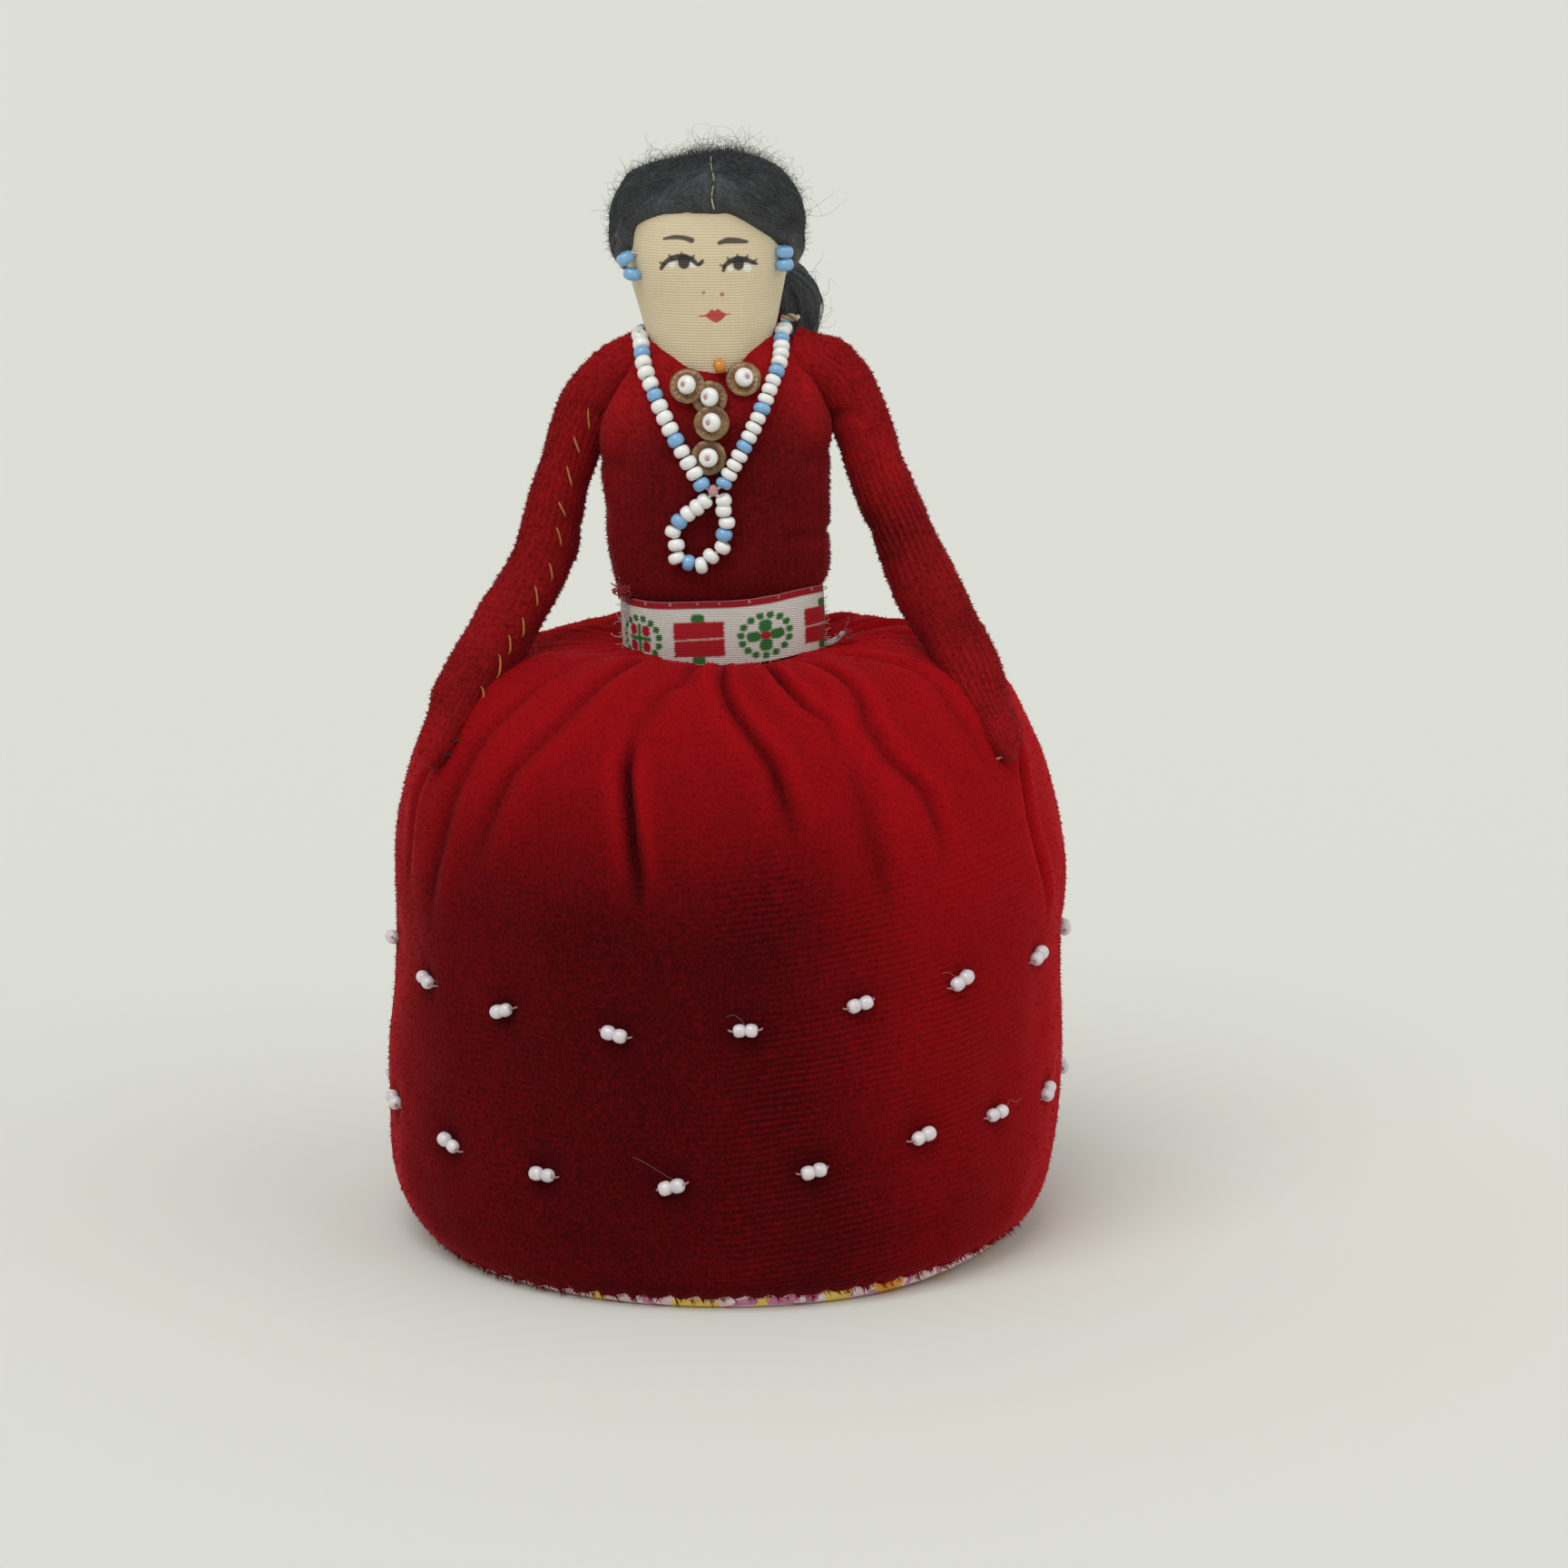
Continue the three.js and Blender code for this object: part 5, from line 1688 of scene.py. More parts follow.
@dataclass
class Bodice:
    """The stuffed velvet upper body in two sewn halves."""

    low: float = 80.6
    high: float = 124.1
    rows: int = 130
    row_pitch: float = 0.9
    belted: float = 0.15
    pile_fibres: int = 22000
    neck_low: float = 122.8
    neck_rise: float = 4.6

    def build(self) -> None:
        """Makes both halves and their pile."""
        heights = TORSO.heights(self.low, self.high, self.rows)
        halves = [self.shaped(TORSO.grid(angles, heights)) for angles in (FRONT_ANGLES, BACK_ANGLES)]
        for name, half, hidden in zip(("front", "back"), halves, (("torso_filling",), ())):
            skin = self.closed(half)
            nap = np.concatenate([self.nap(half), self.nap(half[-2:])])
            row = skin[..., 0] / self.row_pitch
            draft = Draft().add(loft(leaned(skin)), row=row.ravel(), nap=nap.ravel())
            made = draft.piece(f"bodice_{name}_velvet", PLAIN_VELVET, "doll", f"bodice_{name}", *hidden)
        whole = np.concatenate([halves[0][:, :-1], halves[1][:, :-1]], axis=1)
        nap = self.nap(whole)
        stand_pile("bodice_pile", BODY_PILE, leaned(whole), nap, self.pile_fibres, (0.25, 0.65), 41)
        self.build_neck_edge()

    def build_neck_edge(self) -> None:
        """The edge of the velvet that stands up beside the neck on the left."""
        angles = np.radians(np.linspace(-14, 75, 60))
        rise = np.sin(np.linspace(0.1, math.pi - 0.1, 60)) ** 0.6
        section = ((0.12, 0.0), (0.62, 0.0), (0.6, 0.45), (0.5, 0.8), (0.35, 0.97), (0.2, 0.8), (0.12, 0.4))
        rise = self.neck_rise * rise
        rings = [HEAD.around(angles, self.neck_low + up * rise, lift) for lift, up in section]
        rings = np.stack(rings, axis=1)
        count = rings.shape[0] * rings.shape[1]
        draft = Draft().add(loft(leaned(rings)), row=np.zeros(count), nap=np.full(count, 0.5))
        draft.piece("neck_edge_velvet", VELVET_PILE, "doll")

    def shaped(self, grid: Array) -> Array:
        """The grid with the soft unevenness of stuffing, and the pucker of each sleeve seam.

        Args:
            grid: Rows and columns of points.

        Returns:
            The moved points.
        """
        x, y, z = np.moveaxis(grid, -1, 0)
        relief = (0.28 * lumps(grid, 9, 5) + 0.12 * lumps(grid, 4, 6)) * smoothstep(89, 93, z)
        relief = relief - self.belted * smoothstep(91.8, 89.6, z)
        fold = bump(np.abs(x) - 12.2 + 0.12 * (z - 112), 1.0) * smoothstep(103, 109, z)
        fold = fold * smoothstep(123, 117, z)
        tuck = bump(z - 104.5 - 0.25 * np.abs(x), 1.1) * smoothstep(8, 14, np.abs(x))
        relief = relief - 0.6 * fold * (np.abs(y) > 1) - 0.35 * tuck
        relief = relief - 0.5 * bump(z - 97.4 + 0.05 * (x - 12), 0.9) * smoothstep(5, 12, x)
        return grid + facing(grid, False) * relief[..., None]

    def closed(self, half: Array) -> Array:
        """A half with two more rings that round its neck edge inward.

        Args:
            half: Rows of points of the half.

        Returns:
            The rows with the two rings.
        """
        top = half[-1]
        inner = np.stack([top * [0.86, 0.84, 1] + [0, 0, 0.35], top * [0.7, 0.66, 1] + [0, 0, 0.2]])
        return np.concatenate([half, inner])

    def nap(self, grid: Array) -> Array:
        """How bright the pile is painted: painted shade down the chest, painted light over the shoulders and
        painted sheen toward the sides.

        Args:
            grid: Rows and columns of points.

        Returns:
            A share from 0 to 1 for each point.
        """
        x, _, z = np.moveaxis(grid, -1, 0)
        shoulder = smoothstep(111, 122, z + 0.25 * np.abs(x))
        # Painted shade down the chest, painted light over the shoulders, painted sheen at the sides.
        return np.clip(0.22 + 0.56 * shoulder + 0.16 * smoothstep(8, 15, np.abs(x)), 0, 1)


@dataclass
class Sleeve:
    """A stuffed velvet arm with its seam and the stitches that hold its hand to the skirt."""

    side: Side
    width: float = 3.85
    depth: float = 3.4
    columns: int = 120
    rows: int = 260
    cords: int = 26
    pile_fibres: int = 20000
    seam: tuple[float, ...] = (0.205, 0.263, 0.331, 0.4, 0.457, 0.534, 0.592, 0.66, 0.708, 0.761, 0.834)

    def limb(self) -> Limb:
        """The arm's form.

        Returns:
            The limb, in the doll's frame before it leans.
        """
        if self.side is Side.RIGHT:
            upper = ((8.0, 0.4, 121.2), (13.5, 0.2, 119.3), (18.4, -0.1, 114.6), (21.8, -0.7, 105.9))
            hand = (39.7, -19.8, 69.2)
        else:
            upper = ((8.4, 0.4, 121.4), (14.3, 0.2, 119.2), (17.5, 0.0, 114.6), (20.5, -0.6, 105.9))
            hand = (38.3, -20.3, 70.2)
        bend = 24.0 if self.side is Side.RIGHT else 24.6
        route = (*upper, (bend, -2.4, 96.6), (bend + 3.4, -5.6, 89.5), (32.0, -9.7, 82.4), hand)
        shares = ((1.18, 0.0), (1.0, 0.3), (1.03, 0.5), (1.14, 0.66), (1.06, 0.8), (0.8, 0.93))
        sections = [(self.width * share, self.depth * share, place) for share, place in shares]
        sections.append((0.95, 0.95, 1.0))
        return Limb(tuple((self.side.value * x, y, z) for x, y, z in route), tuple(sections))

    def build(self) -> None:
        """Makes the sleeve, its pile and its threads."""
        limb = self.limb()
        places = np.linspace(0, 1, self.rows)[:, None]
        angles = once_round(self.columns)[None, :]
        grid = limb.point(places, angles)
        outward = facing_away(grid)
        relief = 0.3 * lumps(grid, 8, 50 + self.side.value) + 0.13 * lumps(grid, 3.4, 60 + self.side.value)
        relief = relief - self.creases(places, angles)
        tip = smoothstep(1.0, 0.94, places)
        grid = grid + outward * (relief * tip)[..., None]
        word = self.side.word
        # The pile's brightness is painted: painted shade on the side toward the body, painted light on raised
        # lumps, and lighter near the shoulder and down the forearm.
        inward = 0.5 + 0.5 * self.side.value * np.cos(angles)
        lower = (0.2 if self.side is Side.RIGHT else 0.1) * smoothstep(0.6, 0.78, places)
        upper = 0.16 * smoothstep(0.26, 0.1, places)
        nap = 0.6 + upper + lower + 0.14 * lumps(grid, 10, 70) + 0.22 * relief - 0.26 * inward**2
        nap = np.clip(nap, 0, 1)
        row = np.broadcast_to(angles / (2 * math.pi) * self.cords, nap.shape)
        close = grid[-1:].mean(axis=1, keepdims=True)
        cap = close + (grid[-1:] - close) * 0.35 + (close - grid[-8:-7].mean(axis=1, keepdims=True)) * 0.06
        skin = np.concatenate([grid, cap])
        draft = Draft().add(
            loft(skin),
            row=np.concatenate([row, row[-1:]]).ravel(),
            nap=np.concatenate([nap, nap[-1:]]).ravel(),
        )
        nodes = (f"{word}_sleeve", f"{word}_arm_filling")
        made = draft.piece(f"{word}_sleeve_velvet", SLEEVE_VELVET, "doll", *nodes)
        seed = 80 + self.side.value
        stand_pile(f"{word}_sleeve_pile", BODY_PILE, grid, nap, self.pile_fibres, (0.25, 0.65), seed)
        self.build_threads(limb)

    def creases(self, places: Array, angles: Array) -> Array:
        """Depth of the creases under the shoulder, inside the elbow and at the wrist.

        Args:
            places: Shares of the arm's length.
            angles: Angles round it.

        Returns:
            The depth at each point.
        """
        inner = math.pi if self.side is Side.RIGHT else 0.0
        near = 0.5 + 0.5 * np.cos(angles - inner)
        bend = bump(places - 0.43 - 0.02 * np.sin(angles), 0.014) + 0.7 * bump(places - 0.5, 0.012)
        shoulder = bump(places - 0.2 + 0.03 * near, 0.016)
        wrist = bump(places - 0.9 + 0.02 * np.cos(angles), 0.012)
        return 0.3 * bend * near**2 + 0.6 * shoulder * near + 0.2 * wrist

    def build_threads(self, limb: Limb) -> None:
        """Whip stitches along the seam and the tacking at the hand.

        Args:
            limb: The arm's form.
        """
        rng = np.random.default_rng(90 + self.side.value)
        front = -math.pi / 2
        right = self.side is Side.RIGHT
        paths = []
        for place in self.seam:
            share = np.linspace(-1, 1, 9)
            half = rng.uniform(0.016, 0.023)
            middle = front - 0.02 - 0.58 * place if right else math.pi * 0.7
            turn = middle - 0.2 * share + rng.normal(0, 0.05)
            lift = rng.uniform(0.3, 0.42) - 0.55 * share**4
            paths.append(limb.point(place + half * share, turn, lift))
        word = self.side.word
        thread = ORANGE_THREAD if right else RED_THREAD
        radii = np.array([0.06, 0.12, *[0.155] * 5, 0.12, 0.06])
        thread_piece(f"{word}_sleeve_stitches", paths, radii, 6, thread, "doll", f"{word}_sleeve_thread")
        tacks, knots = [], []
        inner = front - 1.0 if right else front + 1.35
        for place in np.linspace(0.86, 0.96, 9 if right else 4):
            share = np.linspace(-1, 1, 9)
            turn = inner - self.side.value * 0.34 * share + rng.normal(0, 0.1)
            lift = 0.3 * (1 - share**2) + rng.uniform(-0.05, 0.12)
            tacks.append(limb.point(np.clip(place + rng.uniform(-0.015, 0.025) * share, 0, 1), turn, lift))
        thread_piece(f"{word}_hand_stitches", tacks, 0.14, 6, DARK_THREAD, "doll", f"{word}_hand_tack")
        root = limb.point(0.86 if right else 0.99, inner, 0.3)
        for _ in range(9 if right else 5):
            lean = unit(rng.normal(0, 1, 3) + [0, -1.2, 0])
            knots.append(curl(root, lean, rng.uniform(0.6, 1.3), 0.9, rng))
        thickness, thread = (0.1, ORANGE_THREAD) if right else (0.06, STRING)
        thread_piece(f"{word}_hand_knot", knots, thickness, 5, thread, "doll")


@dataclass
class Belt:
    """The woven ribbon round the waist, with its figures and its frayed ends."""

    bottom: float = 81.2
    height: float = 8.8
    thickness: float = 0.42
    half_width: float = 13.2
    half_depth: float = 9.2
    lap_step: float = 0.5
    start: float = -73.0
    sweep: float = 415.0
    step: float = 0.1
    lines: int = 88
    front_block: float = -3.4
    figure_pitch: float = 9.05
    figure_drop: float = 0.3
    border: float = 0.95
    dots: int = 15
    white: Colour = (0.66, 0.64, 0.59)
    red: Colour = (0.38, 0.005, 0.013)
    green: Colour = (0.024, 0.15, 0.028)

    def build(self) -> None:
        """Makes the ribbon and its loose threads."""
        angles = np.radians(self.start + np.linspace(0, self.sweep, 2400))
        spiral = self.lap_step * np.degrees(angles - angles[0]) / 360
        x, y = oval(self.half_width + spiral, self.half_depth + spiral, angles, TORSO.roundness)
        line = np.stack([x, y], axis=1)
        length = step_lengths(line).sum()
        line = resample(line, int(length / self.step))
        along = unit(np.gradient(line, axis=0))
        outward = np.stack([along[:, 1], -along[:, 0]], axis=1)
        places = np.linspace(0, length, len(line))
        ups = np.linspace(0, self.height, self.lines)
        wave = 0.16 * np.sin(places / 5.3) + 0.1 * np.sin(places / 2.1 + 1)
        wave = wave - 0.5 * bump(line[:, 0] + 1, 8) * (line[:, 1] < 0) + 0.5 * smoothstep(6, 13, line[:, 0])
        bow = 0.14 * np.sin(math.pi * ups / self.height)[None, :] + 0.04 * np.sin(places / 3.1)[:, None]
        out = self.thickness + bow
        face = self.ring(line, outward, out, self.bottom + wave[:, None] + ups)
        inner = self.ring(line, outward, np.zeros((len(line), 2)), self.bottom + wave[:, None] + ups[[-1, 0]])
        colours = self.design(places, line, ups)
        edge = colours[:, [-1, 0]]
        skin = leaned(np.concatenate([face, inner], axis=1))
        design = np.concatenate([colours, edge], axis=1)
        design = np.concatenate([design, np.ones((*design.shape[:2], 1))], axis=-1)
        made = Draft().add(loft(skin), design=design.reshape(-1, 4))
        made.piece("belt_ribbon_woven", RIBBON, "doll", "belt_ribbon")
        self.build_fray(skin)

    def ring(self, line: Array, outward: Array, out: Array, heights: Array) -> Array:
        """Points off the ribbon's line at heights."""
        flat = line[:, None, :] + outward[:, None, :] * out[..., None]
        return np.concatenate([flat, heights[..., None]], axis=-1)

    def design(self, places: Array, line: Array, ups: Array) -> Array:
        """The woven figures: red blocks with buds, and two kinds of dotted circles between them.

        Args:
            places: Distances along the ribbon.
            line: The ribbon's points, to find the block that lies in front.
            ups: Heights above the ribbon's lower edge.

        Returns:
            A colour for each place and height.
        """
        rng = np.random.default_rng(14)
        turn = np.degrees(np.arctan2(line[:, 1], line[:, 0])) % 360
        lap = places > places[-1] * 0.4
        off = np.abs(line[lap, 0] - self.front_block) + 9 * (np.abs(turn[lap] - 252) > 60)
        along = places[:, None] - places[lap][np.argmin(off)]
        along = np.where(along < 0, along * 1.1, along)
        cycle = np.floor(along / self.figure_pitch + 0.5)
        near = along - cycle * self.figure_pitch + rng.normal(0, 0.08, len(ups))
        kind = np.mod(cycle, 4)
        up = ups[None, :] - 0.5 * (self.height - self.border) + self.figure_drop
        up = up + rng.normal(0, 0.03, (len(places), 1))
        block = (np.abs(near) < 3.55) & (np.abs(up) < 2.4) & (np.abs(up - 0.03 * near) > 0.07)
        bud = self.spot(near / 0.95, (np.abs(up) - 2.85) / 0.62)
        ring = np.zeros(near.shape, bool)
        for angle in (np.arange(self.dots) + 0.25) * 2 * math.pi / self.dots:
            ring |= self.spot((near - 3.3 * math.cos(angle)) / 0.5, (up - 2.75 * math.sin(angle)) / 0.46)
        petals = self.spot(near / 0.9, (np.abs(up) - 1.3) / 0.84)
        petals |= self.spot((np.abs(near) - 1.58) / 0.98, up / 0.72)
        heart = self.spot(near / 0.66, up / 0.5)
        berries = self.spot((np.abs(near) - 1.15) / 0.68, (np.abs(up) - 1.1) / 0.75)
        stems = (np.minimum(np.abs(near), np.abs(up)) < 0.3) & (np.hypot(near, up) < 2.0)
        plain, green_circle, red_circle = kind % 2 == 0, kind == 1, kind == 3
        green = (plain & bud) | (~plain & ring) | (green_circle & petals) | (red_circle & stems)
        red = (plain & block) | (green_circle & heart) | (red_circle & berries)
        colours = np.broadcast_to(np.array(self.white), (*near.shape, 3)).copy()
        colours[green] = self.green
        colours[red] = self.red
        border = np.broadcast_to(ups[None, :] > self.height - self.border, near.shape)
        colours[border] = (0.3, 0.004, 0.012)
        gaps = np.sin(along * 2.9) + np.sin(along * 4.7 + 1) > 0.9
        speck = border & gaps & (np.mod(along, 1.0) < 0.2) & (np.abs(ups[None, :] - self.height + 0.3) < 0.11)
        colours[speck] = (0.6, 0.44, 0.42)
        soft = 0.5 * colours + 0.25 * np.roll(colours, 1, 0) + 0.25 * np.roll(colours, -1, 0)
        return 0.6 * soft + 0.2 * np.roll(soft, 1, 1) + 0.2 * np.roll(soft, -1, 1)

    def spot(self, across: Array, up: Array) -> Array:
        """Where a woven spot lies that is squarer than a circle of radius 1."""
        return np.abs(across) ** 3 + np.abs(up) ** 3 < 1

    def build_fray(self, skin: Array) -> None:
        """Loose threads at the outer end and along the lower edge.

        Args:
            skin: The ribbon's points, row by row along it.
        """
        rng = np.random.default_rng(15)
        pale, red = [], []
        end = skin[-1, : self.lines]
        tail = end[5] + np.array([[-0.5, 0, 0], [0.7, -0.1, 0.25], [1.7, 0.1, 0.8], [2.5, 0.3, 1.5]])
        for _ in range(70):
            pale.append(smooth_path(tail + rng.normal(0, 0.15, 3) + rng.normal(0, 0.07, (4, 3)), 12))
        for _ in range(26):
            root = end[rng.integers(4, self.lines)]
            pale.append(curl(root, unit(np.array([1.0, 0.3, 0.2]) + rng.normal(0, 0.5, 3)), 0.8, 0.5, rng))
        for _ in range(60):
            root = skin[rng.integers(200, len(skin) - 40), 1]
            lean = unit(unit(root * [1, 1, 0]) + rng.normal(0, 0.6, 3))
            pale.append(curl(root, lean, rng.uniform(0.5, 1.4), 0.5, rng))
        for _ in range(12):
            root = end[2] + rng.normal(0, 0.5, 3) + [2.4, 0.6, 1.2]
            red.append(curl(root, unit(rng.normal(0, 1, 3)), rng.uniform(1.2, 3.0), 0.7, rng))
        tuft = leaned(np.array([-12.9, -6.0, 90.9]))
        for _ in range(130):
            root = tuft + rng.normal(0, 0.5, 3) * [1.5, 0.7, 0.8]
            lean = unit(rng.normal(0, 1, 3) + [-0.4, -0.5, 0.3])
            red.append(curl(root, lean, rng.uniform(0.4, 1.1), 0.8, rng))
        for _ in range(60):
            root = leaned(np.array([-13.1, -5.4, rng.uniform(84, 90.5)])) + rng.normal(0, 0.35, 3)
            pale.append(curl(root, unit(rng.normal(0, 1, 3)), rng.uniform(0.8, 2.2), 0.6, rng))
        thread_piece("ribbon_fray", pale, 0.045, 3, FRAY, "doll")
        thread_piece("ribbon_tuft", red, 0.1, 4, TUFT, "doll")


def curl(root: Array, lean: Array, length: float, wildness: float, rng: Rng, points: int = 12) -> Array:
    """A loose fibre that wanders as it leaves a surface.

    Args:
        root: Where it starts.
        lean: The direction that it starts in.
        length: Its length.
        wildness: How much it turns on its way.
        rng: Chooses the turns.
        points: Points of the path.

    Returns:
        The points of its path.
    """
    step = length / (points - 1)
    turn = rng.normal(0, wildness, 3)
    path = [np.asarray(root, float)]
    heading = np.asarray(lean, float)
    for _ in range(points - 1):
        turn = 0.7 * turn + rng.normal(0, wildness, 3) * 0.55
        heading = unit(heading + turn * 0.55)
        path.append(path[-1] + heading * step)
    return np.array(path)


def spring(root: Array, lean: Array, length: float, bend: float, rng: Rng) -> Array:
    """A springy fibre that goes on turning one way.

    Args:
        root: Where it starts.
        lean: The direction that it starts in.
        length: Its length.
        bend: How far it turns in a millimetre, in radians.
        rng: Chooses the turns.

    Returns:
        The 26 points of its path.
    """
    step = length / 25
    axis = unit(rng.normal(size=3))
    path = [np.asarray(root, float)]
    heading = np.asarray(lean, float)
    for _ in range(25):
        axis = unit(axis + rng.normal(0, 0.22, 3))
        heading = unit(heading + np.cross(axis, heading) * bend * step)
        path.append(path[-1] + heading * step)
    return np.array(path)


@dataclass(frozen=True)
class Stroke:
    """A line of ink with a width at each of its points, or a filled patch inside them."""

    points: tuple[Pair, ...]
    widths: tuple[float, ...]
    ink: Colour
    strength: float = 1.0
    filled: bool = False

    def cover(self, places: Array) -> Array:
        """How much ink lies at places left and up on the face.

        Args:
            places: The places, as left and up.

        Returns:
            A share from 0 to 1 for each place.
        """
        line = smooth_path(self.points, 40, closed=self.filled)
        width = np.interp(np.linspace(0, 1, 40), np.linspace(0, 1, len(self.widths)), self.widths)
        distance = np.full(len(places), 9.0)
        inside = np.zeros(len(places), bool)
        for here, after, wide in zip(line, line[1:], width):
            step = after - here
            share = np.clip((places - here) @ step / max(step @ step, 1e-9), 0, 1)
            away = np.linalg.norm(places - here - share[:, None] * step, axis=1) - wide / 2
            distance = np.minimum(distance, away)
            crosses = (here[1] > places[:, 1]) != (after[1] > places[:, 1])
            rise = step[1] if abs(step[1]) > 1e-9 else 1e-9
            inside ^= crosses & (places[:, 0] < here[0] + step[0] * (places[:, 1] - here[1]) / rise)
        if self.filled:
            distance = np.where(inside, -1.0, distance)
        return self.strength * smoothstep(0.09, -0.07, distance)


@dataclass
class Face:
    """The face drawn on the head."""

    black: Colour = (0.020, 0.020, 0.024)
    red: Colour = (0.50, 0.035, 0.042)
    white: Colour = (0.84, 0.83, 0.8)

    def strokes(self) -> list[Stroke]:
        """All the strokes, in the order in which they are drawn.

        Returns:
            The strokes, the first one lowest.
        """
        right_brow = ((-5.66, 138.5), (-4.4, 138.7), (-3.0, 138.6), (-1.95, 138.25))
        left_brow = ((1.7, 137.75), (2.7, 138.0), (3.8, 137.95), (5.35, 137.7))
        drawn = [
            self.brow(right_brow, (0.3, 0.56, 0.6, 0.74)),
            self.brow(left_brow, (0.5, 0.84, 0.74, 0.4)),
        ]
        lid = ((-6.1, 134.6), (-5.5, 135.4), (-4.6, 135.9), (-3.4, 136.05), (-2.1, 135.75))
        drawn += self.eye(
            (*lid, (-1.2, 135.0), (-0.62, 135.5)),
            (0.5, 0.6, 0.8, 0.92, 0.74, 0.52, 0.36),
            (-3.1, 135.2, 0.8),
            ((-4.72, 135.08, 0.86), (-1.95, 134.95, 0.82)),
        )
        lid = ((2.1, 134.05), (2.35, 134.7), (3.0, 135.2), (3.9, 135.45), (5.0, 135.35))
        drawn += self.eye(
            (*lid, (5.9, 134.95), (6.5, 134.65)),
            (0.46, 0.56, 0.72, 0.84, 0.76, 0.56, 0.34),
            (4.14, 134.65, 0.74),
            ((3.0, 134.2, 0.7), (5.26, 134.2, 1.05)),
        )
        drawn += [self.dot((-0.7, 131.2), 0.42, self.red, 0.7), self.dot((1.76, 130.85), 0.52, self.red, 0.8)]
        lips = ((-0.5, 128.1), (-0.08, 128.45), (0.34, 128.84), (0.71, 128.58), (1.1, 128.87), (1.65, 128.44))
        lips += ((2.08, 128.2), (1.78, 127.69), (0.82, 127.15), (-0.1, 127.66))
        drawn.append(Stroke(lips, (0.1,), self.red, 0.95, True))
        line = ((-1.4, 128.0), (-0.2, 128.08), (1.2, 128.05), (2.68, 128.16))
        drawn.append(Stroke(line, (0.14, 0.24, 0.24, 0.14), self.red))
        return drawn

    def brow(self, line: tuple[Pair, ...], widths: tuple[float, ...]) -> Stroke:
        """The stroke of one brow."""
        return Stroke(line, widths, self.black, 0.9)

    def eye(
        self,
        lid: tuple[Pair, ...],
        widths: tuple[float, ...],
        iris: Triple,
        whites: tuple[Triple, ...],
    ) -> list[Stroke]:
        """The strokes of one eye.

        Args:
            lid: Points of the heavy upper lid.
            widths: Widths of the lid along it.
            iris: Place and radius of the iris.
            whites: Place and width of the white beside it on each hand.

        Returns:
            Whites, iris, lid and short lashes.
        """
        drawn = [self.dot((left, up), width, self.white, 0.95) for left, up, width in whites]
        left, up, radius = iris
        middle = ((left, up + 0.5), (left, up + 0.02))
        drawn.append(Stroke(middle, (2 * radius, 1.84 * radius), self.black, 0.95))
        drawn.append(Stroke(lid, widths, self.black, 0.93))
        line = smooth_path(lid, 11)
        middle = line.mean(axis=0) - [0, 1.4]
        for root in line[1:-1:2]:
            tip = root + unit(root - middle) * 0.62
            drawn.append(Stroke((tuple(root), tuple(tip)), (0.5, 0.25), self.black, 0.75))
        return drawn

    def dot(self, place: Pair, width: float, ink: Colour, strength: float) -> Stroke:
        """A spot of ink."""
        return Stroke((place, (place[0] + 0.05, place[1])), (width,), ink, strength)

    def drawn_on(self, grid: Array) -> Array:
        """Ink colour and cover for each point of the head, which holds ink only in front.

        Args:
            grid: Points of the head before it leans.

        Returns:
            Red, green, blue and cover for each point.
        """
        flat = grid.reshape(-1, 3)
        ink = np.zeros((len(flat), 4))
        x, y, z = flat.T
        front = np.flatnonzero((y < -2) & (np.abs(x) < 8) & (z > 126) & (z < 140))
        places = flat[front][:, [0, 2]]
        colour, cover = np.zeros((len(front), 3)), np.zeros(len(front))
        for stroke in self.strokes():
            fresh = stroke.cover(places)
            total = fresh + cover * (1 - fresh)
            share = np.where(total > 1e-4, fresh / np.maximum(total, 1e-4), 0)[:, None]
            colour = colour * (1 - share) + np.array(stroke.ink) * share
            cover = total
        ink[front] = np.concatenate([colour, cover[:, None]], axis=1)
        return ink


@dataclass
class Head:
    """The stuffed cotton head."""

    low: float = 117.5
    fine_low: float = 126.0
    fine_high: float = 140.0
    fine_step: float = 0.105
    face: Face = field(default_factory=Face)

    def build(self) -> None:
        """Makes the head and draws its face."""
        front = np.linspace(-math.pi, 0, 300, endpoint=False)
        angles = np.concatenate([front, np.linspace(0, math.pi, 90, endpoint=False)])
        heights = np.concatenate(
            [
                np.linspace(self.low, self.fine_low, 30, endpoint=False),
                np.arange(self.fine_low, self.fine_high, self.fine_step),
                HEAD.heights(self.fine_high, 147.4, 30),
            ]
        )
        grid = HEAD.grid(angles, heights)
        ink = self.face.drawn_on(grid)
        neck = smoothstep(127, 121, heights)[:, None]
        relief = 0.1 * lumps(grid, 7, 2) + neck * 0.14 * lumps(grid * [1, 1, 0.35], 2.6, 7)
        skin = leaned(grid + facing(grid, True) * relief[..., None])
        draft = Draft().add(loft(skin), ink=ink)
        made = draft.piece("head_cotton_cover", COTTON, "doll", "head_cover", "head_filling")


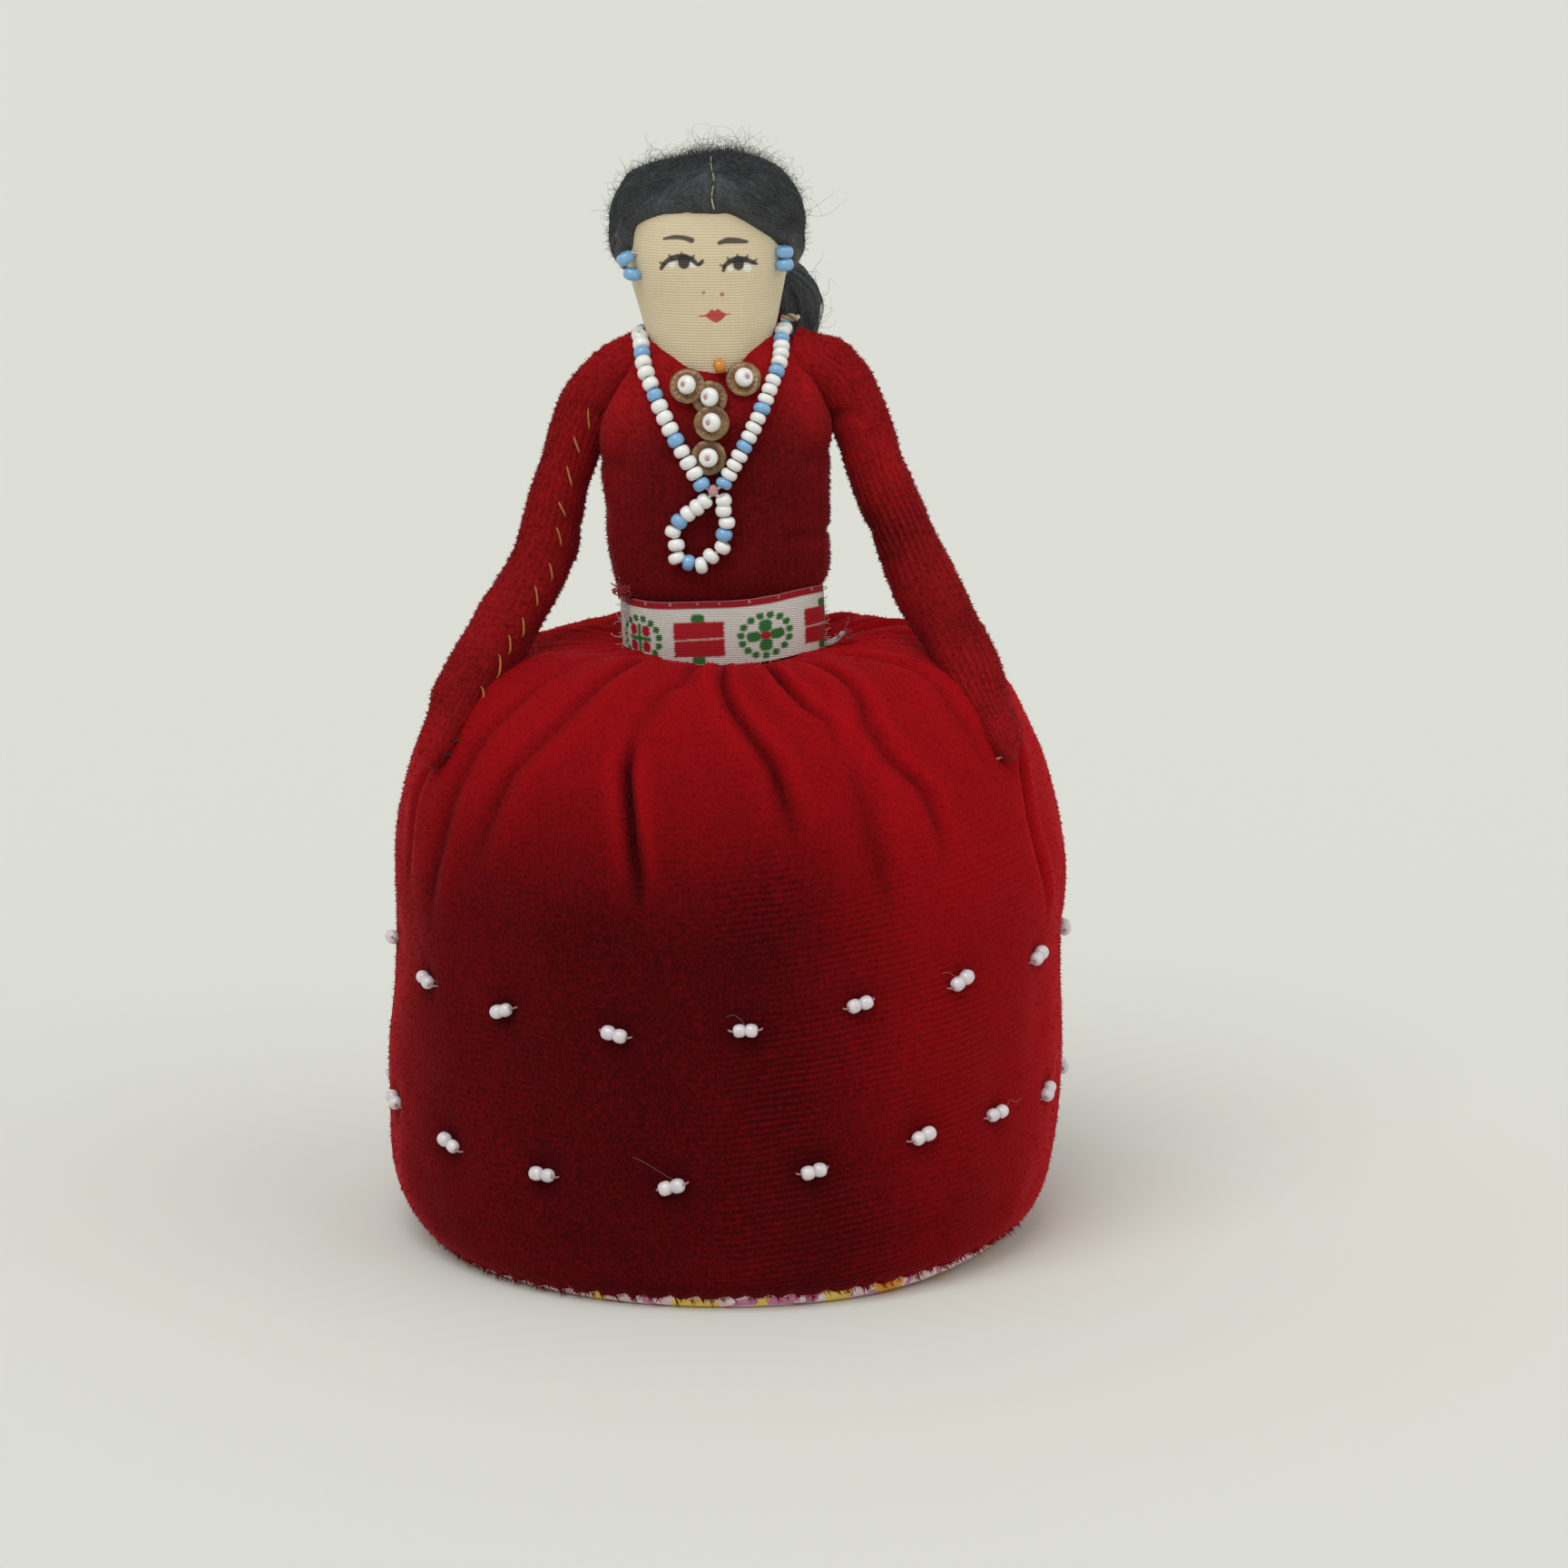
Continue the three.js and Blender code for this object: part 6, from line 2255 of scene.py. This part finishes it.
@dataclass
class Hair:
    """Black wool over the head, in two halves with a parting."""

    thickness: float = 1.95
    parting: float = 1.15
    edge_round: float = 2.8
    low: float = 126.2
    combed_fibres: int = 1300
    short_fibres: int = 4200
    right_loose: int = 300
    left_loose: int = 380
    edge: tuple[Pair, ...] = (
        (-180.0, 128.0),
        (-140.0, 129.6),
        (-112.0, 132.0),
        (-88.0, 134.6),
        (-76.0, 135.7),
    )
    hairline: tuple[Pair, ...] = (
        (-9.94, 137.07),
        (-9.29, 140.09),
        (-6.86, 141.52),
        (-3.45, 141.89),
        (-0.07, 141.75),
        (1.97, 141.94),
        (4.3, 141.07),
        (6.61, 139.62),
        (8.58, 138.02),
        (9.86, 136.27),
    )

    def edge_height(self, turn: Array) -> Array:
        """Height of the hair's edge at degrees from straight ahead.

        Args:
            turn: Degrees from straight ahead.

        Returns:
            The heights.
        """
        front = HEAD.front(*smooth_path(self.hairline, 60).T)
        seen = list(zip(np.degrees(np.arctan2(front[:, 0], -front[:, 1])), front[:, 2]))
        back = [(-degrees, height - 0.4) for degrees, height in reversed(self.edge)]
        turns, heights = np.array([*self.edge, *seen, *back]).T
        return np.interp(turn, turns, heights)

    def build(self) -> None:
        """Makes the hair, its fibres and the stitches of the parting."""
        loose, combed = [], []
        for side in Side:
            grid = self.half(side)
            draft = Draft().add(loft(leaned(grid)))
            draft.piece(f"{side.word}_hair_wool", WOOL, "doll", f"{side.word}_hair")
            combed += self.combed(grid, side)
            loose += self.flyaways(grid, side)
            fuzz = self.fuzz(grid, side)
            thread_piece(f"{side.word}_short_fibres", fuzz, taper(0.033, 8), 3, WOOL, "doll")
        thread_piece("combed_fibres", combed, taper(0.05, 14), 4, WOOL, "doll")
        thread_piece("loose_fibres", loose, taper(0.028, 26), 3, WOOL, "doll")
        self.build_parting()

    def half(self, side: Side) -> Array:
        """The surface of one half, with the edge that lies on the face and the groove of the parting.

        Args:
            side: Which half it is.

        Returns:
            Rows and columns of points.
        """
        start = math.pi / 2 if side is Side.RIGHT else -math.pi / 2
        angles = np.linspace(start, start + math.pi, 170)
        grid = HEAD.grid(angles, HEAD.heights(self.low, 147.39, 150))
        shares = np.array([0.82, 0.64, 0.46, 0.28, 0.1])[:, None, None]
        top = grid[-1:] * [0, 0, 1] + grid[-1:] * [1, 1, 0] * shares + [0, 0, 0.12] * (1 - shares**2)
        base = np.concatenate([grid, top])
        x, y, z = np.moveaxis(base, -1, 0)
        turn = np.degrees(np.arctan2(x + 1e-6 * side.value, -y))
        above = z - self.edge_height(turn)
        wide = 0.5 if side is Side.RIGHT else 0.2
        full = self.thickness + wide * bump(z - 139.5, 4.5) * bump(np.abs(turn) - 82, 26)
        corner = -0.6 if side is Side.RIGHT else 0.2
        full = full + corner * bump(z - 144, 3) * bump(np.abs(turn) - 55, 25)
        full = full - 0.8 * smoothstep(144.5, 147, z)
        parting = bump(x, 0.42) * smoothstep(5, 0, y)
        full = full - (0.25 + 0.5 * smoothstep(146.5, 144, z)) * parting
        share = np.clip(above / self.edge_round, 0, 1)
        rounded = np.sqrt(np.clip(1 - (1 - share) ** 2, 0, 1))
        relief = full * rounded - 0.9 * smoothstep(0.0, -1.4, above)
        comb = y + 0.22 * np.abs(x) + 0.5 * lumps(base, 6, 17)
        ridges = np.sin(comb * 2 * math.pi / 0.8) + 0.7 * np.sin(comb * 2 * math.pi / 0.47 + 1)
        uneven = 0.2 * lumps(base, 4.5, 18) + 0.1 * lumps(base, 1.7, 19) + 0.045 * ridges
        relief = relief + uneven * rounded * (1 - 0.7 * parting)
        shaped = base + facing(base, False) * relief[..., None]
        shaped[..., 0] = np.where(np.abs(x) < 1e-3, 0, shaped[..., 0])
        shaped[..., 0] = side.value * np.maximum(side.value * shaped[..., 0], 0)
        return self.shifted(shaped)

    def shifted(self, points: Array) -> Array:
        """Points near the middle moved to the left, where the parting runs in front."""
        move = self.parting * bump(points[..., 0], 5.5) * smoothstep(6, -1, points[..., 1])
        return points + move[..., None] * np.array([1.0, 0.0, 0.0])

    def walk(self, grid: Array, rows: Array, columns: Array, lift: Array) -> Array:
        """Paths over the hair, given in rows and columns of its grid.

        Args:
            grid: The surface of one half.
            rows: Row of each point of each path.
            columns: Its column.
            lift: Its distance off the surface.

        Returns:
            The points of the paths.
        """
        normal = facing(grid, False)
        row = np.clip(np.round(rows).astype(int), 0, grid.shape[0] - 1)
        column = np.clip(np.round(columns).astype(int), 0, grid.shape[1] - 1)
        return grid[row, column] + normal[row, column] * lift[..., None]

    def combed(self, grid: Array, side: Side) -> list[Array]:
        """Fibres that lie along the hair from the parting to the ear.

        Args:
            grid: The surface of one half.
            side: Which half it is.

        Returns:
            The fibres' paths.
        """
        rng = np.random.default_rng(100 + side.value)
        count = self.combed_fibres
        share = np.linspace(0, 1, 14)
        rows = rng.uniform(60, 150, count)[:, None] - share * rng.uniform(10, 42, count)[:, None]
        front = rng.uniform(0, 165, count)
        away = rng.uniform(12, 46, count) * (-1 if side is Side.RIGHT else 1)
        start = front if side is Side.LEFT else 169 - front
        columns = start[:, None] + share * away[:, None]
        lift = rng.uniform(-0.04, 0.1, (count, 1))
        lift = lift + rng.uniform(0, 0.22, (count, 1)) * np.sin(math.pi * share)
        paths = self.walk(grid, rows, columns, lift)
        normal = paths - [0, 0, 136]
        smooth = [leaned(smooth_path(path[::3], 14)) for path in paths]
        turn = np.degrees(np.arctan2(normal[:, :, 0], -normal[:, :, 1]))
        clear = (paths[:, :, 2] - self.edge_height(turn)).min(axis=1) > 0.5
        return [path for path, keep in zip(smooth, clear) if keep]

    def fuzz(self, grid: Array, side: Side) -> list[Array]:
        """Short curly fibres all over the hair, longer at the top and the sides.

        Args:
            grid: The surface of one half.
            side: Which half it is.

        Returns:
            The fibres' paths.
        """
        rng = np.random.default_rng(130 + side.value)
        normal = facing(grid, False)
        paths = []
        while len(paths) < self.short_fibres:
            row, column = rng.integers(12, grid.shape[0]), rng.integers(0, grid.shape[1])
            place, out = grid[row, column], normal[row, column]
            turn = np.degrees(np.arctan2(place[0], -place[1]))
            above = place[2] - self.edge_height(turn)
            if above < 0.9 or (place[1] > 8 and place[2] < 132):
                continue
            longest = 0.7 + 1.2 * smoothstep(0.8, 3.5, above) * (1.0 if place[1] > -6 else 0.7)
            lean = unit(0.6 * out + rng.normal(0, 0.55, 3))
            paths.append(leaned(curl(place - out * 0.1, lean, rng.uniform(0.4, longest), 0.6, rng, 8)))
        return paths

    def flyaways(self, grid: Array, side: Side) -> list[Array]:
        """Long curly fibres that stand off the top and the sides, most of them at the top left.

        Args:
            grid: The surface of one half.
            side: Which half it is.

        Returns:
            The fibres' paths.
        """
        rng = np.random.default_rng(110 + side.value)
        count = self.left_loose if side is Side.LEFT else self.right_loose
        normal = facing(grid, False)
        paths = []
        while len(paths) < count:
            row, column = rng.integers(70, grid.shape[0]), rng.integers(0, grid.shape[1])
            place, out = grid[row, column], normal[row, column]
            if place[1] < -5 and place[2] < 146:
                continue
            wild = place[2] > 146 or (side is Side.LEFT and abs(place[0]) > 8)
            length = rng.uniform(3, 8) if wild else rng.uniform(1.5, 4.5)
            lean = unit(0.5 * out + rng.normal(0, 0.5, 3))
            paths.append(leaned(spring(place - out * 0.15, lean, length, rng.uniform(0.5, 1.8), rng)))
        return paths

    def build_parting(self) -> None:
        """Pale running stitches along the parting."""
        rng = np.random.default_rng(16)
        heights = np.array([141.9, 143.3, 144.7, 146.0, 146.9, 147.35])
        paths = []
        for low, high in zip(heights, heights[1:]):
            ups = np.linspace(low + 0.05, high - 0.03, 9)
            line = HEAD.front(0.35 * np.sin(ups * 1.7) * 0.5, ups)
            out = np.stack([HEAD.front_facing(0, up) for up in ups])
            bow = 1.2 + 0.16 * np.sin(np.linspace(0, math.pi, 9)) + rng.normal(0, 0.03)
            paths.append(leaned(self.shifted(line + out * bow[:, None])))
        radii = np.array([0.06, *[0.1] * 7, 0.06])
        thread_piece("parting_stitches", paths, radii, 6, PALE_YARN, "doll", "parting_thread")


def taper(radius: float, points: int) -> Array:
    """Radii of a fibre that thins out to its end."""
    return radius * np.linspace(1, 0.35, points)


@dataclass
class Bun:
    """The hank of hair behind the neck, tied with wound yarn; it swings on its root."""

    width: float = 6.7
    depth: float = 4.8
    tie_place: float = 0.62
    waist: float = 0.62
    tie_yarn: float = 0.55
    turns: int = 3
    pitch: float = 1.75
    fibres: int = 700
    loose_fibres: int = 420

    def limb(self) -> Limb:
        """The bun's form.

        Returns:
            The limb, in the doll's frame before it leans.
        """
        route = ((4.2, 10.0, 133.4), (8.0, 15.6, 126.8), (8.8, 16.4, 119.5), (8.4, 16.0, 107.5))
        shares = ((0.35, 0.0), (0.52, 0.13), (0.98, 0.36), (self.waist, self.tie_place))
        shares += ((1.0, (1 + self.tie_place) / 2), (0.5, 1.0))
        return Limb(route, tuple((self.width * s, self.depth * s, place) for s, place in shares))

    def build(self) -> None:
        """Makes the hank, its fibres and its tie."""
        limb = self.limb()
        places = np.linspace(0, 1, 170)[:, None]
        angles = once_round(140)[None, :]
        grid = limb.point(places, angles)
        comb = angles + 0.25 * lumps(grid, 9, 26)
        relief = 0.16 * np.sin(22 * comb) + 0.1 * np.sin(37 * comb + 1) + 0.35 * lumps(grid, 5, 27)
        outward = facing_away(grid)
        grid = grid + outward * relief[..., None]
        _, along, _, _ = limb.spine(np.array([1.0]))
        middle = grid[-1:].mean(axis=1, keepdims=True)
        steps = ((0.85, 0.7), (0.55, 1.2), (0.15, 1.4))
        ends = [middle + (grid[-1:] - middle) * share + along * down for share, down in steps]
        skin = leaned(np.concatenate([grid, *ends]))
        Draft().add(loft(skin)).piece("bun_wool", HANK_PAINTED_LIGHTER, "bun", "hair_bun")
        rng = np.random.default_rng(28)
        paths, loose = [], []
        for _ in range(self.fibres):
            first, angle = rng.uniform(0.05, 0.8), rng.uniform(0, 2 * math.pi)
            share = np.linspace(0, 1, 14)
            lift = rng.uniform(0, 0.3) + 0.4 * np.sin(math.pi * share) * rng.uniform()
            reach = first + share * rng.uniform(0.08, 0.2)
            paths.append(leaned(limb.point(reach, angle + 0.1 * share, lift)))
        for _ in range(self.loose_fibres):
            place, angle = rng.uniform(0.12, 0.95), rng.uniform(0, 2 * math.pi)
            root = limb.point(place, angle, 0.1)
            out = unit(root - limb.spine(np.array(place))[0])
            length = rng.uniform(1, 6) if place < 0.5 else rng.uniform(1, 3)
            lean = unit(out + rng.normal(0, 0.5, 3))
            loose.append(leaned(spring(root, lean, length, rng.uniform(0.4, 1.6), rng)))
        thread_piece("bun_fibres", paths, taper(0.06, 14), 4, HANK_PAINTED_LIGHTER, "bun")
        thread_piece("bun_loose_fibres", loose, taper(0.03, 26), 3, WOOL, "bun")
        self.build_tie(limb)

    def build_tie(self, limb: Limb) -> None:
        """Two-ply yarn wound round the narrow part, with an end that stands up beside the neck.

        Args:
            limb: The bun's form.
        """
        count = self.turns * 60
        share = np.linspace(0, 1, count)
        length = step_lengths(smooth_path(limb.route, 401)).sum()
        places = self.tie_place + (share - 0.5) * self.turns * self.pitch / length
        wound = limb.point(places, share * self.turns * 2 * math.pi, 0.6 + self.tie_yarn)
        foot = limb.point(self.tie_place, -math.pi / 2, 0.6 + self.tie_yarn)
        stands = [(8.4, 11.6, 121.8), (8.8, 10.2, 124.0), (9.6, 9.0, 125.1)]
        stands += [(10.6, 8.3, 125.4), (11.8, 8.0, 125.3)]
        end = smooth_path([foot, *stands], 110)
        draft = Draft()
        for path in (wound, end):
            paths = np.stack([ply(path, self.tie_yarn * 0.48, phase) for phase in (0.0, math.pi)])
            draft.add(strands(leaned(paths), self.tie_yarn * 0.56, 8))
        draft.piece("bun_tie_yarn", CREAM_YARN, "bun", "bun_tie")


def ply(path: Array, radius: float, phase: float) -> Array:
    """One ply of a yarn, twisted round its path.

    Args:
        path: The yarn's middle line.
        radius: Distance from it.
        phase: Where the ply starts.

    Returns:
        The ply's points.
    """
    along = unit(np.gradient(path, axis=0))
    side = unit(np.cross(along, np.array([0.31, 0.2, 0.93])))
    turn = (distances(path) * 2.2 + phase)[:, None]
    return path + radius * (side * np.cos(turn) + np.cross(along, side) * np.sin(turn))


@dataclass
class Jewellery:
    """Strung beads, earrings and sequins."""

    radius: float = 1.15
    half_length: float = 0.82
    hole: float = 0.3
    pitch: float = 1.67
    lift: float = 1.45
    thread: float = 0.22
    collar_height: float = 124.8
    collar_front: float = -16.0
    slope: Pair = (9.1, 121.4)
    bow: float = 0.5
    crossing: Pair = (-0.5, 105.9)
    crossing_half: float = 1.5
    pendant: tuple[Pair, ...] = (
        (-1.66, 103.66),
        (-2.75, 102.82),
        (-4.0, 101.99),
        (-5.21, 100.96),
        (-6.12, 99.57),
        (-5.74, 97.75),
        (-5.78, 96.0),
        (-4.2, 95.3),
        (-2.5, 94.9),
        (-1.15, 96.1),
        (0.45, 97.25),
        (0.72, 98.98),
        (1.17, 100.6),
        (0.8, 102.24),
        (0.88, 103.6),
    )
    sequins: tuple[tuple[str, float, float, float, float], ...] = (
        ("upper_right", -3.3, 118.4, 0.85, -0.7),
        ("upper_left", 4.1, 119.1, 0.35, 0.55),
        ("upper_middle", -0.46, 116.9, 0.3, -0.8),
        ("middle", -0.3, 113.65, 0.95, -0.7),
        ("lower", -0.9, 109.25, 0.35, -0.15),
    )

    def build(self) -> None:
        """Makes all the jewellery."""
        self.build_necklace()
        self.build_earrings()
        self.build_sequins()

    def strung(self, route: Array, pitch: float, spare_end: float) -> tuple[Array, Array, Array]:
        """Middles and directions of the beads along a route, and the thread through them.

        Args:
            route: Points that the thread passes.
            pitch: About how far the beads are apart.
            spare_end: Thread after the middle of the last bead.

        Returns:
            The middles, the directions and the thread's points.
        """
        path = smooth_path(route, 700)
        length = step_lengths(path).sum()
        room = length - spare_end - self.half_length
        count = round(room / pitch) + 1
        share = (self.half_length + room * np.linspace(0, 1, count)) / length
        known = np.linspace(0, 1, 700)
        heading = unit(between(np.gradient(path, axis=0), known, share))
        return between(path, known, share), heading, path

    def string_up(
        self, name: str, body: str, node: str, strings: list, blue: Callable[[int, int], bool]
    ) -> None:
        """Makes the beads and the threads of some strings.

        Args:
            name: Start of the pieces' names.
            body: The body that they ride on.
            node: The solid that they stand for.
            strings: Middles, directions and thread of each string.
            blue: Says from a bead's number and the count whether it is blue.
        """
        rng = np.random.default_rng(len(name))
        white_beads, blue_beads, thread = Draft(), Draft(), Draft()
        for middles, headings, path in strings:
            half = 0.49 * step_lengths(middles).mean()
            for i, (middle, heading) in enumerate(zip(middles, headings)):
                axis = unit(heading + rng.normal(0, 0.09, 3))
                size = self.radius * rng.uniform(0.95, 1.05)
                shape = bead(middle, axis, size, half * rng.uniform(0.94, 1.02), self.hole, 26)
                chosen = blue_beads if blue(i, len(middles)) else white_beads
                chosen.add(leaning(shape))
            thread.add(strands(leaned(resample(path, 160))[None], self.thread, 6))
        white_beads.piece(f"{name}_white_beads", WHITE_BEAD, body, node)
        blue_beads.piece(f"{name}_blue_beads", BLUE_BEAD, body)
        thread.piece(f"{name}_string", STRING, body)

    def build_necklace(self) -> None:
        """The collar round the neck, two strands on the chest and the loop under their crossing."""
        front = math.radians(self.collar_front)
        turns = np.linspace(front, math.pi - front, 13)
        collar = HEAD.around(turns, np.full(13, self.collar_height), self.lift - 0.3)
        middles, headings, path = self.strung(collar, self.pitch, self.half_length)
        hang = np.abs(np.linspace(-1, 1, len(middles)))[:, None] ** 6
        headings = unit(headings * (1 - 0.8 * hang) + np.array([0, 0, 1.0]) * hang)
        strings = [(middles, headings, path)]
        self.string_up("necklace_collar", "doll", "necklace_collar", strings, lambda i, n: (i + 2) % 4 == 0)
        chest = []
        knot = TORSO.front(self.crossing[0], self.crossing[1] - 1.1, self.lift - 0.2)
        for side in Side:
            start = HEAD.around(np.array(front), np.array(self.collar_height), self.lift - 0.3)
            start = start * [side.value, 1, 1] + [0, -0.315, -0.315]
            share = np.linspace(0, 1, 7)
            lefts = side.value * (self.slope[0] * (1 - share) + self.bow * np.sin(math.pi * share))
            lefts = lefts + (self.crossing[0] + side.value * self.crossing_half) * share
            ups = self.slope[1] + (self.crossing[1] - self.slope[1]) * share
            route = np.vstack([start, TORSO.front(lefts, ups, self.lift)])
            pitch = 1.66 if side is Side.RIGHT else 1.43
            middles, headings, path = self.strung(route, pitch, 0.02)
            chest.append((middles, headings, np.vstack([path, knot])))
        self.string_up(
            "necklace_front", "necklace", "necklace_front", chest, lambda i, n: (n - 1 - i) % 4 == 0
        )
        tied = bead(knot + [0, -0.1, 0.2], unit(np.array([1.0, 0.0, 0.3])), 0.8, 0.7, 0.05, 14)
        Draft().add(leaning(tied)).piece("necklace_knot", PINK_THREAD, "necklace")
        middles = TORSO.front(*np.array(self.pendant).T, self.lift)
        path = np.vstack([knot + [0, -0.35, -0.1], middles, knot + [0, -0.35, -0.1]])
        headings = unit(path[2:] - path[:-2])
        loop = (middles, headings, smooth_path(path, 300))
        self.string_up("pendant", "pendant", "pendant_loop", [loop], lambda i, n: i % 4 == 3)

    def build_earrings(self) -> None:
        """Two blue beads on a thread at each side of the head."""
        places = {
            Side.RIGHT: ((11.0, 135.85, 0.55), (10.2, 133.7, -0.25)),
            Side.LEFT: ((10.3, 135.9, 0.12), (10.25, 134.15, -0.12)),
        }
        for side, beads in places.items():
            body = f"{side.word}_earring"
            for name, (out, up, tilt) in zip(("upper", "lower"), beads):
                middle = np.array([side.value * out, -5.6, up])
                axis = unit(np.array([tilt * side.value, -0.1, 1.0]))
                shape = bead(middle, axis, self.radius * 1.06, self.half_length, self.hole, 26)
                made = Draft().add(leaning(shape))
                made.piece(f"{body}_{name}_blue", BLUE_BEAD, body, f"{body}_{name}_bead")
            (out, up, _), (low_out, low_up, _) = beads
            route = [(8.9, 136.3), (out - 0.6, up + 0.75), (out, up)]
            route += [(low_out, low_up), (low_out - 0.4, low_up - 0.9), (9.0, low_up - 0.8)]
            path = smooth_path([(side.value * x, -5.6, z) for x, z in route], 40)
            thread = Draft().add(strands(leaned(path)[None], 0.14, 6))
            thread.piece(f"{body}_string", STRING, body, f"{body}_thread")

    def build_sequins(self) -> None:
        """Cupped sequins, each held by a bead, and the orange bead at the neckline."""
        knots = Draft()
        for name, left, up, lift, turn in self.sequins:
            normal = TORSO.front_facing(left, up)
            place = TORSO.front(left, up) + normal * lift
            disc = Draft().add(self.sequin(place, normal))
            disc.piece(f"sequin_{name}_plate", SEQUIN, "doll", f"sequin_{name}")
            axis = unit(normal + np.array([turn, 0, -0.12]))
            middle = place + normal * (0.4 + self.half_length)
            shape = bead(middle, axis, self.radius * 1.13, self.half_length * 1.05, self.hole, 28)
            held = Draft().add(leaning(shape))
            held.piece(f"sequin_bead_{name}_white", WHITE_BEAD, "doll", f"sequin_bead_{name}")
            knots.add(leaning(bead(middle + axis * (self.half_length - 0.08), axis, 0.36, 0.3, 0.03, 12)))
        knots.piece("sequin_threads", PINK_THREAD, "doll")
        normal = HEAD.front_facing(0.95, 121.3)
        middle = HEAD.front(0.95, 121.3) + normal * 1.05
        shape = bead(middle, unit(np.array([1.0, 0.25, 0.2])), 0.95, 0.75, 0.3, 26)
        Draft().add(leaning(shape)).piece("collar_orange_bead", ORANGE_BEAD, "doll", "collar_bead")

    def sequin(self, place: Array, normal: Array) -> Mesh:
        """A thin cupped plate with flat facets round its rim.

        Args:
            place: Its middle.
            normal: The direction that it faces.

        Returns:
            The plate's mesh.
        """
        side = unit(np.cross(normal, [0.0, 0.0, 1.0]))
        other = np.cross(normal, side)
        turn = once_round(96)
        rim = 1 - 0.018 * np.abs(np.sin(turn * 6))
        facets = 0.05 * np.abs(np.sin(turn * 8))[:, None]
        section = ((0.5, 0.03), (1.1, 0.0), (1.25, 0.02), (1.8, 0.17), (2.4, 0.36))
        section += ((2.4, 0.48), (1.8, 0.33), (1.25, 0.18), (0.5, 0.19))
        rings = []
        for across, up in section:
            radius = across * rim[:, None] if across > 1.15 else across
            flat = radius * (np.cos(turn)[:, None] * side + np.sin(turn)[:, None] * other)
            rings.append(place + flat + (up + facets * (1.2 < across < 2)) * normal)
        return leaning(loft(np.array(rings), tube=True))


@dataclass
class Stage:
    """Floor, light and camera."""

    floor_half: float = 8.0
    target: Triple = (0.008, 0.0, 0.0623)
    camera: Triple = (0.008, -0.6902, 0.209)
    lens: float = 117.6
    ground: Colour = (0.775, 0.78, 0.725)
    sky: Colour = (0.50, 0.505, 0.485)

    def build(self) -> None:
        """Sets the stage."""
        self.build_floor()
        self.build_world()
        self.build_light("key", (-0.3, -0.62, 1.0), 0.75, 1.35)
        self.build_light("fill", (0.8, -0.45, 0.7), 1.0, 0.4)
        self.build_camera()

    def build_floor(self) -> None:
        """A pale level floor."""
        half = self.floor_half
        corners = [(-half, -half, 0), (half, -half, 0), (half, half, 0), (-half, half, 0)]
        mesh = bpy.data.meshes.new("floor")
        mesh.from_pydata(corners, [], [(0, 1, 2, 3)])
        floor = bpy.data.objects.new("floor", mesh)
        bpy.context.scene.collection.objects.link(floor)
        material = bpy.data.materials.new("floor")
        material.use_nodes = True
        shader = material.node_tree.nodes["Principled BSDF"]
        shader.inputs["Base Color"].default_value = (*self.ground, 1.0)
        shader.inputs["Roughness"].default_value = 0.8
        shader.inputs["Specular IOR Level"].default_value = 0.1
        mesh.materials.append(material)

    def build_world(self) -> None:
        """Even pale light from all round."""
        world = bpy.data.worlds.new("room")
        bpy.context.scene.world = world
        world.use_nodes = True
        bench = Bench(world.node_tree)
        path = bench.node("ShaderNodeLightPath")
        seen = path.outputs["Is Camera Ray"]
        for kind in ("Is Glossy Ray", "Is Transmission Ray"):
            seen = bench.math("MAXIMUM", seen, path.outputs[kind])
        background = world.node_tree.nodes["Background"]
        bench.set(background.inputs["Color"], bench.mix(seen, self.sky, self.ground))

    def build_light(self, name: str, direction: Triple, angle: float, strength: float) -> None:
        """A soft light from far away, in a direction from the doll.

        Args:
            name: The light's name.
            direction: Where it stands.
            angle: How wide it looks, in radians.
            strength: Its strength.
        """
        light = bpy.data.lights.new(name, "SUN")
        light.angle = angle
        light.energy = strength
        made = bpy.data.objects.new(name, light)
        made.location = direction
        made.rotation_euler = (-Vector(direction)).to_track_quat("-Z", "Y").to_euler()
        bpy.context.scene.collection.objects.link(made)

    def build_camera(self) -> None:
        """The view from in front and a little above."""
        lens = bpy.data.cameras.new("camera")
        lens.lens = self.lens
        lens.clip_start = 0.01
        camera = bpy.data.objects.new("camera", lens)
        camera.location = self.camera
        sight = Vector(self.target) - Vector(self.camera)
        camera.rotation_euler = sight.to_track_quat("-Z", "Y").to_euler()
        bpy.context.scene.collection.objects.link(camera)
        bpy.context.scene.camera = camera
        bpy.context.scene.view_settings.view_transform = "Standard"


def dress_solids() -> None:
    """Finishes for the solids that stay in sight."""
    for name, finish in {"base_card": CARD, "waist_thread": RED_THREAD}.items():
        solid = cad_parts[name]
        solid.data.materials.clear()
        solid.data.materials.append(finish.material())


def main() -> None:
    """Builds the doll piece by piece, then the stage."""
    logging.basicConfig(level=logging.INFO, format="%(name)s: %(message)s")
    sleeves = [Sleeve(side) for side in Side]
    parts = [Skirt(), Bodice(), *sleeves, Belt(), Head(), Hair(), Bun(), Jewellery(), Stage()]
    for part in parts:
        log.info("building %s", type(part).__name__)
        part.build()
    dress_solids()


if __name__ == "__main__":
    main()
